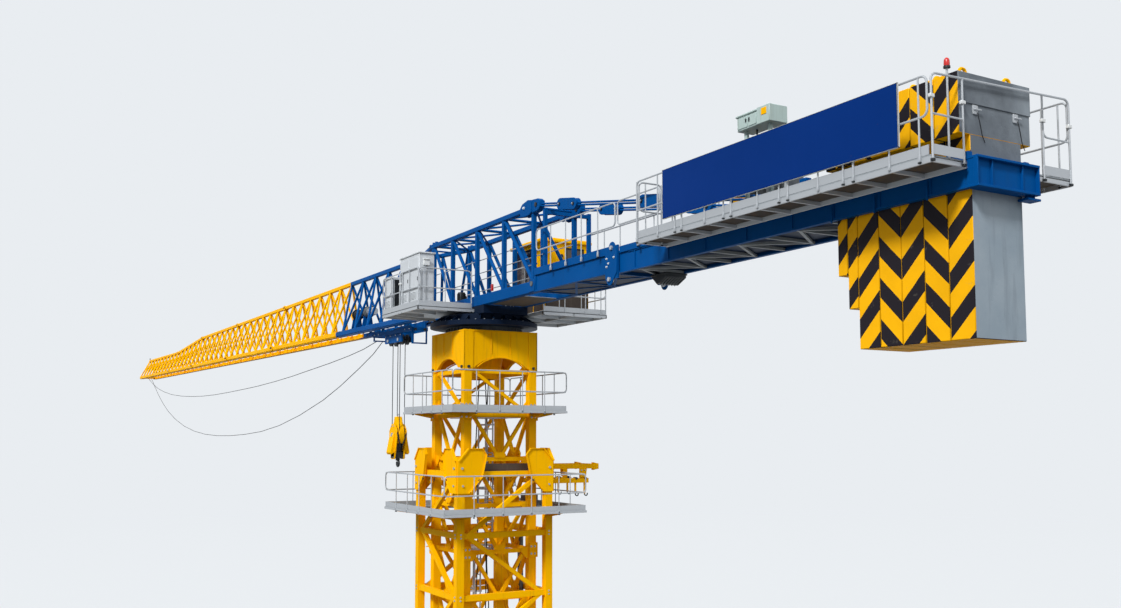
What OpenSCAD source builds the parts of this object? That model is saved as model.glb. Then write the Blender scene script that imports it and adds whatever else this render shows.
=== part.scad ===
// Flat-top tower crane, 1:10 scale model, all sizes in millimetres of the model.
// Z up along the slewing axis, jib towards -X, counter-jib towards +X, sign side towards -Y.
// Heights named "up" are measured above the top of the slewing support.

/* [Mast] */
// Width of the mast over its corner legs
mast_w = 200; // [190:1:206]
// Side of a square corner leg
leg_w = 20; // [16:1:22]
// Height of one mast section
section_h = 340; // [320:5:360]
// Number of mast sections
section_n = 6; // [4:1:6]
// How far the joint collars stand proud of a leg
collar_t = 3; // [2:0.5:4]
// Height of a joint collar over both sections
collar_h = 36; // [24:2:44]
// Width of a lattice bar of the mast
brace_w = 8; // [6:1:10]
// Height of a horizontal bar of the mast
beam_h = 10; // [8:1:12]

/* [Base frame] */
// Height of the base frame
base_h = 40; // [30:1:50]
// Width of a base beam
base_beam_w = 20; // [16:1:24]
// Side of a foot plate
foot_w = 84; // [78:1:96]
// Thickness of a foot plate
foot_t = 8; // [6:1:12]
// Distance between the anchor holes of a foot plate
anchor_pitch = 60; // [54:1:64]
// Radius of an anchor hole
anchor_r = 2.5; // [2:0.1:3.5]

/* [Mast ladders] */
// Width of a ladder over its rails
ladder_w = 44; // [36:1:50]
// Thickness of a ladder rail
ladder_rail = 3; // [2.5:0.5:4]
// Distance between rungs
rung_pitch = 30; // [26:1:34]
// Thickness of a landing
landing_t = 3; // [2.5:0.5:4]
// Depth of a landing across the mast
landing_d = 110; // [90:5:120]

/* [Slewing support] */
// Height of the slewing support
support_h = 206; // [196:1:216]
// Height of its box band
box_h = 60; // [54:1:66]
// Wall thickness of the box band
box_wall = 6; // [4:1:8]
// Thickness of the top plate
box_top = 8; // [6:1:10]
// Rise of the arch in each side
arch_rise = 28; // [22:1:30]
// Depth of the arch plates below the box band
arch_drop = 34; // [32:1:36]
// Thickness of the arch plates
arch_t = 4; // [3:1:6]
// Half width of the arch
arch_half = 74; // [68:1:76]
// Distance of the ring beam below the top
ring_beam_down = 102; // [100:1:108]
// Radius of the bore in the top plate
support_bore_r = 56; // [50:1:60]
// Radius at the foot of the cable funnel
funnel_r = 32; // [28:1:40]
// Height of the cable funnel
funnel_h = 110; // [90:5:130]

/* [Slewing bearing] */
// Outer radius of the fixed bearing ring
bearing_r = 96; // [90:1:98]
// Bore radius of the fixed bearing ring
bearing_bore_r = 66; // [62:1:72]
// Height of the fixed bearing ring
bearing_h = 12; // [10:1:14]
// Radial clearance of the turntable spigot in the ring
bearing_clearance = 0.05; // [0.03:0.01:0.1]
// Gap under the turntable
bearing_gap = 0.3; // [0.3:0.1:0.6]
// Depth of the spigot in the ring
spigot_h = 9; // [6:1:9]

/* [Turntable] */
// Radius of the turntable disc
turn_disc_r = 138; // [130:1:144]
// Thickness of the turntable disc
turn_disc_t = 12; // [10:1:14]
// Radius of the drum above the disc
turn_drum_r = 112; // [104:1:118]
// Height of the deck underside above the support
deck_up = 40; // [38:1:42]
// Length of the deck along the crane
deck_l = 250; // [236:2:260]
// Radius of the central bore
turn_bore_r = 46; // [40:1:48]
// Radius of a slewing drive
drive_r = 12; // [10:1:14]
// Height of a slewing drive
drive_h = 56; // [48:2:64]

/* [Upper mast platform] */
// Half width of the upper platform
up_half = 158; // [152:1:164]
// Distance of its floor below the support top
up_floor_down = 200; // [192:1:200]
// Height of its rails above the floor
up_rail_h = 98; // [90:1:104]

/* [Platforms and rails] */
// Thickness of the platform floors
floor_t = 4; // [3:0.5:5]
// Thickness of rail tubes and posts
rail_d = 4; // [3:0.5:4.5]
// Height of a toe board
toe_h = 14; // [10:1:16]
// Thickness of a toe board
toe_t = 2; // [2:0.5:3]

/* [Climbing cage] */
// Half width of the cage
cage_half = 130; // [126:1:134]
// Side of a cage post
cage_post = 19; // [16:1:20]
// Distance of the cage top below the support top
cage_top_down = 348; // [340:1:356]
// Height of the cage
cage_h = 602; // [560:2:620]
// Number of panels over the cage height
cage_panels = 4; // [3:1:5]
// Height of a cage ring
cage_ring_h = 14; // [12:1:16]
// Width of a cage ring and of the cage braces
cage_ring_w = 12; // [10:1:12]
// Thickness of the corner gussets
gusset_t = 4; // [3:1:5]
// How far the corner gussets rise above the cage top
gusset_up = 56; // [46:1:60]
// Length of a corner gusset along the side
gusset_l = 76; // [66:1:80]
// Length of a guide shoe along the ring
shoe_l = 18; // [14:1:20]

/* [Lower platform] */
// Half width of the lower platform
low_half = 193; // [186:1:200]
// Distance of its floor below the support top
low_floor_down = 446; // [440:1:452]
// Height of its rails above the floor
low_rail_h = 91; // [84:1:91]
// Depth of its brackets at the cage
low_rib_h = 16; // [12:1:30]

/* [Loading beams] */
// How far the loading beams reach from the mast centre
load_reach = 315; // [290:5:320]
// Distance between the two loading beams
load_pitch = 90; // [84:2:96]
// Height of a loading beam
load_h = 12; // [10:1:14]
// Width of a loading beam
load_w = 10; // [8:1:12]
// Distance of the hanging runner beams below the cage top
runner_down = 31; // [30:1:32]
// Length of a hanging hook rod
load_drop = 34; // [26:1:40]

/* [Head] */
// Half width of the head over its girders
head_half = 61; // [59:1:63]
// Width of the head chords
head_chord_w = 16; // [14:1:16]
// Height of the girder undersides above the support
girder_up = 60; // [58:1:62]
// Height of the head bottom chord
head_chord_h = 26; // [24:1:30]
// Height of the top chord centre above the support
head_top_up = 256; // [248:1:262]
// Side of the head top chord
head_top_w = 12; // [10:1:14]
// Length of one head panel
head_panel = 150; // [146:1:152]
// Front end of the head ahead of the slewing axis
head_front = 215; // [212:1:222]
// Rear end of the head trusses behind the axis
head_rear = 385; // [382:1:392]
// Width of the head posts
head_post_w = 10; // [8:1:12]
// Width of the head diagonals
head_diag_w = 9; // [7:1:10]
// Width of the bars between the two trusses
head_tie_w = 7; // [5:1:9]
// Height of the top node lugs
lug_h = 30; // [24:1:34]

/* [Rear girders] */
// Joint between head girders and counter-jib, behind the axis
joint_x = 715; // [700:1:730]
// Height of the head girders
girder_h = 42; // [38:1:46]
// Width of the girder flanges
flange_w = 9; // [8:0.5:9]
// Thickness of the girder flanges
flange_t = 3; // [2.5:0.5:4]
// Thickness of the girder webs
web_t = 5; // [4:0.5:6]
// Height of the posts behind the head
post_h = 140; // [120:2:150]
// Height of the hand rail over the girder underside
girder_rail_up = 133; // [120:1:140]

/* [Counter-jib] */
// Rear end of the counter-jib behind the axis
counter_end = 1572; // [1564:1:1590]
// Height of the counter-jib underside above the support
counter_up = 56; // [54:1:58]
// Height of the counter-jib girders
counter_h = 40; // [38:1:42]
// Extra height of the girders at the joint
joint_rise = 4; // [2:1:6]
// Height of the seat strips under the slabs
seat_h = 8; // [6:1:10]
// Number of bracing bays between the girders
counter_bays = 8; // [6:1:10]
// Width of the cross beam at the rear end
end_beam_w = 12; // [8:1:14]
// Width of the bracing bars
counter_bar = 5; // [4:0.5:6]
// Length of the joint plates along the girder
joint_plate_l = 44; // [36:2:52]
// Thickness of the joint plates
joint_plate_t = 4; // [3:1:5]

/* [Walkway] */
// Front end of the walkway behind the axis
walk_front = 898; // [880:2:910]
// Rear end of the walkway
walk_rear = 1561; // [1556:1:1563]
// Outer edge of the walkway from the centre line
walk_half = 128; // [124:1:132]
// Height of the walkway underside above the support
walk_up = 87; // [85:1:88]
// Height of the top rail above the support
walk_rail_up = 197; // [190:1:204]
// Number of rail bays along the walkway
walk_bays = 10; // [8:1:12]

/* [Far rear platform] */
// Front end of the far rear platform
far_front = 1310; // [1290:5:1330]
// How far the far rear platform reaches behind the walkway
far_past = 2; // [1:0.5:12]
// Outer edge of the far rear platform
far_half = 150; // [140:1:156]

/* [Sign panel] */
// Front edge of the sign panel
sign_front = 987; // [970:1:1000]
// Rear edge of the sign panel
sign_rear = 1514; // [1500:1:1530]
// Underside of the sign panel above the support
sign_up = 110; // [106:1:114]
// Height of the sign panel
sign_h = 86; // [80:1:92]
// Thickness of the sign panel
sign_t = 3; // [2:0.5:4]

/* [Counterweights] */
// Rear face of the slabs behind the axis
slab_rear = 1558; // [1554:1:1560]
// Pitch of the full slabs
slab_pitch = 40.4; // [39:0.1:41]
// Number of full slabs
slab_n = 5; // [3:1:5]
// Pitch of the two short slabs
short_pitch = 20; // [18:0.5:21]
// Gap between slabs
slab_gap = 1; // [0.5:0.1:2]
// Half width of the hanging part of a slab
slab_low_half = 50; // [46:0.5:50]
// Half width of the upper part of a slab
slab_top_half = 71; // [68:0.5:74]
// Top of the slabs above the support
slab_top_up = 210; // [204:1:216]
// Lowest edge of the full slabs below the support top
slab_down = 138; // [128:1:148]
// Lowest edge of the longer short slab
short_down_a = 78; // [68:1:88]
// Lowest edge of the shorter short slab
short_down_b = 27; // [20:1:36]

/* [Hoist winch and boxes] */
// Centre of the winch drum behind the axis
drum_x = 1080; // [1060:2:1080]
// Radius of the winch drum
drum_r = 24; // [20:1:27]
// Radius of the drum flanges
drum_flange_r = 32; // [30:1:34]
// Length of the winch bed
bed_l = 230; // [220:1:232]
// Thickness of the winch bed
bed_t = 6; // [5:1:8]
// Radius of the winch motor
motor_r = 17; // [14:1:20]
// Underside of the control box above the support
control_up = 236; // [230:1:242]
// Length of the control box
control_l = 84; // [76:2:120]
// Height of the control box
control_h = 28; // [24:1:40]
// Length of the box under the counter-jib
under_box_l = 50; // [40:2:84]

/* [Tie bars] */
// Rear end of the tie bars behind the axis
tie_end = 1270; // [1268:1:1280]
// Front end of the joint lugs of the tie bars behind the axis
tie_joint_x = 660; // [650:2:700]
// Length of these joint lugs
tie_joint_l = 90; // [80:2:100]
// Height of these joint lugs
tie_joint_h = 26; // [22:1:30]
// Side of a tie bar
tie_w = 6; // [5:0.5:7]

/* [Near platform] */
// Front end of the near platform ahead of the axis
near_front = 177; // [170:1:184]
// Rear end of the near platform behind the axis
near_rear = 70; // [62:1:80]
// Outer edge of the near platform
near_half = 212; // [204:1:220]
// Floor underside above the support
near_up = 51; // [48:1:54]
// Height of its rails above the floor
near_rail_h = 96; // [90:1:102]
// Length of the main cabinet
cabinet_l = 126; // [116:2:130]
// Depth of the main cabinet
cabinet_d = 40; // [34:1:46]
// Height of the main cabinet
cabinet_h = 134; // [124:2:144]
// Length of the small cabinet
small_l = 60; // [50:2:64]
// Height of the small cabinet
small_h = 95; // [85:1:105]

/* [Cab] */
// Rear face of the cab behind the axis
cab_rear = 145; // [138:1:150]
// Length of the cab
cab_l = 170; // [160:2:180]
// Width of the cab
cab_w = 131; // [124:1:138]
// Height of the cab
cab_h = 192; // [182:2:200]
// Inner face of the cab from the centre line
cab_y = 97; // [90:1:100]
// Wall thickness of the cab
cab_wall = 5; // [4:0.5:6]
// Thickness of the cab glass
glass_t = 2.5; // [2:0.5:3]
// Overhang of the cab roof
roof_over = 6; // [4:1:8]
// Rear end of the far platform behind the axis
far_deck_rear = 190; // [184:1:200]
// Outer edge of the far platform
far_deck_half = 255; // [248:1:262]
// Height of its rails above the floor
far_rail_h = 88; // [80:1:96]

/* [Jib] */
// Rise of the jib towards its tip in degrees
jib_rise = 0.8; // [0.5:0.1:1.1]
// Length of one lattice bay
bay = 120; // [116:0.5:122]
// Bays in the jib root
root_bays = 7; // [6:1:7]
// Bays of full depth after the root
main_bays = 21; // [15:1:21]
// Bays of the tapering section
taper_bays = 6; // [5:1:6]
// Bays of the tip section
tip_bays = 9; // [6:1:9]
// How far the bottom chords reach past the last bay
tip_nose = 56; // [40:2:60]
// Height of the bottom chord centre at the root
chord_up = 75; // [74:1:76]
// Half distance between the bottom chord centres
chord_half = 50; // [49:0.5:51]
// Width of a bottom chord
chord_w = 12; // [11:0.5:13]
// Height of a bottom chord
chord_h = 20; // [18:1:20]
// Depth of the jib between chord centres at the root
jib_depth = 181; // [176:1:184]
// Depth of the jib where the taper starts
main_depth = 155; // [150:1:165]
// Depth of the tip section
tip_depth = 112; // [104:1:118]
// Side of the jib top chord
top_w = 12; // [10:1:12]
// Width of the web bars
jib_web_w = 6; // [5:0.5:7]
// Width of the bottom bracing bars
bottom_bar = 4; // [3:0.5:5]
// Thickness of the trolley rail plate
rail_t = 3; // [2.5:0.5:4]
// How far the rail plate reaches inside the chord
rail_in = 12; // [11:0.5:13]
// Width of the joint lugs on the top chord
joint_lug_w = 18; // [15:1:20]
// Length of the joint lugs along the chord
joint_lug_l = 26; // [20:1:32]

/* [Trolley winch] */
// Distance of the trolley winch from the front of the head
tw_u = 700; // [680:5:720]
// Length of the trolley winch
tw_l = 190; // [160:5:200]
// Radius of the trolley winch drum
tw_r = 16; // [13:1:18]
// Height of its axis above the chord centre
tw_up = 62; // [54:1:70]

/* [Trolley] */
// Distance of the trolley centre from the front of the head at rest
trolley_u = 385; // [360:5:420]
// Half length of the trolley
trolley_half_l = 165; // [155:1:170]
// Half width of the trolley frame
trolley_half = 26; // [24:0.5:26]
// Radius of a trolley roller
roller_r = 4.5; // [4:0.1:4.7]
// Width of a trolley roller
roller_w = 6; // [5:0.5:6]
// Play of a roller on its rail
roller_play = 0.1; // [0.05:0.01:0.2]
// Depth of the trolley frame below the chord centre
frame_down = 32; // [30:1:36]
// Depth of the sheave axis below the chord centre
sheave_down = 50; // [46:1:54]
// Outer radius of a trolley sheave
sheave_r = 16; // [15:0.5:17]
// Lower end of the outer end frame below the chord centre
foot_a_down = 44; // [40:1:48]
// Lower end of the inner end frame below the chord centre
foot_b_down = 70; // [62:1:76]

/* [Hook block] */
// Distance of the block axis below the support top at rest
block_down = 260; // [240:5:300]
// Radius of the sheave centre line of the rope
rope_half = 30; // [28:0.5:32]
// Distance of the falls from the centre line
fall_y = 8; // [7:0.5:9]
// Diameter of a rope
rope_d = 2.4; // [2:0.1:3]
// Gap between a rope and its groove
rope_gap = 0.1; // [0.05:0.01:0.2]
// Depth of a rope groove
groove = 2.4; // [2:0.1:3]
// Width of a sheave
sheave_w = 6; // [5:0.5:6.5]
// Half width of the block over its cheeks
cheek_half = 17; // [15:0.5:18]
// Thickness of a cheek
cheek_t = 4; // [3:0.5:4.5]
// Radius of the hook shank
shank_r = 4; // [3.5:0.1:4.5]
// Radial clearance of the shank
shank_clearance = 0.05; // [0.03:0.01:0.1]
// Radius of the hook bowl to the middle of the bar
bowl_r = 9; // [8:0.5:10]
// Thickness of the hook bar
hook_d = 7; // [6:0.5:8]

/* [Hidden] */
eps = 1;
mast_half = mast_w / 2;
leg_in = mast_half - leg_w;
leg_mid = mast_half - leg_w / 2;
mast_top = base_h + section_n * section_h;
top_z = mast_top + support_h;
panel_n = section_n * 3;
panel_h = section_h / 3;
side_in = leg_mid - brace_w / 2;
arch_r = (arch_half * arch_half + arch_rise * arch_rise) / (2 * arch_rise);
far_rear = walk_rear + far_past;
cage_mid = cage_half - cage_post / 2;
cage_in = cage_half - cage_post;
cage_top = top_z - cage_top_down;
cage_low = cage_top - cage_h;
cage_panel_h = (cage_h - cage_ring_h) / cage_panels;
head_mid = head_half - head_chord_w / 2;
head_in = head_half - head_chord_w;
chord_top_up = girder_up + head_chord_h;
head_posts = concat([for (i = [0 : 3]) head_rear - head_post_w * 1.5 - i * head_panel],
                    [-head_front + head_post_w]);
girder_mid = head_half - flange_w / 2;
girder_in = head_half - flange_w;
web_face = girder_mid + web_t / 2;
end_beam_x = counter_end - end_beam_w;
counter_top = counter_up + counter_h;
control_end = drum_x + 130;
seat_up = counter_top + seat_h;
jib_x0 = -head_front;
u_root = root_bays * bay;
u_main = u_root + main_bays * bay;
u_taper = u_main + taper_bays * bay;
u_tip = u_taper + tip_bays * bay;
bays_all = root_bays + main_bays + taper_bays + tip_bays;
merge_u = 2 * bay;
chord_in = chord_half - chord_w / 2;
bracing_low = chord_h / 2 - 1 - bottom_bar;
trolley_x = jib_x0 - trolley_u * cos(jib_rise) - sheave_down * sin(jib_rise);
trolley_z = top_z + chord_up + trolley_u * sin(jib_rise) - sheave_down * cos(jib_rise);
block_z = top_z - block_down;
cab_floor = 45;

// Depth of the jib at a distance u from its root
function depth_at(u) =
    u <= u_main ? jib_depth + (main_depth - jib_depth) * u / u_main :
    u <= u_taper ? main_depth + (tip_depth - main_depth) * (u - u_main) / (u_taper - u_main) :
    tip_depth;
// Sideways place of the top chord at a distance u, the two chords of the head meet at merge_u
function top_y(u) = u < merge_u ? head_mid * (1 - u / merge_u) : 0;

// Square or flat bar between two points
module bar(a, b, w, h) {
    d = b - a;
    l = norm(d);
    translate(a)
        rotate([0, acos(d.z / l), atan2(d.y, d.x)])
            translate([-h / 2, -w / 2, 0])
                cube([h, w, l]);
}

// Thin round tube between two points, drawn with eight sides
module rod(a, b, w) {
    d = b - a;
    l = norm(d);
    translate(a)
        rotate([0, acos(d.z / l), atan2(d.y, d.x)])
            cylinder(d = w, h = l, $fn = 8);
}

// Hand rail along a row of points on a floor: posts, a top rail, a middle rail and a toe board
module rail_run(points, h, toe) {
    for (p = points)
        translate([p.x - rail_d / 2, p.y - rail_d / 2, p.z - eps])
            cube([rail_d, rail_d, h + eps]);
    for (i = [0 : len(points) - 2]) {
        a = points[i];
        b = points[i + 1];
        for (k = [0.5, 1])
            rod(a + [0, 0, h * k - rail_d / 2], b + [0, 0, h * k - rail_d / 2], rail_d);
        if (toe)
            bar(a + [0, 0, toe_h / 2 - eps], b + [0, 0, toe_h / 2 - eps], toe_t, toe_h);
    }
}

// Points at equal steps from a to b
function steps(a, b, n) = [for (i = [0 : n]) a + (b - a) * i / n];

// Rails round a square platform
module square_rails(half, z, h, n) {
    e = half - rail_d / 2;
    rail_run(steps([-e, -e, z], [e, -e, z], n), h, true);
    rail_run(steps([e, -e, z], [e, e, z], n), h, true);
    rail_run(steps([e, e, z], [-e, e, z], n), h, true);
    rail_run(steps([-e, e, z], [-e, -e, z], n), h, true);
}

// Square ring floor
module ring_floor(outer, inner, z, t) {
    translate([0, 0, z])
        difference() {
            translate([-outer, -outer, 0])
                cube([2 * outer, 2 * outer, t]);
            translate([-inner, -inner, -eps])
                cube([2 * inner, 2 * inner, t + 2 * eps]);
        }
}

// Four copies turned round the mast
module four_turns() {
    for (a = [0 : 90 : 270])
        rotate([0, 0, a])
            children();
}

module base_frame() {
    color("#8d9296") {
        difference() {
            union() {
                for (s = [-1, 1]) {
                    translate([-leg_mid, s * leg_mid - base_beam_w / 2, 0])
                        cube([2 * leg_mid, base_beam_w, base_h]);
                    translate([s * leg_mid - base_beam_w / 2, -leg_mid, 0])
                        cube([base_beam_w, 2 * leg_mid, base_h]);
                }
                translate([-leg_mid, -base_beam_w / 2, 0])
                    cube([2 * leg_mid, base_beam_w, base_h]);
                translate([-base_beam_w / 2, -leg_mid, 0])
                    cube([base_beam_w, 2 * leg_mid, base_h]);
                for (x = [-1, 1], y = [-1, 1]) {
                    translate([x * leg_mid - foot_w / 2, y * leg_mid - foot_w / 2, 0])
                        cube([foot_w, foot_w, foot_t]);
                    translate([x * leg_mid - leg_w * 0.7, y * leg_mid - leg_w * 0.7, 0])
                        cube([leg_w * 1.4, leg_w * 1.4, base_h]);
                }
            }
            for (x = [-1, 1], y = [-1, 1], i = [-1, 1], j = [-1, 1])
                translate([x * leg_mid + i * anchor_pitch / 2, y * leg_mid + j * anchor_pitch / 2, -eps])
                    cylinder(r = anchor_r, h = foot_t + 2 * eps);
        }
    }
}

module mast_legs() {
    color("#f2b705")
        for (a = [0 : 90 : 270])
            rotate([0, 0, a]) {
                translate([leg_in, leg_in, base_h])
                    cube([leg_w, leg_w, mast_top - base_h]);
                for (k = [0 : section_n])
                    translate([leg_in, leg_in, base_h + k * section_h - (k == 0 ? 0 : collar_h / 2)])
                        cube([leg_w + collar_t, leg_w + collar_t,
                              k == 0 || k == section_n ? collar_h / 2 : collar_h]);
            }
}

// One lattice side of the mast, drawn on the -Y side
module mast_side() {
    for (i = [0 : panel_n]) {
        z = base_h + i * panel_h + (i == 0 ? beam_h / 2 : i == panel_n ? -beam_h / 2 : 0);
        translate([-leg_in, -leg_mid - brace_w / 2, z - beam_h / 2])
            cube([2 * leg_in, brace_w, beam_h]);
    }
    for (i = [0 : panel_n - 1], s = [-1, 1]) {
        low = base_h + i * panel_h + (i == 0 ? beam_h / 2 : 0);
        high = base_h + (i + 1) * panel_h - (i == panel_n - 1 ? beam_h / 2 : 0);
        bar([0, -leg_mid, low], [s * (leg_in - brace_w), -leg_mid, high], brace_w, brace_w);
    }
}

module mast_side_near() {
    color("#f2b705")
        mast_side();
}

module mast_side_far() {
    color("#f2b705")
        rotate([0, 0, 180])
            mast_side();
}

module mast_side_front() {
    color("#f2b705")
        rotate([0, 0, -90])
            mast_side();
}

module mast_side_rear() {
    color("#f2b705")
        rotate([0, 0, 90])
            mast_side();
}

module mast_ladders() {
    color("#b9bdc0")
        for (k = [1 : section_n]) {
            z = base_h + k * section_h - (k == section_n ? beam_h : 0);
            s = k % 2 == 0 ? 1 : -1;
            low = base_h + (k - 1) * section_h + (k == 1 ? 0 : landing_t / 2);
            lx = s * 34;
            difference() {
                translate([-side_in, -landing_d / 2, z - landing_t / 2])
                    cube([2 * side_in, landing_d, landing_t]);
                translate([lx - 26, 4, z - landing_t])
                    cube([52, 44, 2 * landing_t]);
            }
            for (e = [-1, 1])
                translate([lx + e * (ladder_w - ladder_rail) / 2 - ladder_rail / 2, -ladder_rail / 2, low])
                    cube([ladder_rail, ladder_rail, z - low]);
            for (r = [1 : floor((z - low) / rung_pitch)])
                if (r * rung_pitch < z - low - landing_t)
                    rod([lx - ladder_w / 2 + ladder_rail / 2, 0, low + r * rung_pitch],
                        [lx + ladder_w / 2 - ladder_rail / 2, 0, low + r * rung_pitch], ladder_rail);
        }
}

module slewing_support() {
    color("#f2b705") {
        four_turns()
            translate([leg_in, leg_in, mast_top])
                cube([leg_w, leg_w, support_h]);
        translate([0, 0, top_z - box_h])
            difference() {
                translate([-mast_half, -mast_half, 0])
                    cube([mast_w, mast_w, box_h]);
                translate([-mast_half + box_wall, -mast_half + box_wall, -eps])
                    cube([mast_w - 2 * box_wall, mast_w - 2 * box_wall, box_h - box_top + eps]);
                cylinder(r = support_bore_r + 2, h = box_h + eps);
            }
        four_turns() {
            difference() {
                translate([-leg_in - eps, -mast_half, top_z - box_h - arch_drop])
                    cube([2 * leg_in + 2 * eps, arch_t, arch_drop + eps]);
                translate([0, -mast_half - eps, top_z - box_h - arch_drop + arch_rise - arch_r])
                    rotate([-90, 0, 0])
                        cylinder(r = arch_r, h = arch_t + 2 * eps);
            }
            translate([-leg_in - eps, -leg_mid - brace_w / 2, top_z - ring_beam_down - beam_h / 2])
                cube([2 * leg_in + 2 * eps, brace_w, beam_h]);
            translate([-leg_in - eps, -leg_mid - brace_w / 2, mast_top])
                cube([2 * leg_in + 2 * eps, brace_w, beam_h]);
            bar([leg_in - brace_w, -leg_mid, mast_top + beam_h / 2],
                [-leg_in + brace_w, -leg_mid, top_z - ring_beam_down], brace_w - 1, brace_w);
        }
        translate([0, 0, top_z - box_top])
            difference() {
                union() {
                    cylinder(r = support_bore_r + box_wall, h = box_top);
                    translate([0, 0, -funnel_h])
                        cylinder(r1 = funnel_r + box_wall, r2 = support_bore_r + box_wall, h = funnel_h);
                }
                cylinder(r = support_bore_r, h = box_top + eps);
                translate([0, 0, -funnel_h])
                    cylinder(r1 = funnel_r, r2 = support_bore_r, h = funnel_h);
            }
    }
}

module bearing_ring() {
    color("#4a4f55")
        translate([0, 0, top_z])
            difference() {
                cylinder(r = bearing_r, h = bearing_h);
                translate([0, 0, -eps])
                    cylinder(r = bearing_bore_r, h = bearing_h + 2 * eps);
            }
}

module upper_platform() {
    z = top_z - up_floor_down;
    collar = mast_half + collar_t;
    color("#aeb4b9") {
        ring_floor(up_half, mast_half, z - floor_t, floor_t);
        square_rails(up_half, z, up_rail_h, 4);
        four_turns()
            for (s = [-1, 1])
                translate([0, s * leg_mid + 2, z - floor_t])
                    rotate([90, 0, 0])
                        linear_extrude(4)
                            polygon([[collar, eps], [up_half - 6, eps], [up_half - 6, -3], [collar, -14]]);
    }
}

module cage_posts() {
    color("#f2b705")
        four_turns()
            translate([cage_in, cage_in, cage_low])
                cube([cage_post, cage_post, cage_h]);
}

// One side of the climbing cage, drawn on the -Y side
module cage_side(braced) {
    for (i = [0 : cage_panels])
        translate([-cage_in, -cage_mid - cage_ring_w / 2, cage_low + i * cage_panel_h])
            cube([2 * cage_in, cage_ring_w, cage_ring_h]);
    if (braced)
        for (i = [0 : cage_panels - 1]) {
            s = (cage_panels - i) % 2 == 0 ? 1 : -1;
            bar([s * (cage_in - 9), -cage_mid, cage_low + i * cage_panel_h + cage_ring_h / 2],
                [-s * (cage_in - 9), -cage_mid, cage_low + (i + 1) * cage_panel_h + cage_ring_h / 2],
                cage_ring_w - 2, cage_ring_w - 2);
        }
    for (s = [-1, 1]) {
        translate([0, -cage_half, cage_top])
            rotate([90, 0, 0])
                linear_extrude(gusset_t)
                    polygon([[s * cage_half, -52], [s * cage_half, gusset_up - 30], [s * (cage_half - 26), gusset_up],
                             [s * (cage_half - gusset_l + 12), gusset_up], [s * (cage_half - gusset_l), gusset_up - 16],
                             [s * (cage_half - gusset_l + 12), -14], [s * (cage_half - 28), -52]]);
        translate([s > 0 ? cage_in - gusset_l + 34 : -cage_in - eps + 1, -cage_half - eps, cage_top - cage_ring_h])
            cube([gusset_l - 34, (cage_post - cage_ring_w) / 2 + 2 * eps, cage_ring_h]);
        for (i = [0, cage_panels])
            translate([s * (leg_mid) - shoe_l / 2, -cage_mid + cage_ring_w / 2 - eps,
                       cage_low + i * cage_panel_h + 1])
                cube([shoe_l, cage_mid - cage_ring_w / 2 - mast_half + eps, cage_ring_h - 2]);
    }
}

module cage_near() {
    color("#f2b705")
        cage_side(true);
}

module cage_far() {
    color("#f2b705")
        rotate([0, 0, 180])
            cage_side(false);
}

module cage_front() {
    color("#f2b705")
        rotate([0, 0, -90])
            cage_side(true);
}

module cage_rear() {
    color("#f2b705")
        rotate([0, 0, 90])
            cage_side(true);
}

module lower_platform() {
    z = top_z - low_floor_down;
    color("#aeb4b9") {
        ring_floor(low_half, cage_half, z - floor_t, floor_t);
        square_rails(low_half, z, low_rail_h, 4);
        four_turns()
            for (s = [-1, 1])
                translate([0, s * cage_mid + 2, z - floor_t])
                    rotate([90, 0, 0])
                        linear_extrude(4)
                            polygon([[cage_half, eps], [low_half - 6, eps], [low_half - 6, -4],
                                     [cage_half, -low_rib_h]]);
    }
}

module loading_beams() {
    start = cage_mid - cage_ring_w / 2;
    color("#f2b705") {
        for (s = [-1, 1]) {
            translate([s * load_pitch / 2 - load_w / 2, start, cage_top])
                cube([load_w, load_reach - start, load_h]);
            translate([s * load_pitch / 2 - load_w / 2, cage_half + gusset_t + 2, cage_top - runner_down - load_h / 2])
                cube([load_w, load_reach - cage_half - gusset_t - 32, load_h]);
            for (y = [cage_half + 30, load_reach - 55])
                translate([s * load_pitch / 2 - 2, y, cage_top - runner_down])
                    cube([4, 14, runner_down + eps]);
            for (y = [load_reach - 70, load_reach - 42])
                translate([s * load_pitch / 2 - 2, y, cage_top - runner_down - load_drop])
                    cube([4, 4, load_drop]);
        }
        translate([-load_pitch / 2, load_reach - load_w, cage_top])
            cube([load_pitch, load_w, load_h]);
        translate([-load_pitch / 2, cage_half + 20, cage_top])
            cube([load_pitch, load_w, load_h]);
    }
}

module turntable() {
    base = top_z + bearing_h + bearing_gap;
    color("#0d2a4d")
        difference() {
            union() {
                translate([0, 0, base])
                    cylinder(r = turn_disc_r, h = turn_disc_t);
                translate([0, 0, base + turn_disc_t - eps])
                    cylinder(r = turn_drum_r, h = deck_up - bearing_h - bearing_gap - turn_disc_t + 2 * eps);
                translate([-deck_l / 2, -head_half, top_z + deck_up])
                    cube([deck_l, 2 * head_half, girder_up - deck_up]);
                translate([0, 0, top_z + bearing_h - spigot_h])
                    cylinder(r = bearing_bore_r - bearing_clearance, h = spigot_h + eps);
            }
            translate([0, 0, top_z])
                cylinder(r = turn_bore_r, h = girder_up + eps);
        }
}

module slewing_drives() {
    color("#14365f")
        for (s = [-1, 1])
            translate([s * (turn_bore_r + drive_r + 24), s * (head_in - drive_r - 6), top_z + girder_up]) {
                cylinder(r = drive_r, h = drive_h);
                cylinder(r = drive_r + 4, h = 8);
            }
}

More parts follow.
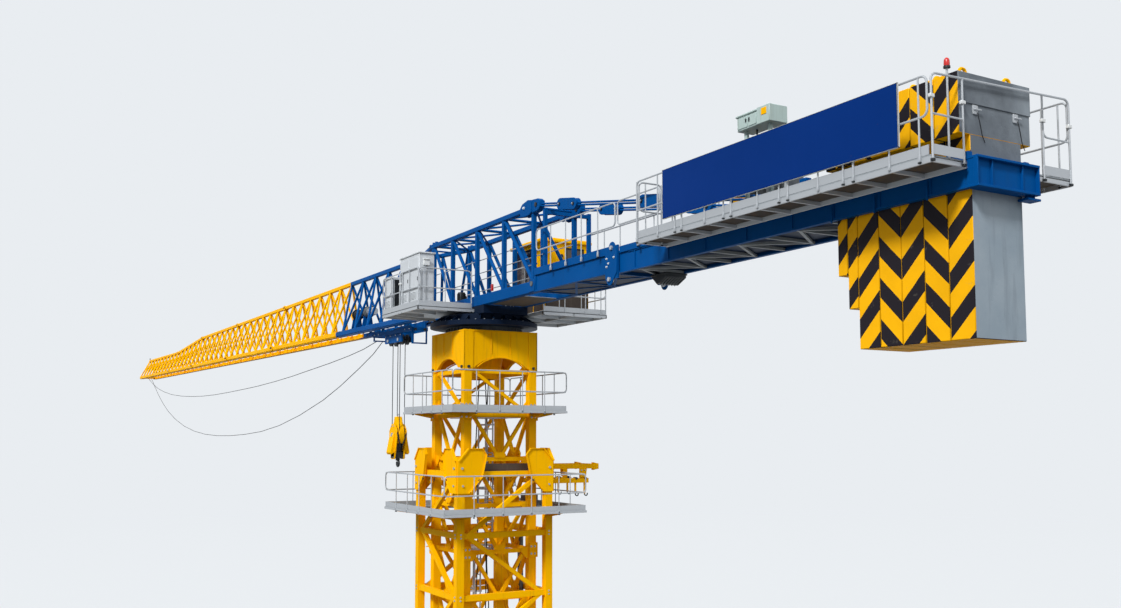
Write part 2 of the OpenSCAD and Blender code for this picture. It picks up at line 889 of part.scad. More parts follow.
// One truss of the head, drawn on the -Y side
module head_truss() {
    translate([-head_front, -head_half, top_z + girder_up])
        cube([head_front + head_rear, head_chord_w, head_chord_h]);
    translate([-head_front, -head_mid - head_top_w / 2, top_z + head_top_up - head_top_w / 2])
        cube([head_front + head_rear, head_top_w, head_top_w]);
    for (x = head_posts)
        translate([x - head_post_w / 2, -head_mid - head_post_w / 2, top_z + chord_top_up - eps])
            cube([head_post_w, head_post_w, head_top_up - chord_top_up]);
    for (i = [0 : 3])
        bar([head_posts[i], -head_mid, top_z + chord_top_up], [head_posts[i + 1], -head_mid, top_z + head_top_up],
            head_diag_w, head_diag_w);
    translate([head_rear - 24, -head_half, top_z + head_top_up - lug_h / 3])
        cube([24, head_half - head_mid + head_top_w / 2, lug_h]);
}

module head_near() {
    color("#0f4c8a")
        head_truss();
}

module head_far() {
    color("#0f4c8a")
        mirror([0, 1, 0])
            head_truss();
}

module head_bracing() {
    inner = head_mid - head_top_w / 2;
    color("#0f4c8a") {
        for (x = head_posts)
            translate([x - head_tie_w / 2, -inner, top_z + head_top_up - head_tie_w / 2])
                cube([head_tie_w, 2 * inner, head_tie_w]);
        for (i = [0 : 3], s = [-1, 1])
            bar([head_posts[i], s * (inner - 6), top_z + head_top_up],
                [head_posts[i + 1], -s * (inner - 6), top_z + head_top_up], head_tie_w - 1, head_tie_w - 1);
    }
}

// Cross beams of the head floor, kept with the girders
module head_girders() {
    z = top_z + girder_up;
    color("#0f4c8a") {
        for (s = [-1, 1]) {
            translate([head_rear, s * girder_mid - web_t / 2, z])
                cube([joint_x - head_rear, web_t, girder_h]);
            for (h = [0, girder_h - flange_t])
                translate([head_rear, s * girder_mid - flange_w / 2, z + h])
                    cube([joint_x - head_rear, flange_w, flange_t]);
            translate([head_rear, s * girder_mid - flange_w / 2, z])
                cube([8, flange_w, girder_h]);
            translate([head_rear + 40, s * girder_mid - 4, z + girder_h - eps])
                cube([8, 8, post_h]);
        }
        for (x = [head_rear, (head_rear + joint_x) / 2, joint_x - 8])
            translate([x, -girder_mid, z])
                cube([8, 2 * girder_mid, 10]);
        for (i = [0 : 1], s = [-1, 1])
            bar([head_rear + 4 + i * (joint_x - head_rear - 8) / 2, s * (girder_in - 4), z + 3],
                [head_rear + 4 + (i + 1) * (joint_x - head_rear - 8) / 2, -s * (girder_in - 4), z + 3], 5, 5);
        translate([head_rear + 40, -girder_mid, z + girder_h + post_h - 12])
            cube([8, 2 * girder_mid, 8]);
    }
}

module girder_rails() {
    y = -head_half - joint_plate_t - 2 - rail_d / 2;
    z = top_z + girder_up + 10;
    color("#c3c8cc") {
        rail_run(steps([head_rear + 35, y, z], [walk_front - 12, y, z], 7), girder_rail_up - 10, false);
        for (p = steps([head_rear + 35, y, z], [joint_x - 60, y, z], 4))
            translate([p.x - 5, y, z])
                cube([10, -web_face - y, 10]);
        for (x = [joint_x + 60, walk_front - 40])
            translate([x - 5, y, z + 2])
                cube([10, -web_face - y, 8]);
        rod([head_rear + 35, y, z + 4], [walk_front - 12, y, z + 4], rail_d);
    }
}

// Places a child drawn along -X from the root of the jib with z = 0 at the bottom chord centre
module jib_place() {
    translate([jib_x0, 0, top_z + chord_up])
        rotate([0, jib_rise, 0])
            children();
}

// Bottom chord with its rail plate on one side, from distance a to b
module bottom_chord(s, a, b) {
    translate([-b, s * chord_half - chord_w / 2, -chord_h / 2])
        cube([b - a, chord_w, chord_h]);
    translate([-b, (s > 0 ? chord_in - rail_in : -chord_in - chord_w), -chord_h / 2 - rail_t])
        cube([b - a, chord_w + rail_in, rail_t]);
}

// Web bars of one side over the bays from i0 to i1
module webs(s, i0, i1) {
    for (i = [i0 : i1 - 1]) {
        u = i * bay;
        m = u + bay / 2;
        v = u + bay;
        bar([-u, s * top_y(u), depth_at(u)], [-m, s * chord_half, 0], jib_web_w, jib_web_w);
        bar([-m, s * chord_half, 0], [-v, s * top_y(v), depth_at(v)], jib_web_w - 1, jib_web_w);
    }
}

module top_chord(a, b) {
    bar([-a, 0, depth_at(a)], [-b, 0, depth_at(b)], top_w, top_w);
}

// Everything behind the front plane of the head, taken away from the jib
module head_space() {
    translate([jib_x0, -200, top_z - 100])
        cube([400, 400, 600]);
}

// The half of the jib on one side of its middle plane, from distance a to b
module half_space(s, a, b) {
    translate([-b, s > 0 ? 0 : -100, -chord_h / 2])
        cube([b - a, 100, 400]);
}

module root_side(s) {
    bottom_chord(s, -6, u_root);
    intersection() {
        union() {
            webs(s, 0, root_bays);
            bar([6, s * (head_mid + 1.2), depth_at(0)], [-merge_u, 0, depth_at(merge_u)], top_w - 1, top_w - 1);
        }
        half_space(s, -20, u_root);
    }
}

module jib_root_near() {
    color("#0f4c8a")
        difference() {
            jib_place()
                union() {
                    root_side(-1);
                    top_chord(merge_u, u_root);
                }
            head_space();
        }
}

module jib_root_far() {
    color("#0f4c8a")
        difference() {
            jib_place()
                difference() {
                    root_side(1);
                    top_chord(merge_u, u_root + 2);
                }
            head_space();
        }
}

// Bottom bracing over the bays from i0 to i1
module bottom_bracing(i0, i1, first) {
    for (i = [i0 : i1]) {
        u = i * bay + (i == i0 ? first : i == i1 ? -bottom_bar / 2 : 0);
        translate([-u - bottom_bar / 2, -chord_in, bracing_low])
            cube([bottom_bar, 2 * chord_in, bottom_bar]);
    }
    for (i = [i0 : i1 - 1]) {
        s = i % 2 == 0 ? 1 : -1;
        bar([-i * bay - (i == i0 ? first : 0), s * (chord_in - 4), bracing_low + bottom_bar / 2],
            [-(i + 1) * bay + (i == i1 - 1 ? bottom_bar / 2 : 0), -s * (chord_in - 4),
             bracing_low + bottom_bar / 2], bottom_bar, bottom_bar - 1);
    }
}

module jib_root_bottom() {
    color("#0f4c8a")
        jib_place()
            bottom_bracing(0, root_bays, 8);
}

module jib_side(s) {
    bottom_chord(s, u_root, u_tip + tip_nose);
    intersection() {
        union() {
            webs(s, root_bays, bays_all);
            bar([-u_tip, 0, tip_depth], [-u_tip - tip_nose + 6, s * chord_half, 0], jib_web_w, jib_web_w);
        }
        half_space(s, u_root, u_tip + tip_nose);
    }
    for (i = [14, 21, 28, 34])
        if (i < bays_all && i > root_bays)
            translate([-i * bay - joint_lug_l / 2, s > 0 ? chord_half : -chord_half - chord_w / 2 - 3,
                       -chord_h / 2 - rail_t])
                cube([joint_lug_l, chord_w / 2 + 3, chord_h + rail_t + 3]);
}

// Top chord of the yellow jib over its full length, starting at distance a
module jib_tops(a) {
    breaks = [a, u_main, u_taper, u_tip + 6];
    translate([0, top_w / 2, 0])
        rotate([90, 0, 0])
            linear_extrude(top_w)
                polygon(concat([for (u = breaks) [-u, depth_at(u) + top_w / 2]],
                               [for (i = [3 : -1 : 0]) [-breaks[i], depth_at(breaks[i]) - top_w / 2]]));
    for (i = [14, 21, 28, 34])
        if (i < bays_all && i > root_bays)
            translate([-i * bay - joint_lug_l / 2, -joint_lug_w / 2, depth_at(i * bay) - joint_lug_w / 2])
                cube([joint_lug_l, joint_lug_w, joint_lug_w]);
}

module jib_near() {
    color("#f2b705")
        jib_place() {
            jib_side(-1);
            jib_tops(u_root);
        }
}

module jib_far() {
    color("#f2b705")
        jib_place()
            difference() {
                jib_side(1);
                jib_tops(u_root - 9);
            }
}

module jib_bottom() {
    color("#f2b705")
        jib_place() {
            bottom_bracing(root_bays, bays_all, bottom_bar / 2);
            translate([-u_tip, -fall_y - 6, -12])
                cube([bottom_bar, 2 * fall_y + 12, bracing_low + 12 + eps]);
        }
}

module trolley_winch() {
    seat = bracing_low + bottom_bar;
    color("#3a4148")
        jib_place()
            translate([-tw_u, 0, 0]) {
                translate([-tw_l / 2, -22, seat])
                    cube([tw_l, 44, 4]);
                for (x = [-tw_l / 2 + 10, tw_l / 2 - 22])
                    translate([x, -18, seat])
                        cube([12, 36, tw_up - seat]);
                translate([-tw_l / 2, 0, tw_up])
                    rotate([0, 90, 0])
                        cylinder(r = tw_r, h = tw_l);
            }
}

module near_platform() {
    z = top_z + near_up;
    e = near_half - rail_d / 2;
    xr = near_rear - rail_d / 2;
    xf = -near_front + rail_d / 2;
    color("#aeb4b9") {
        translate([-near_front, -near_half, z])
            cube([near_front + near_rear, near_half - head_half, floor_t]);
        rail_run(steps([xr, -head_half - 8, z + floor_t], [xr, -e, z + floor_t], 2), near_rail_h, true);
        rail_run(steps([xr, -e, z + floor_t], [xf, -e, z + floor_t], 4), near_rail_h, true);
        rail_run(steps([xf, -e, z + floor_t], [xf, -head_half - 8, z + floor_t], 2), near_rail_h, true);
        for (x = [-near_front + 30, -20, near_rear - 20])
            translate([x, -near_half + 4, z - 6])
                cube([8, near_half - 4 - turn_disc_r, 7]);
    }
}

module cabinets() {
    z = top_z + near_up + floor_t;
    y = -near_half + rail_d + 2;
    color("#c9ced2") {
        translate([near_rear - 8 - cabinet_l, y, z + 5])
            cube([cabinet_l, cabinet_d, cabinet_h - 5]);
        translate([near_rear - 11 - cabinet_l, y - 1, z + cabinet_h - 4])
            cube([cabinet_l + 5, cabinet_d + 4, 4]);
        for (x = [near_rear - 4 - cabinet_l, near_rear - 22])
            translate([x, y + 3, z])
                cube([10, cabinet_d - 6, 6]);
        translate([-near_front + 8, y, z])
            cube([small_l - 10, cabinet_d, small_h]);
    }
}

module far_platform() {
    z = top_z + cab_floor - floor_t;
    e = far_deck_half - rail_d / 2;
    xr = far_deck_rear - rail_d / 2;
    xf = cab_rear - cab_l - 38;
    color("#aeb4b9") {
        translate([xf, head_half, z])
            cube([deck_l / 2 - 4 - xf, far_deck_half - head_half, floor_t]);
        translate([deck_l / 2 - 5, turn_disc_r * 0.5, z])
            cube([far_deck_rear - deck_l / 2 + 5, far_deck_half - turn_disc_r * 0.5, floor_t]);
        rail_run(steps([xr, turn_disc_r * 0.5 + 4, z + floor_t], [xr, e, z + floor_t], 3), far_rail_h, true);
        rail_run(steps([xr, e, z + floor_t], [cab_rear - cab_l, e, z + floor_t], 4), far_rail_h, true);
    }
}

// The outside of the cab as a plain box
module cab_box(o) {
    translate([cab_rear - cab_l - o, cab_y - o, top_z + cab_floor - o])
        cube([cab_l + 2 * o, cab_w + 2 * o, cab_h + 2 * o]);
}

// Window openings of the cab, deep enough to pass the walls by d
module cab_windows(d) {
    z = top_z + cab_floor;
    x0 = cab_rear - cab_l;
    translate([x0 - d, cab_y + 12, z + 14])
        cube([cab_wall + 2 * d, cab_w - 24, cab_h - 34]);
    for (y = [cab_y, cab_y + cab_w - cab_wall])
        translate([x0 + 12, y - d, z + 60])
            cube([cab_l - 62, cab_wall + 2 * d, cab_h - 80]);
    translate([cab_rear - cab_wall - d, cab_y + 66, z + 90])
        cube([cab_wall + 2 * d, cab_w - 82, cab_h - 112]);
}

module cab_body() {
    color("#f4b800") {
        difference() {
            cab_box(0);
            translate([cab_rear - cab_l + cab_wall, cab_y + cab_wall, top_z + cab_floor + cab_wall])
                cube([cab_l - 2 * cab_wall, cab_w - 2 * cab_wall, cab_h - 2 * cab_wall]);
            cab_windows(1);
        }
        translate([cab_rear - cab_l - roof_over, cab_y - roof_over, top_z + cab_floor + cab_h - 5])
            cube([cab_l + 2 * roof_over, cab_w + 2 * roof_over, 5]);
    }
}

module cab_glass() {
    color("#3b2f2a")
        intersection() {
            cab_windows(0);
            difference() {
                cab_box(-(cab_wall - glass_t) / 2);
                cab_box(-(cab_wall + glass_t) / 2);
            }
        }
}

module counter_girders() {
    z = top_z + counter_up;
    rise_end = joint_x + 75;
    color("#0f4c8a") {
        for (s = [-1, 1]) {
            translate([0, s * girder_mid + web_t / 2, z])
                rotate([90, 0, 0])
                    linear_extrude(web_t)
                        polygon([[joint_x, 0], [counter_end, 0], [counter_end, counter_h], [rise_end, counter_h],
                                 [rise_end - 20, counter_h + joint_rise], [joint_x, counter_h + joint_rise]]);
            translate([joint_x, s * girder_mid - flange_w / 2, z])
                cube([counter_end - joint_x, flange_w, flange_t]);
            translate([rise_end - 20, s * girder_mid - flange_w / 2, z + counter_h - flange_t])
                cube([counter_end - rise_end + 20, flange_w, flange_t]);
            translate([joint_x, s * girder_mid - flange_w / 2, z + counter_h + joint_rise - flange_t])
                cube([rise_end - 20 - joint_x, flange_w, flange_t]);
            translate([joint_x, s * girder_mid - flange_w / 2, z])
                cube([8, flange_w, counter_h + joint_rise]);
            translate([far_front, s * girder_mid - flange_w / 2, z + counter_h - eps])
                cube([slab_rear - far_front + 4, flange_w, seat_h + eps]);
            translate([joint_x - joint_plate_l / 2, s > 0 ? head_half : -head_half - joint_plate_t, z - 10])
                cube([joint_plate_l, joint_plate_t, counter_h + 26]);
        }
        translate([end_beam_x, -head_half, z])
            cube([end_beam_w, 2 * head_half, counter_h]);
        translate([joint_x, -girder_mid, z])
            cube([8, 2 * girder_mid, counter_h]);
    }
}

module counter_bracing() {
    x0 = joint_x + 8;
    x1 = slab_rear - 5 * slab_pitch - 2 * short_pitch - 8;
    step = (x1 - x0) / counter_bays;
    z = top_z + counter_up;
    color("#5d6670") {
        for (i = [1 : counter_bays])
            translate([x0 + i * step - counter_bar, -girder_in, z])
                cube([counter_bar, 2 * girder_in, counter_bar]);
        for (i = [0 : counter_bays - 1]) {
            s = i % 2 == 0 ? 1 : -1;
            bar([x0 + i * step + (i == 0 ? 3 : -counter_bar / 2), s * (girder_in - 5), z + counter_bar / 2],
                [x0 + (i + 1) * step - counter_bar / 2, -s * (girder_in - 5), z + counter_bar / 2],
                counter_bar, counter_bar - 1);
        }
    }
}

module walkway() {
    z = top_z + walk_up;
    y = -walk_half - rail_d / 2 + 1;
    h = walk_rail_up - walk_up - floor_t;
    color("#aeb4b9") {
        translate([walk_front, -walk_half, z])
            cube([walk_rear - walk_front, walk_half - head_half, floor_t]);
        translate([walk_front, -head_half - eps, z])
            cube([end_beam_x - walk_front, head_half - web_face + eps, floor_t]);
        rail_run(steps([walk_front + 4, y, z + floor_t], [walk_rear - 3, y, z + floor_t], walk_bays), h, true);
        rail_run([[walk_front + 4, y, z + floor_t], [walk_front + 4, -head_half - 12, z + floor_t]], h, true);
        rail_run([[walk_rear - 3, y, z + floor_t], [walk_rear - 3, -head_half - 12, z + floor_t]], h, true);
        for (p = steps([walk_front + 4, 0, 0], [walk_rear - 3, 0, 0], walk_bays))
            translate([p.x - 3, -walk_half + 4, z - 8])
                cube([6, walk_half - (p.x + 3 < end_beam_x ? web_face : head_half) - 4, 9]);
    }
}

module far_rear_platform() {
    z = top_z + walk_up;
    y = far_half - rail_d / 2;
    h = walk_rail_up + 8 - walk_up - floor_t;
    color("#aeb4b9") {
        translate([far_front, head_half, z])
            cube([walk_rear - far_front, far_half - head_half, floor_t]);
        translate([far_front, web_face, z])
            cube([end_beam_x - far_front, head_half - web_face + eps, floor_t]);
        translate([walk_rear - eps, slab_top_half + 10, z])
            cube([far_rear - walk_rear + eps, far_half - slab_top_half - 10, floor_t]);
        rail_run(steps([far_front + 3, y, z + floor_t], [far_rear - 3, y, z + floor_t], 4), h, true);
        rail_run(steps([far_rear - 3, y, z + floor_t], [far_rear - 3, slab_top_half + 13, z + floor_t], 1), h, true);
        rail_run(steps([far_front + 3, y, z + floor_t], [far_front + 3, slab_top_half + 13, z + floor_t], 1), h, true);
    }
}

module sign_panel() {
    color("#0b2f7a")
        translate([sign_front, -walk_half - rail_d + 1 - sign_t, top_z + sign_up])
            cube([sign_rear - sign_front, sign_t, sign_h]);
}

module hoist_winch() {
    z = top_z + counter_top;
    cz = z + bed_t + drum_flange_r + 3;
    color("#f4b800") {
        for (s = [-1, 1])
            translate([drum_x - 60, s * girder_mid - flange_w / 2, z])
                cube([bed_l, flange_w, bed_t]);
        for (x = [drum_x - 60, drum_x + 40, drum_x - 60 + bed_l - 14])
            translate([x, -girder_mid, z])
                cube([14, 2 * girder_mid, bed_t]);
        translate([drum_x - 40, -40, z + bed_t - eps])
            cube([bed_l - 30, 80, 4]);
        for (s = [-1, 1])
            translate([drum_x - 20, s * 40 - 3, z + bed_t])
                cube([40, 6, drum_flange_r + 14]);
        translate([drum_x, -40, cz])
            rotate([-90, 0, 0])
                cylinder(r = drum_r, h = 80);
        for (y = [-36, 32])
            translate([drum_x, y, cz])
                rotate([-90, 0, 0])
                    cylinder(r = drum_flange_r, h = 4);
        translate([drum_x + 60, -36, z + bed_t])
            cube([50, 44, 60]);
        translate([drum_x + 109, -14, z + bed_t + 8 + motor_r])
            rotate([0, 90, 0])
                cylinder(r = motor_r, h = 60);
        translate([drum_x + 130, -24, z + bed_t])
            cube([30, 20, 20]);
    }
}

module control_box() {
    z = top_z + walk_up + floor_t;
    color("#c7d3cf") {
        translate([control_end - control_l, -head_half - 22, top_z + control_up])
            cube([control_l, 34, control_h]);
        for (x = [control_end - control_l + 8, control_end - 14])
            translate([x, -head_half - 14, z])
                cube([6, 6, control_up - walk_up - floor_t + 2]);
    }
}

// Height of a tie bar's middle at a distance x behind the axis
function tie_z(x) =
    let (a = top_z + head_top_up + 2, b = top_z + counter_top + 8, start = head_rear + 6)
        a + (b - a) * (x - start) / (tie_end - start);

module tie_bars() {
    zh = top_z + head_top_up;
    ze = top_z + counter_top;
    color("#0f4c8a")
        for (s = [-1, 1]) {
            translate([head_rear, s * head_mid - 5, zh - 6])
                cube([12, 10, 16]);
            bar([head_rear + 6, s * head_mid, zh + 2], [tie_end, s * girder_mid, ze + 8], tie_w, tie_w);
            translate([tie_end - 14, s * girder_mid - flange_w / 2, ze])
                cube([28, flange_w, 16]);
            bar([tie_joint_x, s * (head_mid + 1.5), tie_z(tie_joint_x)],
                [tie_joint_x + tie_joint_l, s * (head_mid + 1.5), tie_z(tie_joint_x + tie_joint_l)],
                2 * tie_w, tie_joint_h);
        }
}

module under_box() {
    color("#26282c")
        translate([joint_x + 30, 10, top_z + counter_up - 20])
            cube([under_box_l, girder_mid + 2 - 10, 20]);
}

// One slab with its rear face at x
module slab(x, t, down) {
    translate([x - t + slab_gap, -slab_low_half, top_z - down])
        cube([t - slab_gap, 2 * slab_low_half, down + seat_up + eps]);
    translate([x - t + slab_gap, -slab_top_half, top_z + seat_up])
        cube([t - slab_gap, 2 * slab_top_half, slab_top_up - seat_up]);
}

module counterweights() {
    x5 = slab_rear - slab_n * slab_pitch;
    color("#8a9097") {
        for (i = [0 : slab_n - 1])
            slab(slab_rear - i * slab_pitch, slab_pitch, slab_down);
        slab(x5, short_pitch, short_down_a);
        slab(x5 - short_pitch, short_pitch, short_down_b);
    }
}

module trolley_frame() {
    plate = 4;
    color("#0f4c8a")
        jib_place()
            translate([-trolley_u, 0, 0]) {
                for (s = [-1, 1]) {
                    translate([-trolley_half_l, s > 0 ? trolley_half - plate : -trolley_half, -frame_down])
                        cube([2 * trolley_half_l, plate, 12]);
                    for (x = [-1, 1])
                        translate([x * (trolley_half_l - 35) - 24, s > 0 ? trolley_half - plate : -trolley_half,
                                   -frame_down])
                            cube([48, plate, frame_down]);
                    translate([-70, s > 0 ? 2 * fall_y : -2 * fall_y - 4, -sheave_down - 8])
                        cube([140, 4, sheave_down + 8 - frame_down + 8]);
                }
                for (x = [-trolley_half_l, -70, 66, trolley_half_l - 4])
                    translate([x, -trolley_half + 1, -frame_down])
                        cube([4, 2 * trolley_half - 2, 10]);
                for (e = [[-trolley_half_l, foot_a_down], [trolley_half_l - 4, foot_b_down]]) {
                    for (s = [-1, 1])
                        translate([e[0], s * (trolley_half - 4) - 2, -e[1]])
                            cube([4, 4, e[1] - frame_down + 2]);
                    translate([e[0], -trolley_half + 4, -e[1]])
                        cube([4, 2 * trolley_half - 8, 4]);
                }
            }
}

// Grooved rope sheave round the Y axis with the rope centre line at radius r
module sheave(r) {
    low = r - rope_d / 2 - rope_gap;
    rotate([90, 0, 0])
        rotate_extrude()
            polygon([[0, -sheave_w / 2], [low + groove, -sheave_w / 2], [low + groove, -sheave_w / 2 + 0.5],
                     [low, -rope_d / 2 - 0.2], [low, rope_d / 2 + 0.2], [low + groove, sheave_w / 2 - 0.5],
                     [low + groove, sheave_w / 2], [0, sheave_w / 2]]);
}

module trolley_rollers() {
    line = sheave_r - groove + rope_d / 2 + rope_gap;
    w = -chord_h / 2 + roller_r + roller_play;
    color("#2c3238")
        jib_place()
            translate([-trolley_u, 0, 0]) {
                for (x = [-1, 1], d = [-15, 15], s = [-1, 1])
                    translate([x * (trolley_half_l - 35) + d, s > 0 ? trolley_half : -trolley_half, w])
                        rotate([s > 0 ? -90 : 90, 0, 0]) {
                            cylinder(r = 1.5, h = chord_in - trolley_half - 2);
                            translate([0, 0, chord_in - trolley_half - 2 - roller_w])
                                cylinder(r = roller_r, h = roller_w);
                        }
                for (x = [-1, 1]) {
                    translate([x * (rope_half + line), -2 * fall_y, -sheave_down])
                        rotate([-90, 0, 0])
                            cylinder(r = 4, h = 4 * fall_y);
                    for (s = [-1, 1])
                        translate([x * (rope_half + line), s * fall_y, -sheave_down])
                            sheave(line);
                }
            }
}

module hook_block() {
    color("#f4b800")
        translate([trolley_x, 0, block_z]) {
            for (s = [-1, 1]) {
                translate([0, s > 0 ? cheek_half : -cheek_half + cheek_t, 0])
                    rotate([90, 0, 0])
                        linear_extrude(cheek_t)
                            polygon([[-16, 56], [16, 56], [32, 16], [32, -16], [14, -72], [-14, -72],
                                     [-32, -16], [-32, 16]]);
                translate([0, s * fall_y, 0])
                    sheave(rope_half);
            }
            translate([0, cheek_half, 0])
                rotate([90, 0, 0])
                    cylinder(r = 5, h = 2 * cheek_half);
            translate([-4, -cheek_half, 46])
                cube([8, 2 * cheek_half, 8]);
            difference() {
                translate([-13, -cheek_half, -70])
                    cube([26, 2 * cheek_half, 20]);
                translate([0, 0, -72])
                    cylinder(r = shank_r + shank_clearance, h = 16);
            }
        }
}

module hook() {
    bowl_z = block_z - 72 - 14 - bowl_r / 2 + 6;
    color("#23262a") {
        translate([trolley_x, 0, bowl_z + bowl_r])
            cylinder(r = shank_r, h = block_z - 57 - bowl_z - bowl_r);
        translate([trolley_x, 0, block_z - 70.3 - 6])
            cylinder(r = shank_r + 2.5, h = 6);
        translate([trolley_x, 0, bowl_z])
            rotate([90, 0, 0])
                rotate([0, 0, 90])
                    rotate_extrude(angle = 290)
                        translate([bowl_r, 0])
                            circle(d = hook_d);
    }
}

module hoist_ropes() {
    color("#3a3d40")
        for (x = [-1, 1], s = [-1, 1])
            translate([trolley_x + x * rope_half, s * fall_y, block_z])
                cylinder(d = rope_d, h = trolley_z - block_z, $fn = 8);
}

// Route of the two slack ropes, distances from the slewing axis and heights above the support top
ROPE_A = [
    [-765.6, 40.7], [-772, 40.7], [-900, 24], [-1050, 12], [-1250, 0], [-1500, -12], [-1750, -24], [-2000, -33],
    [-2300, -41], [-2600, -45], [-2900, -48], [-3200, -49], [-3500, -46], [-3800, -38],
    [-4100, -26], [-4400, -8], [-4700, 20], [-4950, 52], [-5150, 90], [-5290, 122], [-5362, 139], [-5370.5, 139]
];
ROPE_B = [
    [-765.6, 40.7], [-772, 40.7], [-860, 6], [-1000, -34], [-1200, -86], [-1400, -130], [-1700, -180], [-2000, -218],
    [-2300, -242], [-2600, -254], [-2900, -260], [-3200, -260], [-3500, -252], [-3800, -234],
    [-4100, -204], [-4400, -158], [-4650, -106], [-4850, -52], [-5050, 14], [-5220, 80], [-5362, 139], [-5370.5, 139]
];

// Direction of a route at point i
function route_dir(r, i) =
    let (a = r[max(i - 1, 0)], b = r[min(i + 1, len(r) - 1)], d = b - a)
    d / norm(d);
function lift(p, y) = [p.x, y, top_z + p.y];
// Ring i of a tube that follows route r in the plane at y
function ring(r, y, i) =
    let (d = route_dir(r, i), c = lift(r[i], y))
    [for (k = [0 : 7]) c + rope_d / 2 * (cos(45 * k) * [0, 1, 0] + sin(45 * k) * [-d.y, 0, d.x])];

module rope(r, y) {
    n = len(r);
    points = [for (i = [0 : n - 1], p = ring(r, y, i)) p];
    faces = concat(
        [[for (k = [0 : 7]) 7 - k]],
        [for (i = [0 : n - 2], k = [0 : 7])
            [i * 8 + k, i * 8 + (k + 1) % 8, (i + 1) * 8 + (k + 1) % 8, (i + 1) * 8 + k]],
        [[for (k = [0 : 7]) (n - 1) * 8 + k]]
    );
    polyhedron(points, faces, convexity = 4);
}

module slack_ropes() {
    color("#3a3d40") {
        rope(ROPE_A, -10);
        rope(ROPE_B, 10);
    }
}

base_frame();
mast_legs();
mast_side_near();
mast_side_far();
mast_side_front();
mast_side_rear();
mast_ladders();
slewing_support();
bearing_ring();
upper_platform();
cage_posts();
cage_near();
cage_far();
cage_front();
cage_rear();
lower_platform();
loading_beams();
turntable();
slewing_drives();
head_near();
head_far();
head_bracing();
head_girders();
girder_rails();
jib_root_near();
jib_root_far();
jib_root_bottom();
jib_near();
jib_far();
jib_bottom();
trolley_winch();
near_platform();
cabinets();
far_platform();
cab_body();
cab_glass();
counter_girders();
counter_bracing();
walkway();
far_rear_platform();
sign_panel();
hoist_winch();
control_box();
tie_bars();
under_box();
counterweights();
trolley_frame();
trolley_rollers();
hook_block();
hook();
hoist_ropes();
slack_ropes();
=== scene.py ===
"""Finishes and fine detail of a 1:10 flat-top tower crane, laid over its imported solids."""
import sys
import logging
import math
from collections.abc import Sequence
from dataclasses import dataclass
from enum import Enum

import bmesh
import bpy
from mathutils import Matrix, Vector


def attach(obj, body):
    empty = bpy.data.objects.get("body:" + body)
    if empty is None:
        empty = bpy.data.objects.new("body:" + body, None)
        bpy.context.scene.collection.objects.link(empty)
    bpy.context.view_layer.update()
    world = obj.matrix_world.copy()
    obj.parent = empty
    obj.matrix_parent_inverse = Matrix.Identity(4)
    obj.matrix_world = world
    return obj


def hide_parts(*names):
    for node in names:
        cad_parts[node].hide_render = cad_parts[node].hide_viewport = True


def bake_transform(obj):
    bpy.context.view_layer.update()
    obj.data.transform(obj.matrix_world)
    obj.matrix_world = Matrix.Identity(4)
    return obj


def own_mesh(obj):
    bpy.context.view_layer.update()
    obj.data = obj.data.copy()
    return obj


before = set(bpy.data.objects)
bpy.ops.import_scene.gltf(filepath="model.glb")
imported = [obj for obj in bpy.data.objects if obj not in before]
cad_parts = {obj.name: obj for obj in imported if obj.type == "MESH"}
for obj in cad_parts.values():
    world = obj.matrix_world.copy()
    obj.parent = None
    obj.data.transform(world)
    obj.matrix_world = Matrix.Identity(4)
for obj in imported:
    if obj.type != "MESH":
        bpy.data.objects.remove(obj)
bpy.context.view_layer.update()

LOG = logging.getLogger("crane")
Point = tuple[float, float, float]
Flat = tuple[float, float]

# Height of the top of the slewing support, from which the heights of the upper works are counted
T = 2286.0
# One millimetre in metres
MM = 0.001


class Body(Enum):
    """The moving bodies of the crane."""

    MAST = "mast"
    UPPER = "upper"
    TROLLEY = "trolley"
    BLOCK = "block"
    SWIVEL = "hook_swivel"


class Axis(Enum):
    """The axis that a flat outline is pushed along."""

    X = 0
    Y = 1
    Z = 2


# Placing of everything that is drawn along the jib, with -X outward and z = 0 at the bottom chords
JIB = Matrix.Translation((-215.0, 0.0, T + 75.0)) @ Matrix.Rotation(math.radians(0.8), 4, "Y")
STILL = Matrix.Identity(4)


def linear(hex_colour: str) -> tuple[float, float, float, float]:
    """Turns a written colour into the renderer's own.

    Args:
        hex_colour: sRGB colour as six hex digits.

    Returns:
        Linear red, green, blue and an alpha of 1.
    """
    parts = [int(hex_colour[i:i + 2], 16) / 255 for i in (0, 2, 4)]
    flat = [c / 12.92 if c <= 0.04045 else ((c + 0.055) / 1.055) ** 2.4 for c in parts]
    return (flat[0], flat[1], flat[2], 1.0)


def per_mm(size: float) -> float:
    """Gives the texture scale at which one cell is this many millimetres."""
    return 1.0 / (size * MM)


def add_node(tree: bpy.types.NodeTree, kind: str, settings: dict,
             links: dict | None = None) -> bpy.types.Node:
    """Adds one shader node.

    Args:
        tree: The material's node tree.
        kind: Blender's name of the node.
        settings: Values by socket name or number, or by attribute name.
        links: Output sockets by the name or number of the input that they feed.

    Returns:
        The new node.
    """
    node = tree.nodes.new(kind)
    for key, value in settings.items():
        if isinstance(key, str) and hasattr(node, key):
            setattr(node, key, value)
        else:
            node.inputs[key].default_value = value
    for key, socket in (links or {}).items():
        tree.links.new(socket, node.inputs[key])
    return node


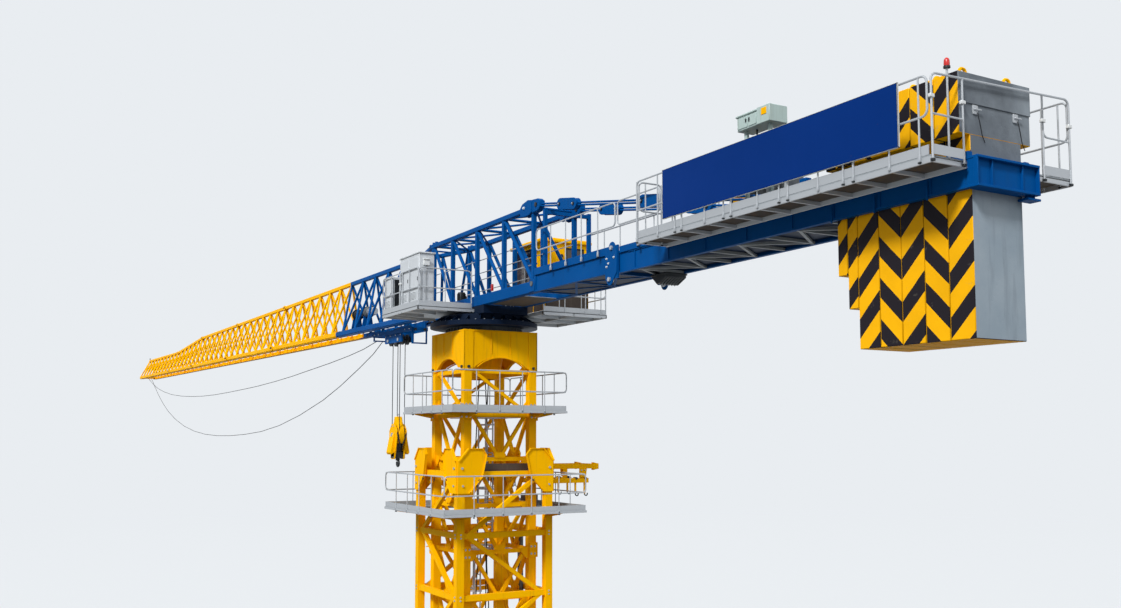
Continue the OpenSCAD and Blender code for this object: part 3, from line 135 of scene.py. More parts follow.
@dataclass(frozen=True)
class Finish:
    """A plain surface, which the finishes below add their pattern to."""

    name: str
    colour: str
    roughness: float = 0.5
    metallic: float = 0.0
    specular: float = 0.5

    def material(self) -> bpy.types.Material:
        """Gives the finish's material, made at its first use."""
        found = bpy.data.materials.get(self.name)
        if found is not None:
            return found
        made = bpy.data.materials.new(self.name)
        made.use_nodes = True
        tree = made.node_tree
        shader = tree.nodes["Principled BSDF"]
        shader.inputs["Base Color"].default_value = linear(self.colour)
        shader.inputs["Roughness"].default_value = self.roughness
        shader.inputs["Metallic"].default_value = self.metallic
        if not self.metallic:
            shader.inputs["Specular IOR Level"].default_value = self.specular
        made.diffuse_color = linear(self.colour)
        place = add_node(tree, "ShaderNodeTexCoord", {}).outputs["Object"]
        self.dress(tree, shader, place)
        return made

    def dress(self, tree: bpy.types.NodeTree, shader: bpy.types.Node, place: bpy.types.NodeSocket) -> None:
        """Adds the pattern of the finish, none here."""

    def shade(self, tree: bpy.types.NodeTree, amount: bpy.types.NodeSocket, colour: str, under: object,
              strength: float) -> bpy.types.NodeSocket:
        """Lays a second colour over the first where a pattern says.

        Args:
            tree: The material's node tree.
            amount: How much of the second colour shows, from 0 to 1.
            colour: The second colour.
            under: The first colour, a socket or a written colour.
            strength: The most that the second colour may show.

        Returns:
            The colour socket of both together.
        """
        scaled = add_node(tree, "ShaderNodeMath", {"operation": "MULTIPLY", 1: strength}, {0: amount})
        settings = {"data_type": "RGBA", 7: linear(colour)}
        links = {0: scaled.outputs[0]}
        if isinstance(under, str):
            settings[6] = linear(under)
        else:
            links[6] = under
        return add_node(tree, "ShaderNodeMix", settings, links).outputs[2]

    def relief(self, tree: bpy.types.NodeTree, shader: bpy.types.Node, height: bpy.types.NodeSocket,
               depth_mm: float, strength: float = 0.5) -> None:
        """Bumps the surface by a pattern of this depth."""
        bump = add_node(tree, "ShaderNodeBump", {"Strength": strength, "Distance": depth_mm * MM},
                        {"Height": height})
        tree.links.new(bump.outputs[0], shader.inputs["Normal"])


@dataclass(frozen=True)
class Enamel(Finish):
    """Machine enamel, sprayed over welded steel: a satin coat with orange peel, dust and rain streaks."""

    specular: float = 0.2
    deep: str = "C98F00"
    dust: str = "8A7B5C"
    grime: float = 0.5

    def dress(self, tree: bpy.types.NodeTree, shader: bpy.types.Node, place: bpy.types.NodeSocket) -> None:
        """Adds broad fading, rain streaks, small chips and the peel of the spray."""
        fade = add_node(tree, "ShaderNodeTexNoise", {"Scale": per_mm(140), "Detail": 4.0}, {"Vector": place})
        spread = add_node(tree, "ShaderNodeMapRange", {"From Min": 0.35, "From Max": 0.75},
                          {0: fade.outputs[0]})
        colour = self.shade(tree, spread.outputs[0], self.deep, self.colour, 0.35)
        stretch = add_node(tree, "ShaderNodeMapping", {"Scale": (1.0, 1.0, 0.07)}, {"Vector": place})
        streak = add_node(tree, "ShaderNodeTexNoise", {"Scale": per_mm(9), "Detail": 3.0},
                          {"Vector": stretch.outputs[0]})
        worn = add_node(tree, "ShaderNodeMapRange", {"From Min": 0.56, "From Max": 0.74},
                        {0: streak.outputs[0]})
        colour = self.shade(tree, worn.outputs[0], self.dust, colour, self.grime)
        chip = add_node(tree, "ShaderNodeTexNoise", {"Scale": per_mm(11), "Detail": 6.0, "Roughness": 0.75},
                        {"Vector": place})
        bare = add_node(tree, "ShaderNodeMapRange", {"From Min": 0.69, "From Max": 0.73},
                        {0: chip.outputs[0]})
        colour = self.shade(tree, bare.outputs[0], "4A3A2C", colour, 0.7)
        tree.links.new(colour, shader.inputs["Base Color"])
        rough = add_node(tree, "ShaderNodeMapRange", {"To Min": self.roughness - 0.07,
                                                      "To Max": self.roughness + 0.16},
                         {0: fade.outputs[0]})
        tree.links.new(rough.outputs[0], shader.inputs["Roughness"])
        # Peel of about 1 mm is drawn at 5 mm, the finest that shows
        peel = add_node(tree, "ShaderNodeTexNoise", {"Scale": per_mm(5), "Detail": 2.0}, {"Vector": place})
        self.relief(tree, shader, peel.outputs[0], 0.25)


@dataclass(frozen=True)
class Galvanised(Finish):
    """Hot-dip galvanised steel: pale zinc with faint crystal spangle and dull patches."""

    def dress(self, tree: bpy.types.NodeTree, shader: bpy.types.Node, place: bpy.types.NodeSocket) -> None:
        """Adds the spangle and the dull patches."""
        # Spangle of 1 to 2 mm at this scale is drawn at 6 mm, the finest that shows
        cell = add_node(tree, "ShaderNodeTexVoronoi", {"Scale": per_mm(6)}, {"Vector": place})
        grey = add_node(tree, "ShaderNodeRGBToBW", {}, {0: cell.outputs["Color"]})
        colour = self.shade(tree, grey.outputs[0], "8E969B", self.colour, 0.45)
        dull = add_node(tree, "ShaderNodeTexNoise", {"Scale": per_mm(60), "Detail": 5.0}, {"Vector": place})
        patch = add_node(tree, "ShaderNodeMapRange", {"From Min": 0.45, "From Max": 0.7},
                         {0: dull.outputs[0]})
        colour = self.shade(tree, patch.outputs[0], "7C8083", colour, 0.5)
        tree.links.new(colour, shader.inputs["Base Color"])
        rough = add_node(tree, "ShaderNodeMapRange", {"To Min": self.roughness - 0.1,
                                                      "To Max": self.roughness + 0.15},
                         {0: grey.outputs[0]})
        tree.links.new(rough.outputs[0], shader.inputs["Roughness"])
        self.relief(tree, shader, cell.outputs["Distance"], 0.12, 0.35)


@dataclass(frozen=True)
class Tread(Galvanised):
    """Galvanised tread plate: raised bars in a close pattern on zinc."""

    pitch: float = 9.0

    def dress(self, tree: bpy.types.NodeTree, shader: bpy.types.Node, place: bpy.types.NodeSocket) -> None:
        """Adds the raised bars over the zinc."""
        Galvanised.dress(self, tree, shader, place)
        brick = add_node(tree, "ShaderNodeTexBrick", {"Scale": per_mm(self.pitch), "Mortar Size": 0.28,
                                                      "Brick Width": 1.0, "Row Height": 0.5,
                                                      "Mortar Smooth": 0.3, "Color1": (1, 1, 1, 1),
                                                      "Color2": (0.9, 0.9, 0.9, 1), "Mortar": (0, 0, 0, 1)},
                         {"Vector": place})
        self.relief(tree, shader, brick.outputs["Color"], 0.8, 0.8)


@dataclass(frozen=True)
class Machinery(Finish):
    """Dark painted castings and oiled steel of drives, drums and hooks."""

    def dress(self, tree: bpy.types.NodeTree, shader: bpy.types.Node, place: bpy.types.NodeSocket) -> None:
        """Adds oil stains and the sand grain of a casting."""
        stain = add_node(tree, "ShaderNodeTexNoise", {"Scale": per_mm(18), "Detail": 5.0}, {"Vector": place})
        dark = add_node(tree, "ShaderNodeMapRange", {"From Min": 0.4, "From Max": 0.7}, {0: stain.outputs[0]})
        colour = self.shade(tree, dark.outputs[0], "17191B", self.colour, 0.6)
        tree.links.new(colour, shader.inputs["Base Color"])
        rough = add_node(tree, "ShaderNodeMapRange", {"To Min": self.roughness - 0.12,
                                                      "To Max": self.roughness + 0.2},
                         {0: stain.outputs[0]})
        tree.links.new(rough.outputs[0], shader.inputs["Roughness"])
        grain = add_node(tree, "ShaderNodeTexNoise", {"Scale": per_mm(3), "Detail": 3.0}, {"Vector": place})
        self.relief(tree, shader, grain.outputs[0], 0.3)


@dataclass(frozen=True)
class Concrete(Finish):
    """Cast concrete with pores, cement bloom and damp marks."""

    def pores(self, tree: bpy.types.NodeTree, shader: bpy.types.Node, place: bpy.types.NodeSocket) -> None:
        """Bumps the surface by air pores."""
        pore = add_node(tree, "ShaderNodeTexVoronoi", {"Scale": per_mm(7)}, {"Vector": place})
        hole = add_node(tree, "ShaderNodeMapRange", {"From Min": 0.0, "From Max": 0.2},
                        {0: pore.outputs["Distance"]})
        self.relief(tree, shader, hole.outputs[0], 0.5, 0.5)

    def dress(self, tree: bpy.types.NodeTree, shader: bpy.types.Node, place: bpy.types.NodeSocket) -> None:
        """Adds bloom, damp marks and pores."""
        bloom = add_node(tree, "ShaderNodeTexNoise", {"Scale": per_mm(90), "Detail": 8.0, "Roughness": 0.6},
                         {"Vector": place})
        pale = add_node(tree, "ShaderNodeMapRange", {"From Min": 0.4, "From Max": 0.7}, {0: bloom.outputs[0]})
        colour = self.shade(tree, pale.outputs[0], "A9B3BB", self.colour, 0.5)
        stretch = add_node(tree, "ShaderNodeMapping", {"Scale": (1.0, 1.0, 0.12)}, {"Vector": place})
        damp = add_node(tree, "ShaderNodeTexNoise", {"Scale": per_mm(14), "Detail": 4.0},
                        {"Vector": stretch.outputs[0]})
        run = add_node(tree, "ShaderNodeMapRange", {"From Min": 0.52, "From Max": 0.75}, {0: damp.outputs[0]})
        colour = self.shade(tree, run.outputs[0], "6A747C", colour, 0.5)
        tree.links.new(colour, shader.inputs["Base Color"])
        self.pores(tree, shader, place)


@dataclass(frozen=True)
class HazardPaint(Concrete):
    """Black warning bands at 45 degrees, rolled over yellow on concrete, a little uneven at their edges."""

    black: str = "1E1A20"
    period: float = 59.0
    share: float = 0.48
    lean: float = 1.0
    start: float = 0.0

    def dress(self, tree: bpy.types.NodeTree, shader: bpy.types.Node, place: bpy.types.NodeSocket) -> None:
        """Adds the bands, scuffs and pores."""
        axes = add_node(tree, "ShaderNodeSeparateXYZ", {}, {0: place})
        slope = add_node(tree, "ShaderNodeMath", {"operation": "MULTIPLY", 1: -self.lean},
                         {0: axes.outputs[0]})
        line = add_node(tree, "ShaderNodeMath", {"operation": "ADD"},
                        {0: axes.outputs[2], 1: slope.outputs[0]})
        wave = add_node(tree, "ShaderNodeTexNoise", {"Scale": per_mm(30), "Detail": 3.0}, {"Vector": place})
        offset = (self.start - 0.8) * MM
        edge = add_node(tree, "ShaderNodeMath", {"operation": "MULTIPLY_ADD", 1: 1.6 * MM, 2: offset},
                        {0: wave.outputs[0]})
        moved = add_node(tree, "ShaderNodeMath", {"operation": "ADD"},
                         {0: line.outputs[0], 1: edge.outputs[0]})
        turns = add_node(tree, "ShaderNodeMath", {"operation": "DIVIDE", 1: self.period * MM},
                         {0: moved.outputs[0]})
        part = add_node(tree, "ShaderNodeMath", {"operation": "FRACT"}, {0: turns.outputs[0]})
        band = add_node(tree, "ShaderNodeMath", {"operation": "LESS_THAN", 1: self.share},
                        {0: part.outputs[0]})
        fade = add_node(tree, "ShaderNodeTexNoise", {"Scale": per_mm(70), "Detail": 5.0}, {"Vector": place})
        worn = add_node(tree, "ShaderNodeMapRange", {"From Min": 0.45, "From Max": 0.75},
                        {0: fade.outputs[0]})
        under = self.shade(tree, worn.outputs[0], "E0A300", self.colour, 0.5)
        colour = self.shade(tree, band.outputs[0], self.black, under, 1.0)
        scuff = add_node(tree, "ShaderNodeTexNoise", {"Scale": per_mm(16), "Detail": 7.0, "Roughness": 0.7},
                         {"Vector": place})
        rubbed = add_node(tree, "ShaderNodeMapRange", {"From Min": 0.62, "From Max": 0.8},
                          {0: scuff.outputs[0]})
        colour = self.shade(tree, rubbed.outputs[0], "8D8878", colour, 0.6)
        tree.links.new(colour, shader.inputs["Base Color"])
        self.pores(tree, shader, place)


@dataclass(frozen=True)
class Glass(Finish):
    """Tinted cab glazing: a dark brown smooth pane that mirrors the sky."""

    def dress(self, tree: bpy.types.NodeTree, shader: bpy.types.Node, place: bpy.types.NodeSocket) -> None:
        """Adds a faint film of dust."""
        shader.inputs["IOR"].default_value = 1.5
        shader.inputs["Coat Weight"].default_value = 0.4
        shader.inputs["Coat Roughness"].default_value = 0.05
        film = add_node(tree, "ShaderNodeTexNoise", {"Scale": per_mm(40), "Detail": 5.0}, {"Vector": place})
        rough = add_node(tree, "ShaderNodeMapRange", {"From Min": 0.3, "From Max": 0.8, "To Min": 0.04,
                                                      "To Max": 0.22}, {0: film.outputs[0]})
        tree.links.new(rough.outputs[0], shader.inputs["Roughness"])
        dust = self.shade(tree, film.outputs[0], "6E6258", self.colour, 0.3)
        tree.links.new(dust, shader.inputs["Base Color"])


@dataclass(frozen=True)
class WireRope(Finish):
    """Greased steel wire rope: dark, with the slanting strands of its lay."""

    def dress(self, tree: bpy.types.NodeTree, shader: bpy.types.Node, place: bpy.types.NodeSocket) -> None:
        """Adds the strands, drawn 3 mm apart so that they show."""
        lay = add_node(tree, "ShaderNodeTexWave",
                       {"wave_type": "BANDS", "bands_direction": "DIAGONAL", "Scale": per_mm(3) / 20},
                       {"Vector": place})
        colour = self.shade(tree, lay.outputs[1], "3A3D40", self.colour, 0.5)
        tree.links.new(colour, shader.inputs["Base Color"])
        self.relief(tree, shader, lay.outputs[1], 0.3)


YELLOW = Enamel("yellow_enamel", "FFBE00", 0.50, specular=0.03, deep="F09E00", dust="9A7428", grime=0.26)
BLUE = Enamel("blue_enamel", "004F93", 0.50, specular=0.04, deep="003C77", dust="1B4468", grime=0.20)
NAVY = Enamel("navy_enamel", "06182F", 0.50, specular=0.1, deep="050F20", dust="1C242E", grime=0.30)
SIGN_BLUE = Enamel("sign_sheet_enamel", "002F78", 0.45, specular=0.05, deep="002764", dust="0A3580",
                   grime=0.10)
PALE_GREY = Enamel("pale_grey_enamel", "C9CED2", 0.48, deep="B4BABF", dust="8B8579", grime=0.30)
GREY_GREEN = Enamel("grey_green_enamel", "B4C6C2", 0.48, deep="9FB2AD", dust="7F8378", grime=0.30)
BROWN_PANEL = Enamel("brown_sheet_enamel", "4A4039", 0.35, deep="3A322D", dust="6C6259", grime=0.20)
WHITE = Enamel("white_enamel", "DADDDD", 0.45, deep="D4D8D8", dust="A7A399", grime=0.25)
ZINC = Galvanised("galvanised_steel", "B4BABE", 0.50, 0.55)
TREAD = Tread("galvanised_tread_plate", "A5ABAF", 0.55, 0.5)
# Plate under the tread floors: its dark base colour is painted shade under the floors, and its streaks are grime
UNDERSIDE_SHADE_AND_GRIME = Enamel("plate_underside_painted_shade_and_grime", "5A5550", 0.75, deep="3E3A36", dust="7B5F45", grime=0.55)
DARK = Machinery("oiled_dark_steel", "2E3235", 0.45, 0.6)
BRONZE_GREY = Machinery("cast_iron_grey", "6A6E70", 0.5, 0.5)
RED = Finish("red_signal_plastic", "C8201C", 0.3)
GLASS = Glass("brown_tinted_glass", "33261F", 0.08)
SLAB = Concrete("cast_concrete", "8D9BA6", 0.85, specular=0.15)
DARK_SLAB = Concrete("dark_cast_concrete", "686F76", 0.85, specular=0.15)
ROPE = WireRope("greased_wire_rope", "202224", 0.7, specular=0.2)
# A darker copy of the zinc for the counter-jib bracing, which sits in shade: painted shade
SHADED_ZINC = Galvanised("painted_shade_galvanised_steel", "84898C", 0.6, 0.3)
RUBBER = Machinery("black_rubber_cable", "1B1C1E", 0.7, specular=0.25)

# Finish of the imported solids that show as they are, by node name
SOLIDS: dict[str, Finish] = {
    "base_frame": PALE_GREY, "mast_legs": YELLOW, "mast_side_near": YELLOW, "mast_side_far": YELLOW,
    "mast_side_front": YELLOW, "mast_side_rear": YELLOW, "mast_ladders": ZINC, "slewing_support": YELLOW,
    "bearing_ring": DARK, "cage_posts": YELLOW, "cage_near": YELLOW, "cage_far": YELLOW, "cage_front": YELLOW,
    "cage_rear": YELLOW, "loading_beams": YELLOW, "turntable": NAVY, "slewing_drives": NAVY,
    "head_near": BLUE, "head_far": BLUE, "head_bracing": BLUE, "head_girders": BLUE, "jib_root_near": BLUE,
    "jib_root_far": BLUE, "jib_root_bottom": BLUE, "jib_near": YELLOW, "jib_far": YELLOW, "jib_bottom": YELLOW,
    "trolley_winch": DARK, "cabinets": PALE_GREY, "cab_body": YELLOW, "cab_glass": GLASS,
    # The counter-jib bracing takes the darkened zinc: painted shade
    "counter_girders": BLUE, "counter_bracing": SHADED_ZINC, "sign_panel": SIGN_BLUE, "hoist_winch": YELLOW,
    "control_box": GREY_GREEN, "tie_bars": BLUE, "under_box": DARK, "counterweights": SLAB,
    "trolley_frame": BLUE, "trolley_rollers": DARK, "hook_block": YELLOW, "hook": DARK, "hoist_ropes": ROPE,
    "slack_ropes": ROPE, "upper_platform": ZINC, "lower_platform": ZINC, "girder_rails": ZINC,
    "near_platform": ZINC, "far_platform": ZINC, "walkway": ZINC, "far_rear_platform": ZINC,
}


def direction(a: Vector, b: Vector) -> Matrix:
    """Gives the turn that lays Z along a line, X in its upright plane and Y level.

    Args:
        a: Start of the line.
        b: End of the line.

    Returns:
        The turn as a 4 by 4 matrix, without the move.
    """
    along = (b - a).normalized()
    level = Vector((-along.y, along.x, 0.0))
    level = level.normalized() if level.length > 1e-6 else Vector((0.0, 1.0, 0.0))
    across = level.cross(along)
    return Matrix((across, level, along)).transposed().to_4x4()


def steps(a: Point, b: Point, count: int) -> list[Vector]:
    """Gives the points that part a line into equal lengths.

    Args:
        a: Start of the line.
        b: End of the line.
        count: Number of lengths.

    Returns:
        The points, both ends among them.
    """
    return [Vector(a).lerp(Vector(b), i / count) for i in range(count + 1)]


def arc(centre: Flat, radius: float, start: float, end: float, count: int = 6) -> list[Flat]:
    """Gives points on an arc of a flat outline.

    Args:
        centre: Middle of the arc.
        radius: Its radius in millimetres.
        start: First angle in degrees.
        end: Last angle in degrees.
        count: Number of steps.

    Returns:
        The points from the first angle to the last.
    """
    turns = [math.radians(start + (end - start) * i / count) for i in range(count + 1)]
    return [(centre[0] + radius * math.cos(t), centre[1] + radius * math.sin(t)) for t in turns]


class Shape:
    """A piece under construction, in millimetres of the part's own frame."""

    def __init__(self, name: str, finish: Finish, place: Matrix = STILL) -> None:
        """Starts an empty piece.

        Args:
            name: Name of the piece.
            finish: Finish of what is added first.
            place: Move and turn from the piece's drawing to the part's frame.
        """
        self.name = name
        self.place = place
        self.bm = bmesh.new()
        self.scratch = bpy.data.meshes.new("scratch")
        self.finishes: list[Finish] = []
        self.current = 0
        self.use(finish)

    def use(self, finish: Finish) -> "Shape":
        """Sets the finish of what is added next and gives the piece back."""
        if finish not in self.finishes:
            self.finishes.append(finish)
        self.current = self.finishes.index(finish)
        return self

    def take(self, part: bmesh.types.BMesh, keep_index: bool = False) -> None:
        """Adds a small mesh to the piece and frees it.

        Args:
            part: The small mesh.
            keep_index: Whether its faces have their finishes already.
        """
        if not keep_index:
            for face in part.faces:
                face.material_index = self.current
        part.to_mesh(self.scratch)
        self.bm.from_mesh(self.scratch)
        part.free()

    def box(self, low: Point, high: Point, bevel: float = 0.0) -> None:
        """Adds a box between two corners, with its edges broken by a bevel."""
        part = bmesh.new()
        middle = (Vector(low) + Vector(high)) / 2
        size = Vector(high) - Vector(low)
        bmesh.ops.create_cube(part, size=1.0, matrix=Matrix.Translation(middle) @ Matrix.Diagonal((*size,
                                                                                                   1.0)))
        self.soften(part, bevel)
        self.take(part)

    def soften(self, part: bmesh.types.BMesh, bevel: float, edges: Sequence | None = None) -> None:
        """Breaks edges of a small mesh.

        Args:
            part: The small mesh.
            bevel: Width of the bevel, none where it is 0.
            edges: The edges, all where it is left out.
        """
        if bevel > 0:
            bmesh.ops.bevel(part, geom=list(edges or part.edges), offset=bevel, offset_type="OFFSET",
                            segments=1, profile=0.5, affect="EDGES", material=-1)

    def bar(self, a: Point, b: Point, width: float, height: float, bevel: float = 0.0) -> None:
        """Adds a rectangular bar between two points, width level and height in its upright plane."""
        start, end = Vector(a), Vector(b)
        length = (end - start).length
        part = bmesh.new()
        bmesh.ops.create_cube(part, size=1.0, matrix=Matrix.Diagonal((height, width, length, 1.0)))
        long_edges = [e for e in part.edges if abs(e.verts[0].co.z - e.verts[1].co.z) > length / 2]
        self.soften(part, bevel, long_edges)
        part.transform(Matrix.Translation((start + end) / 2) @ direction(start, end))
        self.take(part)

    def tube(self, a: Point, b: Point, radius: float, sides: int = 8,
             far_radius: float | None = None) -> None:
        """Adds a round bar between two points, a cone where the far radius differs."""
        start, end = Vector(a), Vector(b)
        part = bmesh.new()
        bmesh.ops.create_cone(part, cap_ends=True, segments=sides, radius1=radius,
                              radius2=radius if far_radius is None else far_radius,
                              depth=(end - start).length, matrix=Matrix.Translation((start
                                                                                     + end) / 2) @ direction(start,
                                                                                                             end))
        self.take(part)

    def plate(self, outline: Sequence[Flat], axis: Axis, low: float, high: float, bevel: float = 0.0,
              turn: Matrix = STILL) -> None:
        """Adds a flat plate.

        Args:
            outline: Corners in the plane of the plate, the two axes other than its own in order.
            axis: Axis across the plate.
            low: One face of the plate on that axis.
            high: The other face.
            bevel: Width of the bevel round both faces.
            turn: Turn about the piece's origin after drawing.
        """
        part = bmesh.new()
        corners = []
        for u, v in outline:
            place = [u, v]
            place.insert(axis.value, low)
            corners.append(part.verts.new(place))
        face = part.faces.new(corners)
        moved = bmesh.ops.extrude_face_region(part, geom=[face])["geom"]
        push = Vector((0.0, 0.0, 0.0))
        push[axis.value] = high - low
        bmesh.ops.translate(part, vec=push, verts=[g for g in moved if isinstance(g, bmesh.types.BMVert)])
        bmesh.ops.recalc_face_normals(part, faces=part.faces[:])
        flat = [e for e in part.edges if abs(e.verts[0].co[axis.value] - e.verts[1].co[axis.value]) < 1e-6]
        self.soften(part, bevel, flat)
        part.transform(turn)
        self.take(part)

    def pipe(self, points: Sequence[Point], radius: float, bend: float, sides: int = 8) -> None:
        """Adds a bent tube along straight legs.

        Args:
            points: Corners of its centre line, both ends among them.
            radius: Radius of the tube.
            bend: Radius of the centre line in each bend.
            sides: Sides of its section.
        """
        line = [Vector(p) for p in points]
        part = bmesh.new()
        ahead = (line[1] - line[0]).normalized()
        here = line[0]
        turn = Matrix.Translation(here) @ direction(line[0], line[1])
        ring = bmesh.ops.create_circle(part, cap_ends=True, segments=sides, radius=radius,
                                       matrix=turn)["verts"]
        edges = [e for e in part.edges if e.verts[0] in ring]
        for i in range(1, len(line)):
            last = i == len(line) - 1
            after = ahead if last else (line[i + 1] - line[i]).normalized()
            angle = 0.0 if last else ahead.angle(after)
            cut = bend * math.tan(angle / 2)
            stop = line[i] - ahead * cut
            moved = bmesh.ops.extrude_edge_only(part, edges=edges)["geom"]
            verts = [g for g in moved if isinstance(g, bmesh.types.BMVert)]
            bmesh.ops.translate(part, vec=stop - here, verts=verts)
            edges = [g for g in moved if isinstance(g, bmesh.types.BMEdge)
                     and all(v in verts for v in g.verts)]
            here = stop
            if angle > 1e-3:
                inward = (after - ahead * ahead.dot(after)).normalized()
                swung = bmesh.ops.spin(part, geom=edges + verts, cent=stop + inward * bend,
                                       axis=ahead.cross(inward), dvec=(0, 0, 0), angle=angle,
                                       steps=max(2, round(math.degrees(angle) / 22)))
                edges = [g for g in swung["geom_last"] if isinstance(g, bmesh.types.BMEdge)]
                here = line[i] + after * cut
                ahead = after
        bmesh.ops.edgeloop_fill(part, edges=edges)
        bmesh.ops.recalc_face_normals(part, faces=part.faces[:])
        self.take(part)

    def lathe(self, profile: Sequence[Flat], a: Point, b: Point, count: int = 20) -> None:
        """Adds a turned piece.

        Args:
            profile: Radius and distance along the axis, from one pole or rim to the other.
            a: Where the distance is 0.
            b: A point further along the axis.
            count: Sides of the turning.
        """
        part = bmesh.new()
        verts = [part.verts.new((r, 0.0, h)) for r, h in profile]
        edges = [part.edges.new(pair) for pair in zip(verts, verts[1:])]
        bmesh.ops.spin(part, geom=verts + edges, cent=(0, 0, 0), axis=(0, 0, 1), dvec=(0, 0, 0),
                       angle=math.tau, steps=count, use_merge=True)
        bmesh.ops.remove_doubles(part, verts=part.verts[:], dist=1e-4)
        rims = [e for e in part.edges if len(e.link_faces) == 1]
        if rims:
            bmesh.ops.holes_fill(part, edges=rims, sides=0)
        bmesh.ops.recalc_face_normals(part, faces=part.faces[:])
        part.transform(Matrix.Translation(a) @ direction(Vector(a), Vector(b)))
        self.take(part)

    def bolts(self, places: Sequence[Point], out: Point, size: float = 3.0, height: float = 2.0) -> None:
        """Adds hexagon heads on washers, each at a place on a face that looks along out."""
        aim = Vector(out).normalized()
        for place in places:
            foot = Vector(place)
            self.tube(foot, foot + aim * height * 0.3, size * 0.8, 10)
            self.tube(foot + aim * height * 0.3, foot + aim * height, size * 0.58, 6)

    def made(self, sharp: float = 40.0) -> bpy.types.Object:
        """Turns the piece into an object at the origin, its place in its mesh.

        Args:
            sharp: Angle in degrees past which an edge stays sharp.

        Returns:
            The object, which rides on nothing yet.
        """
        self.bm.transform(Matrix.Scale(MM, 4) @ self.place)
        mesh = bpy.data.meshes.new(self.name)
        self.bm.to_mesh(mesh)
        self.bm.free()
        bpy.data.meshes.remove(self.scratch)
        mesh.shade_smooth()
        mesh.set_sharp_from_angle(angle=math.radians(sharp))
        for finish in self.finishes:
            mesh.materials.append(finish.material())
        made = bpy.data.objects.new(self.name, mesh)
        bpy.context.scene.collection.objects.link(made)
        return made

    def finish(self, body: Body, slot: str, replaces: Sequence[str] = ()) -> bpy.types.Object:
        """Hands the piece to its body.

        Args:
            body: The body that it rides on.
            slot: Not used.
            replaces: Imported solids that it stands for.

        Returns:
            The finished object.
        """
        made = self.made()
        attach(made, body.value)
        if replaces:
            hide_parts(*replaces)
        LOG.info("%s: %d faces on %s", self.name, len(made.data.polygons), body.value)
        return made

    def finish_between(self, upper: Body, lower: Body,
                       replaces: Sequence[str]) -> bpy.types.Object:
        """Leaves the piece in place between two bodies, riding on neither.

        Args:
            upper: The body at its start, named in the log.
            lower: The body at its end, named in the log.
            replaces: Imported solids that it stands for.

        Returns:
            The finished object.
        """
        made = self.made()
        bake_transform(made)
        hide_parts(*replaces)
        LOG.info("%s: %d faces between %s and %s", self.name, len(made.data.polygons), upper.value,
                 lower.value)
        return made


def carried_over(nodes: dict[str, Finish]) -> None:
    """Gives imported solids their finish.

    Args:
        nodes: Finish of each solid by its node's name.
    """
    for name, finish in nodes.items():
        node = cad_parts[name]
        node.data.materials.clear()
        node.data.materials.append(finish.material())
        LOG.info("%s: packed solid in %s", name, finish.name)


@dataclass
class Camera:
    """The view of the photograph, in metres of the model."""

    place: Point = (2.4684, -1.1834, 2.023)
    heading: float = 29.757
    pitch: float = 4.546
    lens: float = 34.10
    lift: float = 0.0427

    def build(self) -> None:
        """Places the camera and makes it the scene's own."""
        data = bpy.data.cameras.new("view")
        data.sensor_fit = "HORIZONTAL"
        data.sensor_width = 36.0
        data.lens = self.lens
        data.shift_y = self.lift
        data.clip_end = 500.0
        camera = bpy.data.objects.new("view", data)
        camera.location = self.place
        turn = math.radians(90.0 - self.heading)
        camera.rotation_euler = (math.radians(90.0 + self.pitch), 0.0, turn)
        bpy.context.scene.collection.objects.link(camera)
        bpy.context.scene.camera = camera


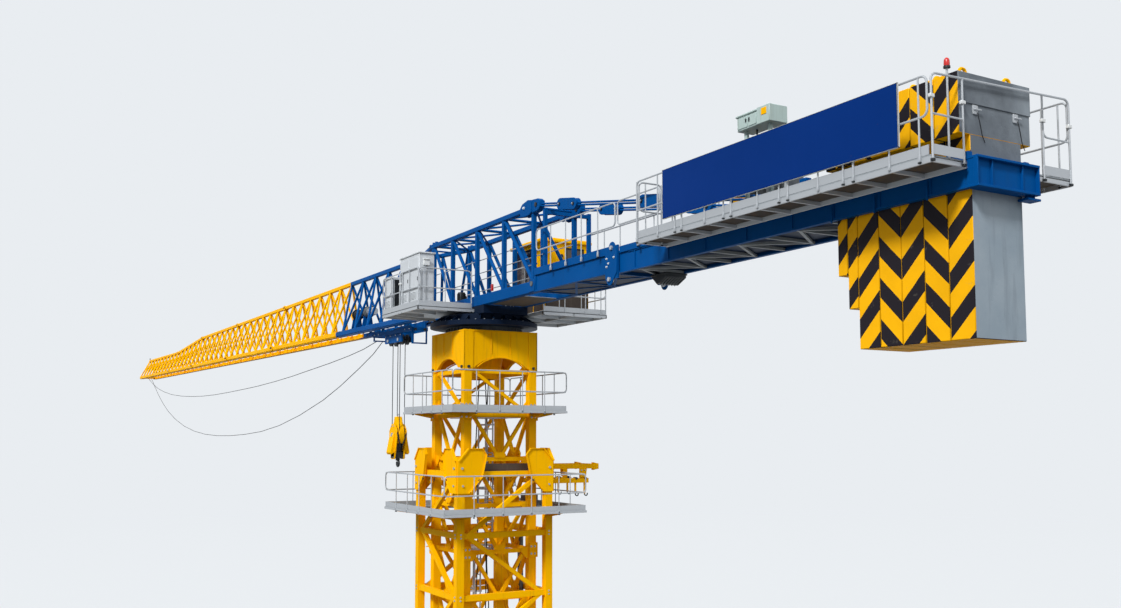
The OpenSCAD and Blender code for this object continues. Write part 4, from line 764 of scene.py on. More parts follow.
@dataclass
class Studio:
    """A pale floor that runs into a pale background, and soft daylight."""

    tone: str = "E9EDF1"
    reach: float = 90.0

    def seen(self, tree: bpy.types.NodeTree) -> bpy.types.NodeSocket:
        """Gives 1 for what the camera sees, also through glass or in a gloss, and 0 for the light on the object."""
        path = add_node(tree, "ShaderNodeLightPath", {})
        found = path.outputs["Is Camera Ray"]
        for ray in ("Is Glossy Ray", "Is Transmission Ray"):
            found = add_node(tree, "ShaderNodeMath", {"operation": "MAXIMUM"},
                             {0: found, 1: path.outputs[ray]}).outputs[0]
        return found

    def floor(self) -> None:
        """Lays the floor, which fades into the background far away."""
        bm = bmesh.new()
        bmesh.ops.create_circle(bm, cap_ends=True, segments=96, radius=self.reach)
        mesh = bpy.data.meshes.new("floor")
        bm.to_mesh(mesh)
        bm.free()
        made = bpy.data.objects.new("floor", mesh)
        bpy.context.scene.collection.objects.link(made)
        material = bpy.data.materials.new("studio_floor")
        material.use_nodes = True
        tree = material.node_tree
        shader = tree.nodes["Principled BSDF"]
        shader.inputs["Roughness"].default_value = 0.9
        place = add_node(tree, "ShaderNodeTexCoord", {}).outputs["Object"]
        length = add_node(tree, "ShaderNodeVectorMath", {"operation": "LENGTH"}, {0: place})
        far = add_node(tree, "ShaderNodeMapRange", {"From Min": 6.0, "From Max": 26.0},
                       {0: length.outputs[1]})
        seen = self.seen(tree)
        # Pale to the camera, and darker as a source of light from below, like open ground
        ground = add_node(tree, "ShaderNodeMix", {"data_type": "RGBA", 6: linear("66625D"),
                                                  7: linear("D3D5D6")}, {0: seen})
        tree.links.new(ground.outputs[2], shader.inputs["Base Color"])
        share = add_node(tree, "ShaderNodeMath", {"operation": "MULTIPLY"}, {0: far.outputs[0], 1: seen})
        glow = add_node(tree, "ShaderNodeEmission", {"Color": linear(self.tone), "Strength": 1.0})
        mix = add_node(tree, "ShaderNodeMixShader", {},
                       {0: share.outputs[0], 1: shader.outputs[0], 2: glow.outputs[0]})
        tree.links.new(mix.outputs[0], tree.nodes["Material Output"].inputs["Surface"])
        mesh.materials.append(material)

    def light(self) -> None:
        """Sets the even sky and one soft sun."""
        world = bpy.data.worlds.new("studio")
        bpy.context.scene.world = world
        world.use_nodes = True
        tree = world.node_tree
        sky = tree.nodes["Background"]
        sky.inputs["Color"].default_value = linear("E6EBF1")
        sky.inputs["Strength"].default_value = 0.62
        back = add_node(tree, "ShaderNodeBackground", {"Color": linear(self.tone), "Strength": 1.0})
        mix = add_node(tree, "ShaderNodeMixShader", {}, {0: self.seen(tree), 1: sky.outputs[0],
                                                         2: back.outputs[0]})
        tree.links.new(mix.outputs[0], tree.nodes["World Output"].inputs["Surface"])
        for name, power, turn, spread in (("sun", 3.2, (math.radians(48), 0.0, math.radians(28)), 12.0),
                                          ("fill", 0.5, (math.radians(60), 0.0, math.radians(100)), 40.0)):
            lamp = bpy.data.lights.new(name, "SUN")
            lamp.energy = power
            lamp.angle = math.radians(spread)
            made = bpy.data.objects.new(name, lamp)
            made.rotation_euler = turn
            bpy.context.scene.collection.objects.link(made)

    def build(self) -> None:
        """Lays the floor and sets the light."""
        self.floor()
        self.light()
        bpy.context.scene.view_settings.view_transform = "Standard"


@dataclass
class Ropes:
    """The four falls of the hoist and the two slack travel ropes under the jib."""

    radius: float = 1.2
    fall_x: float = -600.66
    across: float = 30.0
    spread: float = 8.0
    low: float = 2026.0
    high: float = 2316.38
    travel: float = 4550.0

    @staticmethod
    def routes() -> dict[str, tuple[float, list[Flat]]]:
        """Gives each slack rope's distance from the middle plane and its route in that plane."""
        shallow = [
            (-765.6, 40.7), (-772, 40.7), (-900, 24), (-1050, 12), (-1250, 0), (-1500, -12), (-1750, -24),
            (-2000, -33), (-2300, -41), (-2600, -45), (-2900, -48), (-3200, -49), (-3500, -46), (-3800, -38),
            (-4100, -26), (-4400, -8), (-4700, 20), (-4950, 52), (-5150, 90), (-5290, 122), (-5362, 139),
            (-5370.5, 139)]
        deep = [
            (-765.6, 40.7), (-772, 40.7), (-860, 6), (-1000, -34), (-1200, -86), (-1400, -130), (-1700, -180),
            (-2000, -218), (-2300, -242), (-2600, -254), (-2900, -260), (-3200, -260), (-3500, -252),
            (-3800, -234), (-4100, -204), (-4400, -158), (-4650, -106), (-4850, -52), (-5050, 14), (-5220, 80),
            (-5362, 139), (-5370.5, 139)]
        return {"travel_rope_shallow": (-10.0, shallow), "travel_rope_deep": (10.0, deep)}

    def slack(self) -> None:
        for name, (side, route) in self.routes().items():
            points = [Vector((x, side, T + z)) * MM for x, z in route]
            curve = bpy.data.curves.new(name, "CURVE")
            curve.dimensions = "3D"
            curve.bevel_depth = self.radius * MM
            curve.bevel_resolution = 2
            curve.use_fill_caps = True
            spline = curve.splines.new("POLY")
            spline.points.add(len(points) - 1)
            for knot, point in zip(spline.points, points):
                knot.co = (*point, 1.0)
            line = bpy.data.objects.new(name + "_line", curve)
            bpy.context.scene.collection.objects.link(line)
            mesh = bpy.data.meshes.new_from_object(line)
            bpy.data.objects.remove(line)
            bpy.data.curves.remove(curve)
            mesh.materials.clear()
            mesh.materials.append(ROPE.material())
            rope = bpy.data.objects.new(name, mesh)
            bpy.context.scene.collection.objects.link(rope)
            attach(rope, Body.UPPER.value)
            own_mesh(rope)
        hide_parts("slack_ropes")

    def falls(self) -> None:
        """Draws the falls between the trolley's sheaves and the block's."""
        shape = Shape("hoist_falls", ROPE)
        for x in (-1, 1):
            for s in (-1, 1):
                foot = Vector((self.fall_x + x * self.across, s * self.spread, self.low))
                for k in range(8):
                    a = foot + Vector((0, 0, (self.high - self.low) * k / 8))
                    b = foot + Vector((0, 0, (self.high - self.low) * (k + 1) / 8))
                    shape.tube(a, b, self.radius, 8)
        shape.finish_between(Body.TROLLEY, Body.BLOCK,
                             ["hoist_ropes"])

    def build(self) -> None:
        """Draws all ropes."""
        self.slack()
        self.falls()


class RailEnd(Enum):
    """Ways that a rail frame ends at its far side."""

    POST = 0
    RETURN = 1
    LOOP = 2


@dataclass
class Handrail:
    """Bolted rail frames of bent tube with round corners, a toe board and pale clamps between frames."""

    height: float
    bend: float = 9.0
    tube: float = 1.6
    toe: float = 13.0
    clamps: bool = True
    end: RailEnd = RailEnd.RETURN

    def frame(self, shape: Shape, near: Vector, far: Vector) -> None:
        """Adds the bent tube of one frame between two feet."""
        up = Vector((0.0, 0.0, 1.0))
        top, mid, foot = up * (self.height - self.tube), up * self.height * 0.48, -up * 7
        if self.end is RailEnd.POST:
            shape.pipe([near + foot, near + top, far + top, far + foot], self.tube, self.bend)
            shape.tube(near + mid, far + mid, self.tube * 0.85)
        elif self.end is RailEnd.RETURN:
            shape.pipe([near + foot, near + top, far + top, far + mid, near + mid], self.tube, self.bend)
        else:
            half = near.lerp(far, 0.5) + mid
            shape.pipe([half, near + mid, near + top, far + top, far + mid, half], self.tube, self.bend)

    def run(self, shape: Shape, a: Point, b: Point, frames: int, posts: int = 1) -> None:
        """Adds a row of frames.

        Args:
            shape: The piece that they belong to.
            a: Start of the row on the floor.
            b: End of the row on the floor.
            frames: Number of frames.
            posts: Posts within each frame besides its own upright.
        """
        line = steps(a, b, frames)
        along = (line[-1] - line[0]).normalized()
        up = Vector((0.0, 0.0, 1.0))
        side = along.cross(up)
        for k, (start, stop) in enumerate(zip(line, line[1:])):
            near = start + along * (2.6 if k else 0.0)
            far = stop - along * (2.6 if k < frames - 1 else 0.0)
            shape.use(ZINC)
            self.frame(shape, near, far)
            inner = steps(near, far, posts + 1)
            feet = {RailEnd.POST: inner, RailEnd.RETURN: inner[:-1] + [far - along * 14.0],
                    RailEnd.LOOP: inner[1:-1]}[self.end]
            for foot in feet:
                shape.tube(foot - up * 7, foot + up * (self.height - self.tube), self.tube * 0.8)
                shape.box(foot - side * 1.9 - along * 1.9 - up * 7,
                          foot + side * 1.9 + along * 1.9 + up * 2, 0.5)
            shape.use(DARK)
            for foot in (feet[0], feet[-1]):
                shape.box(foot - side * 2.1 - along * 2.1 - up * 9,
                          foot + side * 2.1 + along * 2.1 - up * 7, 0.4)
            if self.clamps and k:
                shape.use(WHITE)
                at = start + up * self.height * 0.7
                reach = Vector([abs(c) for c in (along * 6.0 + side * 2.5 + up * 2.6)])
                shape.box(at - reach, at + reach, 0.8)
        if self.toe > 0:
            shape.use(ZINC)
            lift = up * self.toe / 2
            shape.bar(line[0] + lift - side * 1.2, line[-1] + lift - side * 1.2, 1.2, self.toe)


@dataclass
class SquarePlatform:
    """A square service platform round the mast: tread floor, channel edges, brackets and rails."""

    name: str
    half: float
    inner: float
    floor: float
    rail: float
    rib_at: float
    rib_drop: float
    rib_start: float
    frames: int

    def deck(self, shape: Shape) -> None:
        """Adds the floor plates and their edge channels."""
        z, h, i = self.floor, self.half, self.inner
        # Dark underside plates: painted shade under the floor, with grime
        shape.use(UNDERSIDE_SHADE_AND_GRIME)
        for s in (-1, 1):
            low, high = sorted((s * (i + 3), s * (h - 3)))
            shape.box((-h + 3, low, z - 2.7), (h - 3, high, z - 2.1))
            shape.box((low, -i, z - 2.7), (high, i, z - 2.1))
        shape.use(TREAD)
        for s in (-1, 1):
            low, high = sorted((s * i, s * (h - 1)))
            shape.box((-h + 1, low, z - 2.2), (h - 1, high, z), 0.4)
            shape.box((low, -i, z - 2.2), (high, i, z), 0.4)
        shape.use(ZINC)
        for s in (-1, 1):
            for edge in (h - 1.5, i + 2.0):
                shape.bar((-h if edge > i + 5 else -i, s * edge, z - 2.8),
                          (h if edge > i + 5 else i, s * edge, z - 2.8), 2.4, 5.6, 0.5)
                shape.bar((s * edge, -edge, z - 2.8), (s * edge, edge, z - 2.8), 2.4, 5.6, 0.5)
            for u in (-0.62, -0.2, 0.2, 0.62):
                low, high = sorted((s * i, s * (h - 2)))
                shape.box((u * h - 1.5, low, z - 4), (u * h + 1.5, high, z - 2), 0.0)

    def ribs(self, shape: Shape) -> None:
        """Adds the brackets that carry the floor."""
        shape.use(YELLOW)
        z = self.floor - 4
        for s in (-1, 1):
            for e in (-1, 1):
                line = [(e * self.rib_start, z), (e * (self.half - 6), z), (e * (self.half - 6), z - 4),
                        (e * (self.rib_start + 8), z - self.rib_drop),
                        (e * self.rib_start, z - self.rib_drop)]
                shape.plate(line, Axis.Y, s * self.rib_at - 1.8, s * self.rib_at + 1.8, 0.4)
                shape.plate(line, Axis.X, s * self.rib_at - 1.8, s * self.rib_at + 1.8, 0.4)
                foot = (e * (self.rib_start + 1.0), s * self.rib_at, z - self.rib_drop * 0.5)
                shape.bolts([foot], (e, 0, 0), 2.6)
                shape.bolts([(foot[1], foot[0], foot[2])], (0, e, 0), 2.6)

    def rails(self, shape: Shape) -> None:
        """Adds the rails on all four sides."""
        rail = Handrail(self.rail, end=RailEnd.LOOP)
        e = self.half - 2.2
        corners = [(-e, -e), (e, -e), (e, e), (-e, e)]
        for (x0, y0), (x1, y1) in zip(corners, corners[1:] + corners[:1]):
            rail.run(shape, (x0, y0, self.floor), (x1, y1, self.floor), self.frames, 4)

    def build(self) -> None:
        """Makes the platform."""
        shape = Shape(self.name + "_frame", ZINC)
        self.deck(shape)
        self.ribs(shape)
        self.rails(shape)
        shape.finish(Body.MAST, "galvanised_steel", [self.name])


@dataclass
class RearWalkways:
    """The walkway behind the sign, the rails along the rear girders and the far rear platform."""

    front: float = 898.0
    rear: float = 1561.0
    outer: float = 128.0
    web: float = 59.0
    floor: float = T + 91.0

    def planks(self, shape: Shape, low: Flat, high: Flat, joints: int) -> None:
        """Adds a stretch of tread floor on channels.

        Args:
            shape: The piece that it belongs to.
            low: Lowest x and y.
            high: Highest x and y.
            joints: Number of cross channels.
        """
        z = self.floor
        # Dark underside plate: painted shade under the floor, with grime
        shape.use(UNDERSIDE_SHADE_AND_GRIME).box((low[0] + 1, low[1] + 1, z - 2.7), (high[0] - 1, high[1] - 1, z - 2.1))
        shape.use(TREAD).box((low[0], low[1], z - 2.2), (high[0], high[1], z), 0.4)
        shape.use(ZINC)
        for y in (low[1] + 1.3, high[1] - 1.3):
            shape.bar((low[0], y, z - 5.5), (high[0], y, z - 5.5), 2.4, 9.0, 0.4)
        for p in steps((low[0] + 2, 0, 0), (high[0] - 2, 0, 0), joints):
            shape.bar((p.x, low[1] + 2, z - 6), (p.x, high[1] - 2, z - 6), 3.0, 6.0, 0.4)

    def walkway(self) -> None:
        """Makes the walkway behind the sign."""
        shape = Shape("walkway_frame", ZINC)
        self.planks(shape, (self.front, -self.outer), (self.rear, -61.0), 10)
        rail = Handrail(104.5)
        y = -self.outer - 0.9
        rail.run(shape, (self.front + 3, y, self.floor), (self.rear - 3, y, self.floor), 5, 1)
        rail.run(shape, (self.front + 4, -76.0, self.floor), (self.front + 4, y + 4, self.floor), 1, 0)
        self.rear_rail(shape)
        shape.finish(Body.UPPER, "galvanised_steel", ["walkway"])

    def rear_rail(self, shape: Shape) -> None:
        """Adds the long rail behind the slabs, its posts, its loop and its toe board."""
        x, z, top = self.rear + 3.0, self.floor, self.floor + 104.5
        shape.use(ZINC).pipe([(x, -self.outer, z - 6), (x, -self.outer, top), (x, 147.0, top + 8),
                              (x, 147.0, z - 6)], 1.6, 9.0)
        shape.pipe([(x, -self.outer, z + 52), (x, -70.0, z + 52), (x, -70.0, z - 6)], 1.4, 3.0)
        shape.pipe([(x, 90.0, top + 5), (x, 90.0, z + 52), (x, 144.0, z + 52)], 1.4, 9.0)
        for y in (-70.0, 90.0):
            shape.tube((x, y, z - 6), (x, y, top + (2 if y < 0 else 6)), 1.4)
        shape.box((x - 1, -self.outer, z), (x + 0.2, -70.0, z + 13), 0.2)
        shape.box((x - 1, 88.0, z), (x + 0.2, 147.0, z + 13), 0.2)
        shape.use(DARK)
        for y in (-self.outer, -70.0, 90.0, 147.0):
            shape.box((x - 2.4, y - 2.4, z - 9.6), (x + 2.4, y + 2.4, z - 6), 0.4)
        shape.use(WHITE)
        for y in (-self.outer, -70.0, 90.0, 147.0):
            shape.box((x - 2.4, y - 4, z + 72), (x + 2.4, y + 4, z + 77), 0.6)

    def far_platform(self) -> None:
        """Makes the platform on the far side of the slabs."""
        shape = Shape("far_rear_frame", ZINC)
        self.planks(shape, (1310.0, 61.0), (self.rear + 2, 150.0), 4)
        rail = Handrail(112.5)
        rail.run(shape, (1313, 147.8, self.floor), (self.rear, 147.8, self.floor), 3, 1)
        rail.run(shape, (1313, 84, self.floor), (1313, 146, self.floor), 1, 0)
        shape.finish(Body.UPPER, "galvanised_steel", ["far_rear_platform"])

    def girder_rails(self) -> None:
        """Makes the rails on the outside of the rear girders."""
        shape = Shape("girder_rail_frames", ZINC)
        z = T + 104.0
        rail = Handrail(93.5, toe=0.0, end=RailEnd.LOOP, clamps=False)
        for y in (-69, 69):
            rail.run(shape, (411, y, z), (735, y, z), 1, 4)
            rail.run(shape, (744, y, z), (886, y, z), 1, 1)
        shape.finish(Body.UPPER, "galvanised_steel", ["girder_rails"])

    def build(self) -> None:
        """Makes all three."""
        self.walkway()
        self.far_platform()
        self.girder_rails()


@dataclass
class SignPanel:
    """The long sheet sign on the walkway rails, left without words, with a folded rim and rear battens."""

    front: float = 987.0
    rear: float = 1514.0
    low: float = T + 110.0
    high: float = T + 196.0
    face: float = -134.0

    def build(self) -> None:
        """Makes the sheet, its pale rim and its battens."""
        shape = Shape("sign_sheet", SIGN_BLUE)
        shape.box((self.front, self.face, self.low), (self.rear, self.face + 1.4, self.high), 0.3)
        shape.use(WHITE)
        for z in (self.low, self.high - 0.9):
            shape.box((self.front, self.face, z), (self.rear, self.face + 3.0, z + 0.9))
        for x in (self.front, self.rear - 0.9):
            shape.box((x, self.face, self.low), (x + 0.9, self.face + 3.0, self.high))
        shape.use(ZINC)
        for p in steps((self.front + 8, 0, 0), (self.rear - 8, 0, 0), 9):
            shape.box((p.x - 1.5, self.face + 1.2, self.low + 2),
                      (p.x + 1.5, self.face + 3.0, self.high - 2), 0.2)
        for k in (0.12, 0.5, 0.88):
            z = self.low + (self.high - self.low) * k
            shape.box((self.front + 4, self.face + 1.2, z - 1.2), (self.rear - 4, self.face + 2.8, z + 1.2),
                      0.2)
        shape.finish(Body.UPPER, "sign_paint", ["sign_panel"])


@dataclass
class Counterweights:
    """Seven hanging concrete slabs, banded in yellow and black on their two edges."""

    rear: float = 1558.0
    pitch: float = 40.4
    count: int = 5
    short_pitch: float = 20.0
    gap: float = 1.0
    low_half: float = 50.0
    top_half: float = 71.0
    seat: float = T + 128.0
    top: float = T + 210.0
    # Slant and start of the bands on each slab, from the rear
    bands: tuple[Flat, ...] = ((1, 18.0), (-1, 35.5), (1, 25.5), (-1, 41.0), (1, 21.0), (1, 15.5), (1, 46.0))

    def block(self, shape: Shape, low: Point, high: Point, number: int) -> None:
        """Adds one block with banded sides, a concrete rear and a yellow underside.

        Args:
            shape: The piece that it belongs to.
            low: Lowest corner.
            high: Highest corner.
            number: Number of its slab, 0 at the rear.
        """
        lean, start = self.bands[number]
        marks = []
        raised = high[2] > self.seat + 1
        rear = SLAB if not raised else DARK_SLAB
        bands = HazardPaint(f"warning_bands_{number + 1}", "FFBA00", 0.7, specular=0.15, lean=lean, start=start)
        for finish in (rear if number == 0 else YELLOW, DARK_SLAB, YELLOW, bands):
            shape.use(finish)
            marks.append(shape.current)
        part = bmesh.new()
        middle = (Vector(low) + Vector(high)) / 2
        size = Vector(high) - Vector(low)
        bmesh.ops.create_cube(part, size=1.0, matrix=Matrix.Translation(middle) @ Matrix.Diagonal((*size,
                                                                                                   1.0)))
        shape.soften(part, 0.9)
        part.normal_update()
        for face in part.faces:
            ahead = (face.normal.x > 0.9, face.normal.z > 0.9 or face.normal.x < -0.9, face.normal.z < -0.9,
                     True)
            face.material_index = marks[ahead.index(True)]
        shape.take(part, keep_index=True)

    def build(self) -> None:
        """Makes the slabs and what is fixed to them."""
        shape = Shape("ballast_slabs", SLAB)
        x = self.rear
        plan = [(self.pitch, T - 138.0)] * self.count
        plan += [(self.short_pitch, T - 78.0), (self.short_pitch, T - 27.0)]
        for number, (thick, low) in enumerate(plan):
            front = x - thick + self.gap
            self.block(shape, (front, -self.low_half, low), (x, self.low_half, self.seat + 0.5), number)
            if number == 0:
                shape.use(DARK_SLAB).box((x - 1, 0.5 - self.low_half, T + 97),
                                         (x + 0.3, self.low_half - 0.5, self.seat), 0.0)
            self.block(shape, (front, -self.top_half, self.seat), (x, self.top_half, self.top), number)
            if thick > 30:
                shape.use(YELLOW)
                for y in (-44.0, 44.0):
                    mid = x - thick * 0.35
                    shape.pipe([(mid, y - 6, self.top - 2), (mid, y - 6, self.top + 11),
                                (mid, y + 6, self.top + 11), (mid, y + 6, self.top - 2)], 2.2, 5.0)
            x -= thick
        self.rear_face(shape)
        shape.finish(Body.UPPER, "concrete", ["counterweights"])

    def rear_face(self, shape: Shape) -> None:
        """Adds the raised upper part, the two brackets and their hanging cables on the last slab."""
        x = self.rear
        shape.use(DARK_SLAB).box((x - 0.5, -self.top_half, self.top - 41),
                                 (x + 1.6, self.top_half, self.top - 0.6), 0.5)
        for y in (-40.0, 40.0):
            shape.use(ZINC)
            z = self.top - 46
            shape.box((x - 0.2, y - 5, z - 8), (x + 1.8, y + 5, z + 4), 0.4)
            shape.pipe([(x + 1, y - 3, z - 2), (x + 3.4, y - 3, z - 2), (x + 3.4, y + 9, z - 2)], 1.1, 1.2)
            shape.use(RUBBER).pipe([(x + 3, y + 2, z - 6), (x + 4, y + 4, z - 16),
                                    (x + 2.6, y + 10, z - 34), (x + 2.2, y + 16, z - 44)], 0.55, 5.0, 6)


@dataclass
class Beacon:
    """The red warning lamp on its post at the rear of the walkway."""

    at: Point = (1546.0, -76.0, T + 93.0)
    top: float = T + 231.0

    def build(self) -> None:
        """Makes the post and the lamp."""
        x, y, z = self.at
        shape = Shape("warning_beacon", ZINC)
        shape.tube((x, y, z - 3), (x, y, self.top - 14), 1.5)
        shape.box((x - 4, y - 4, z - 3), (x + 4, y + 4, z - 1), 0.3)
        shape.use(DARK).lathe([(0, -1.5), (4.6, -1.5), (4.6, 1.0), (3.6, 1.6), (0, 1.6)],
                              (x, y, self.top - 14), (x, y, self.top), 16)
        shape.use(RED).lathe([(0, 0), (3.8, 0), (4.0, 2.2), (3.8, 7.0), (3.0, 9.4), (1.5, 10.8), (0, 11.2)],
                             (x, y, self.top - 12.6), (x, y, self.top), 16)
        shape.finish(Body.UPPER, "galvanised_steel")


@dataclass
class MastDetail:
    """Joint bolts, node plates and safety hoops of the mast sections."""

    base: float = 40.0
    section: float = 340.0
    count: int = 6
    half: float = 100.0
    leg: float = 20.0
    collar: float = 3.0

    def joints(self, shape: Shape) -> None:
        """Adds the bolted sleeves of every joint on the two outer faces of each leg."""
        out = self.half + self.collar
        for k in range(self.count + 1):
            z = self.base + k * self.section
            rows = (z + 9.0,) if k == 0 else (z - 9.0,) if k == self.count else (z - 9.0, z + 9.0)
            for sx in (-1, 1):
                for sy in (-1, 1):
                    for row in rows:
                        for d in (5.0, 15.0):
                            u = self.half - d
                            shape.use(ZINC).bolts([(sx * u, sy * out, row)], (0, sy, 0), 3.4, 2.4)
                            shape.bolts([(sx * out, sy * u, row)], (sx, 0, 0), 3.4, 2.4)
                    if 0 < k < self.count:
                        shape.use(YELLOW)
                        side = sx * (out + 0.2)
                        shape.box((side - 1.0, sy * self.half - 11.5, z - 1.2),
                                  (side + 1.0, sy * self.half + 2.0 * sy, z + 1.2))

    def node_plates(self, shape: Shape) -> None:
        """Adds the small plates where the lattice bars meet."""
        shape.use(YELLOW)
        reach = self.half - self.leg
        panel = self.section / 3
        for i in range(1, self.count * 3):
            z = self.base + i * panel
            for turn in range(4):
                place = Matrix.Rotation(math.radians(90 * turn), 4, "Z")
                for s in (-1, 1):
                    line = [(s * reach, z - 20), (s * (reach - 6), z - 20), (s * (reach - 22), z - 2),
                            (s * (reach - 22), z + 6), (s * reach, z + 8)]
                    shape.plate(line, Axis.Y, -96.4, -94.8, turn=place)
                line = [(-13, z + 3), (13, z + 3), (17, z + 12), (10, z + 17), (-10, z + 17), (-17, z + 12)]
                shape.plate(line, Axis.Y, -96.4, -94.8, turn=place)

    def hoops(self) -> None:
        """Makes the round safety hoops of each ladder and their uprights."""
        shape = Shape("ladder_hoops", ZINC)
        for k in range(1, self.count + 1):
            low = self.base + (k - 1) * self.section + (0 if k == 1 else 2)
            x = 34.0 if k % 2 == 0 else -34.0
            ring = [(x + px, py) for px, py in arc((0, 0), 30.0, 180.0, 360.0, 10)]
            for h in steps((0, 0, low + 70), (0, 0, low + self.section - 30), 3):
                line = [(x - 22, -1.5, h.z)] + [(px, py, h.z) for px, py in ring] + [(x + 22, -1.5, h.z)]
                for a, b in zip(line, line[1:]):
                    shape.bar(a, b, 0.9, 4.0)
            for turn in (215, 270, 325):
                px, py = x + 30 * math.cos(math.radians(turn)), 30 * math.sin(math.radians(turn))
                shape.bar((px, py, low + 68), (px, py, low + self.section - 28), 3.0, 0.9)
        shape.finish(Body.MAST, "galvanised_steel")

    def build(self) -> None:
        """Makes the mast's details."""
        shape = Shape("mast_joint_bolts", ZINC)
        self.joints(shape)
        shape.finish(Body.MAST, "galvanised_steel")
        plates = Shape("mast_node_plates", YELLOW)
        self.node_plates(plates)
        plates.finish(Body.MAST, "yellow_paint")
        self.hoops()


@dataclass
class SupportDetail:
    """Edge flanges, creases, arches and pin lugs of the slewing support, and the cables in it."""

    half: float = 100.0
    top: float = T
    band: float = 60.0
    foot: float = T - 206.0

    def side(self, shape: Shape, place: Matrix) -> None:
        """Adds the details of one side.

        Args:
            shape: The piece that they belong to.
            place: Turn from the -Y side.
        """
        h = self.half
        z = self.top
        shape.plate([(-h - 1.6, z - 3.4), (h + 1.6, z - 3.4), (h + 1.6, z - 0.2), (-h - 1.6, z - 0.2)],
                    Axis.Y, -h - 1.8, -h + 0.5, turn=place)
        for s in (-1, 1):
            line = [(s * (h + 1.6), z - 0.4), (s * (h - 23), z - 0.4), (s * (h - 23), z - 84),
                    (s * (h - 21), z - 100), (s * (h + 1.6), z - 100)]
            shape.plate(line, Axis.Y, -h - 1.6, -h + 0.5, turn=place)
            shape.plate([(s * 26, z - 4), (s * 28, z - 4), (s * 28, z - 58), (s * 26, z - 58)], Axis.Y,
                        -h - 1.5, -h, turn=place)
            low = self.foot
            line = [(s * (h - 20), low + 10), (s * (h - 40), low + 10), (s * (h - 20), low + 34)]
            shape.plate(line, Axis.Y, -92.0, -86.0, turn=place)
            line = [(s * (h - 20), z - 97), (s * (h - 42), z - 97), (s * (h - 20), z - 74)]
            shape.plate(line, Axis.Y, -92.0, -86.0, turn=place)
        edge = [(x, y) for x, y in arc((0, z - 60 - 34 + 28 - 98.8), 98.8, 48.5, 131.5, 16)]
        inner = [(x, y - 2.4) for x, y in reversed(edge)]
        shape.plate(edge + inner, Axis.Y, -h - 2.0, -h + 6.0, turn=place)

    def pins(self, shape: Shape) -> None:
        """Adds the dark pins at the springing of the arches and the bolts at the foot."""
        for sx in (-1, 1):
            for sy in (-1, 1):
                for z in (self.top - 92, ):
                    at = (sx * (self.half - 10), sy * (self.half + 1.6), z)
                    shape.use(DARK).tube(at, (at[0], at[1] + sy * 3.4, z), 3.6, 14)
                    side = (sx * (self.half + 1.6), sy * (self.half - 10), z)
                    shape.tube(side, (side[0] + sx * 3.4, side[1], z), 3.6, 14)
                shape.use(ZINC)
                for z in (self.foot + 9, self.foot + 22):
                    for d in (5.0, 15.0):
                        u = self.half - d
                        shape.bolts([(sx * u, sy * self.half, z)], (0, sy, 0), 3.2, 2.2)
                        shape.bolts([(sx * self.half, sy * u, z)], (sx, 0, 0), 3.2, 2.2)

    def cables(self) -> None:
        """Makes the power cables that hang down the middle of the mast."""
        shape = Shape("hanging_cables", RUBBER)
        for x, y, low, sway in ((10.0, -14.0, 1180.0, 7.0), (-14.0, 8.0, 1330.0, -6.0),
                                (4.0, 16.0, 1500.0, 5.0)):
            line = [(x, y, self.top - 10)]
            for k in range(1, 9):
                z = self.top - 10 - (self.top - 10 - low) * k / 8
                line.append((x + sway * math.sin(k * 1.3), y + sway * math.cos(k * 1.7) - sway, z))
            shape.pipe(line, 1.5, 20.0, 8)
        shape.finish(Body.MAST, "dark_steel")

    def build(self) -> None:
        """Makes the support's details."""
        shape = Shape("support_flanges", YELLOW)
        for turn in range(4):
            self.side(shape, Matrix.Rotation(math.radians(90 * turn), 4, "Z"))
        self.pins(shape)
        shape.finish(Body.MAST, "yellow_paint")
        self.cables()


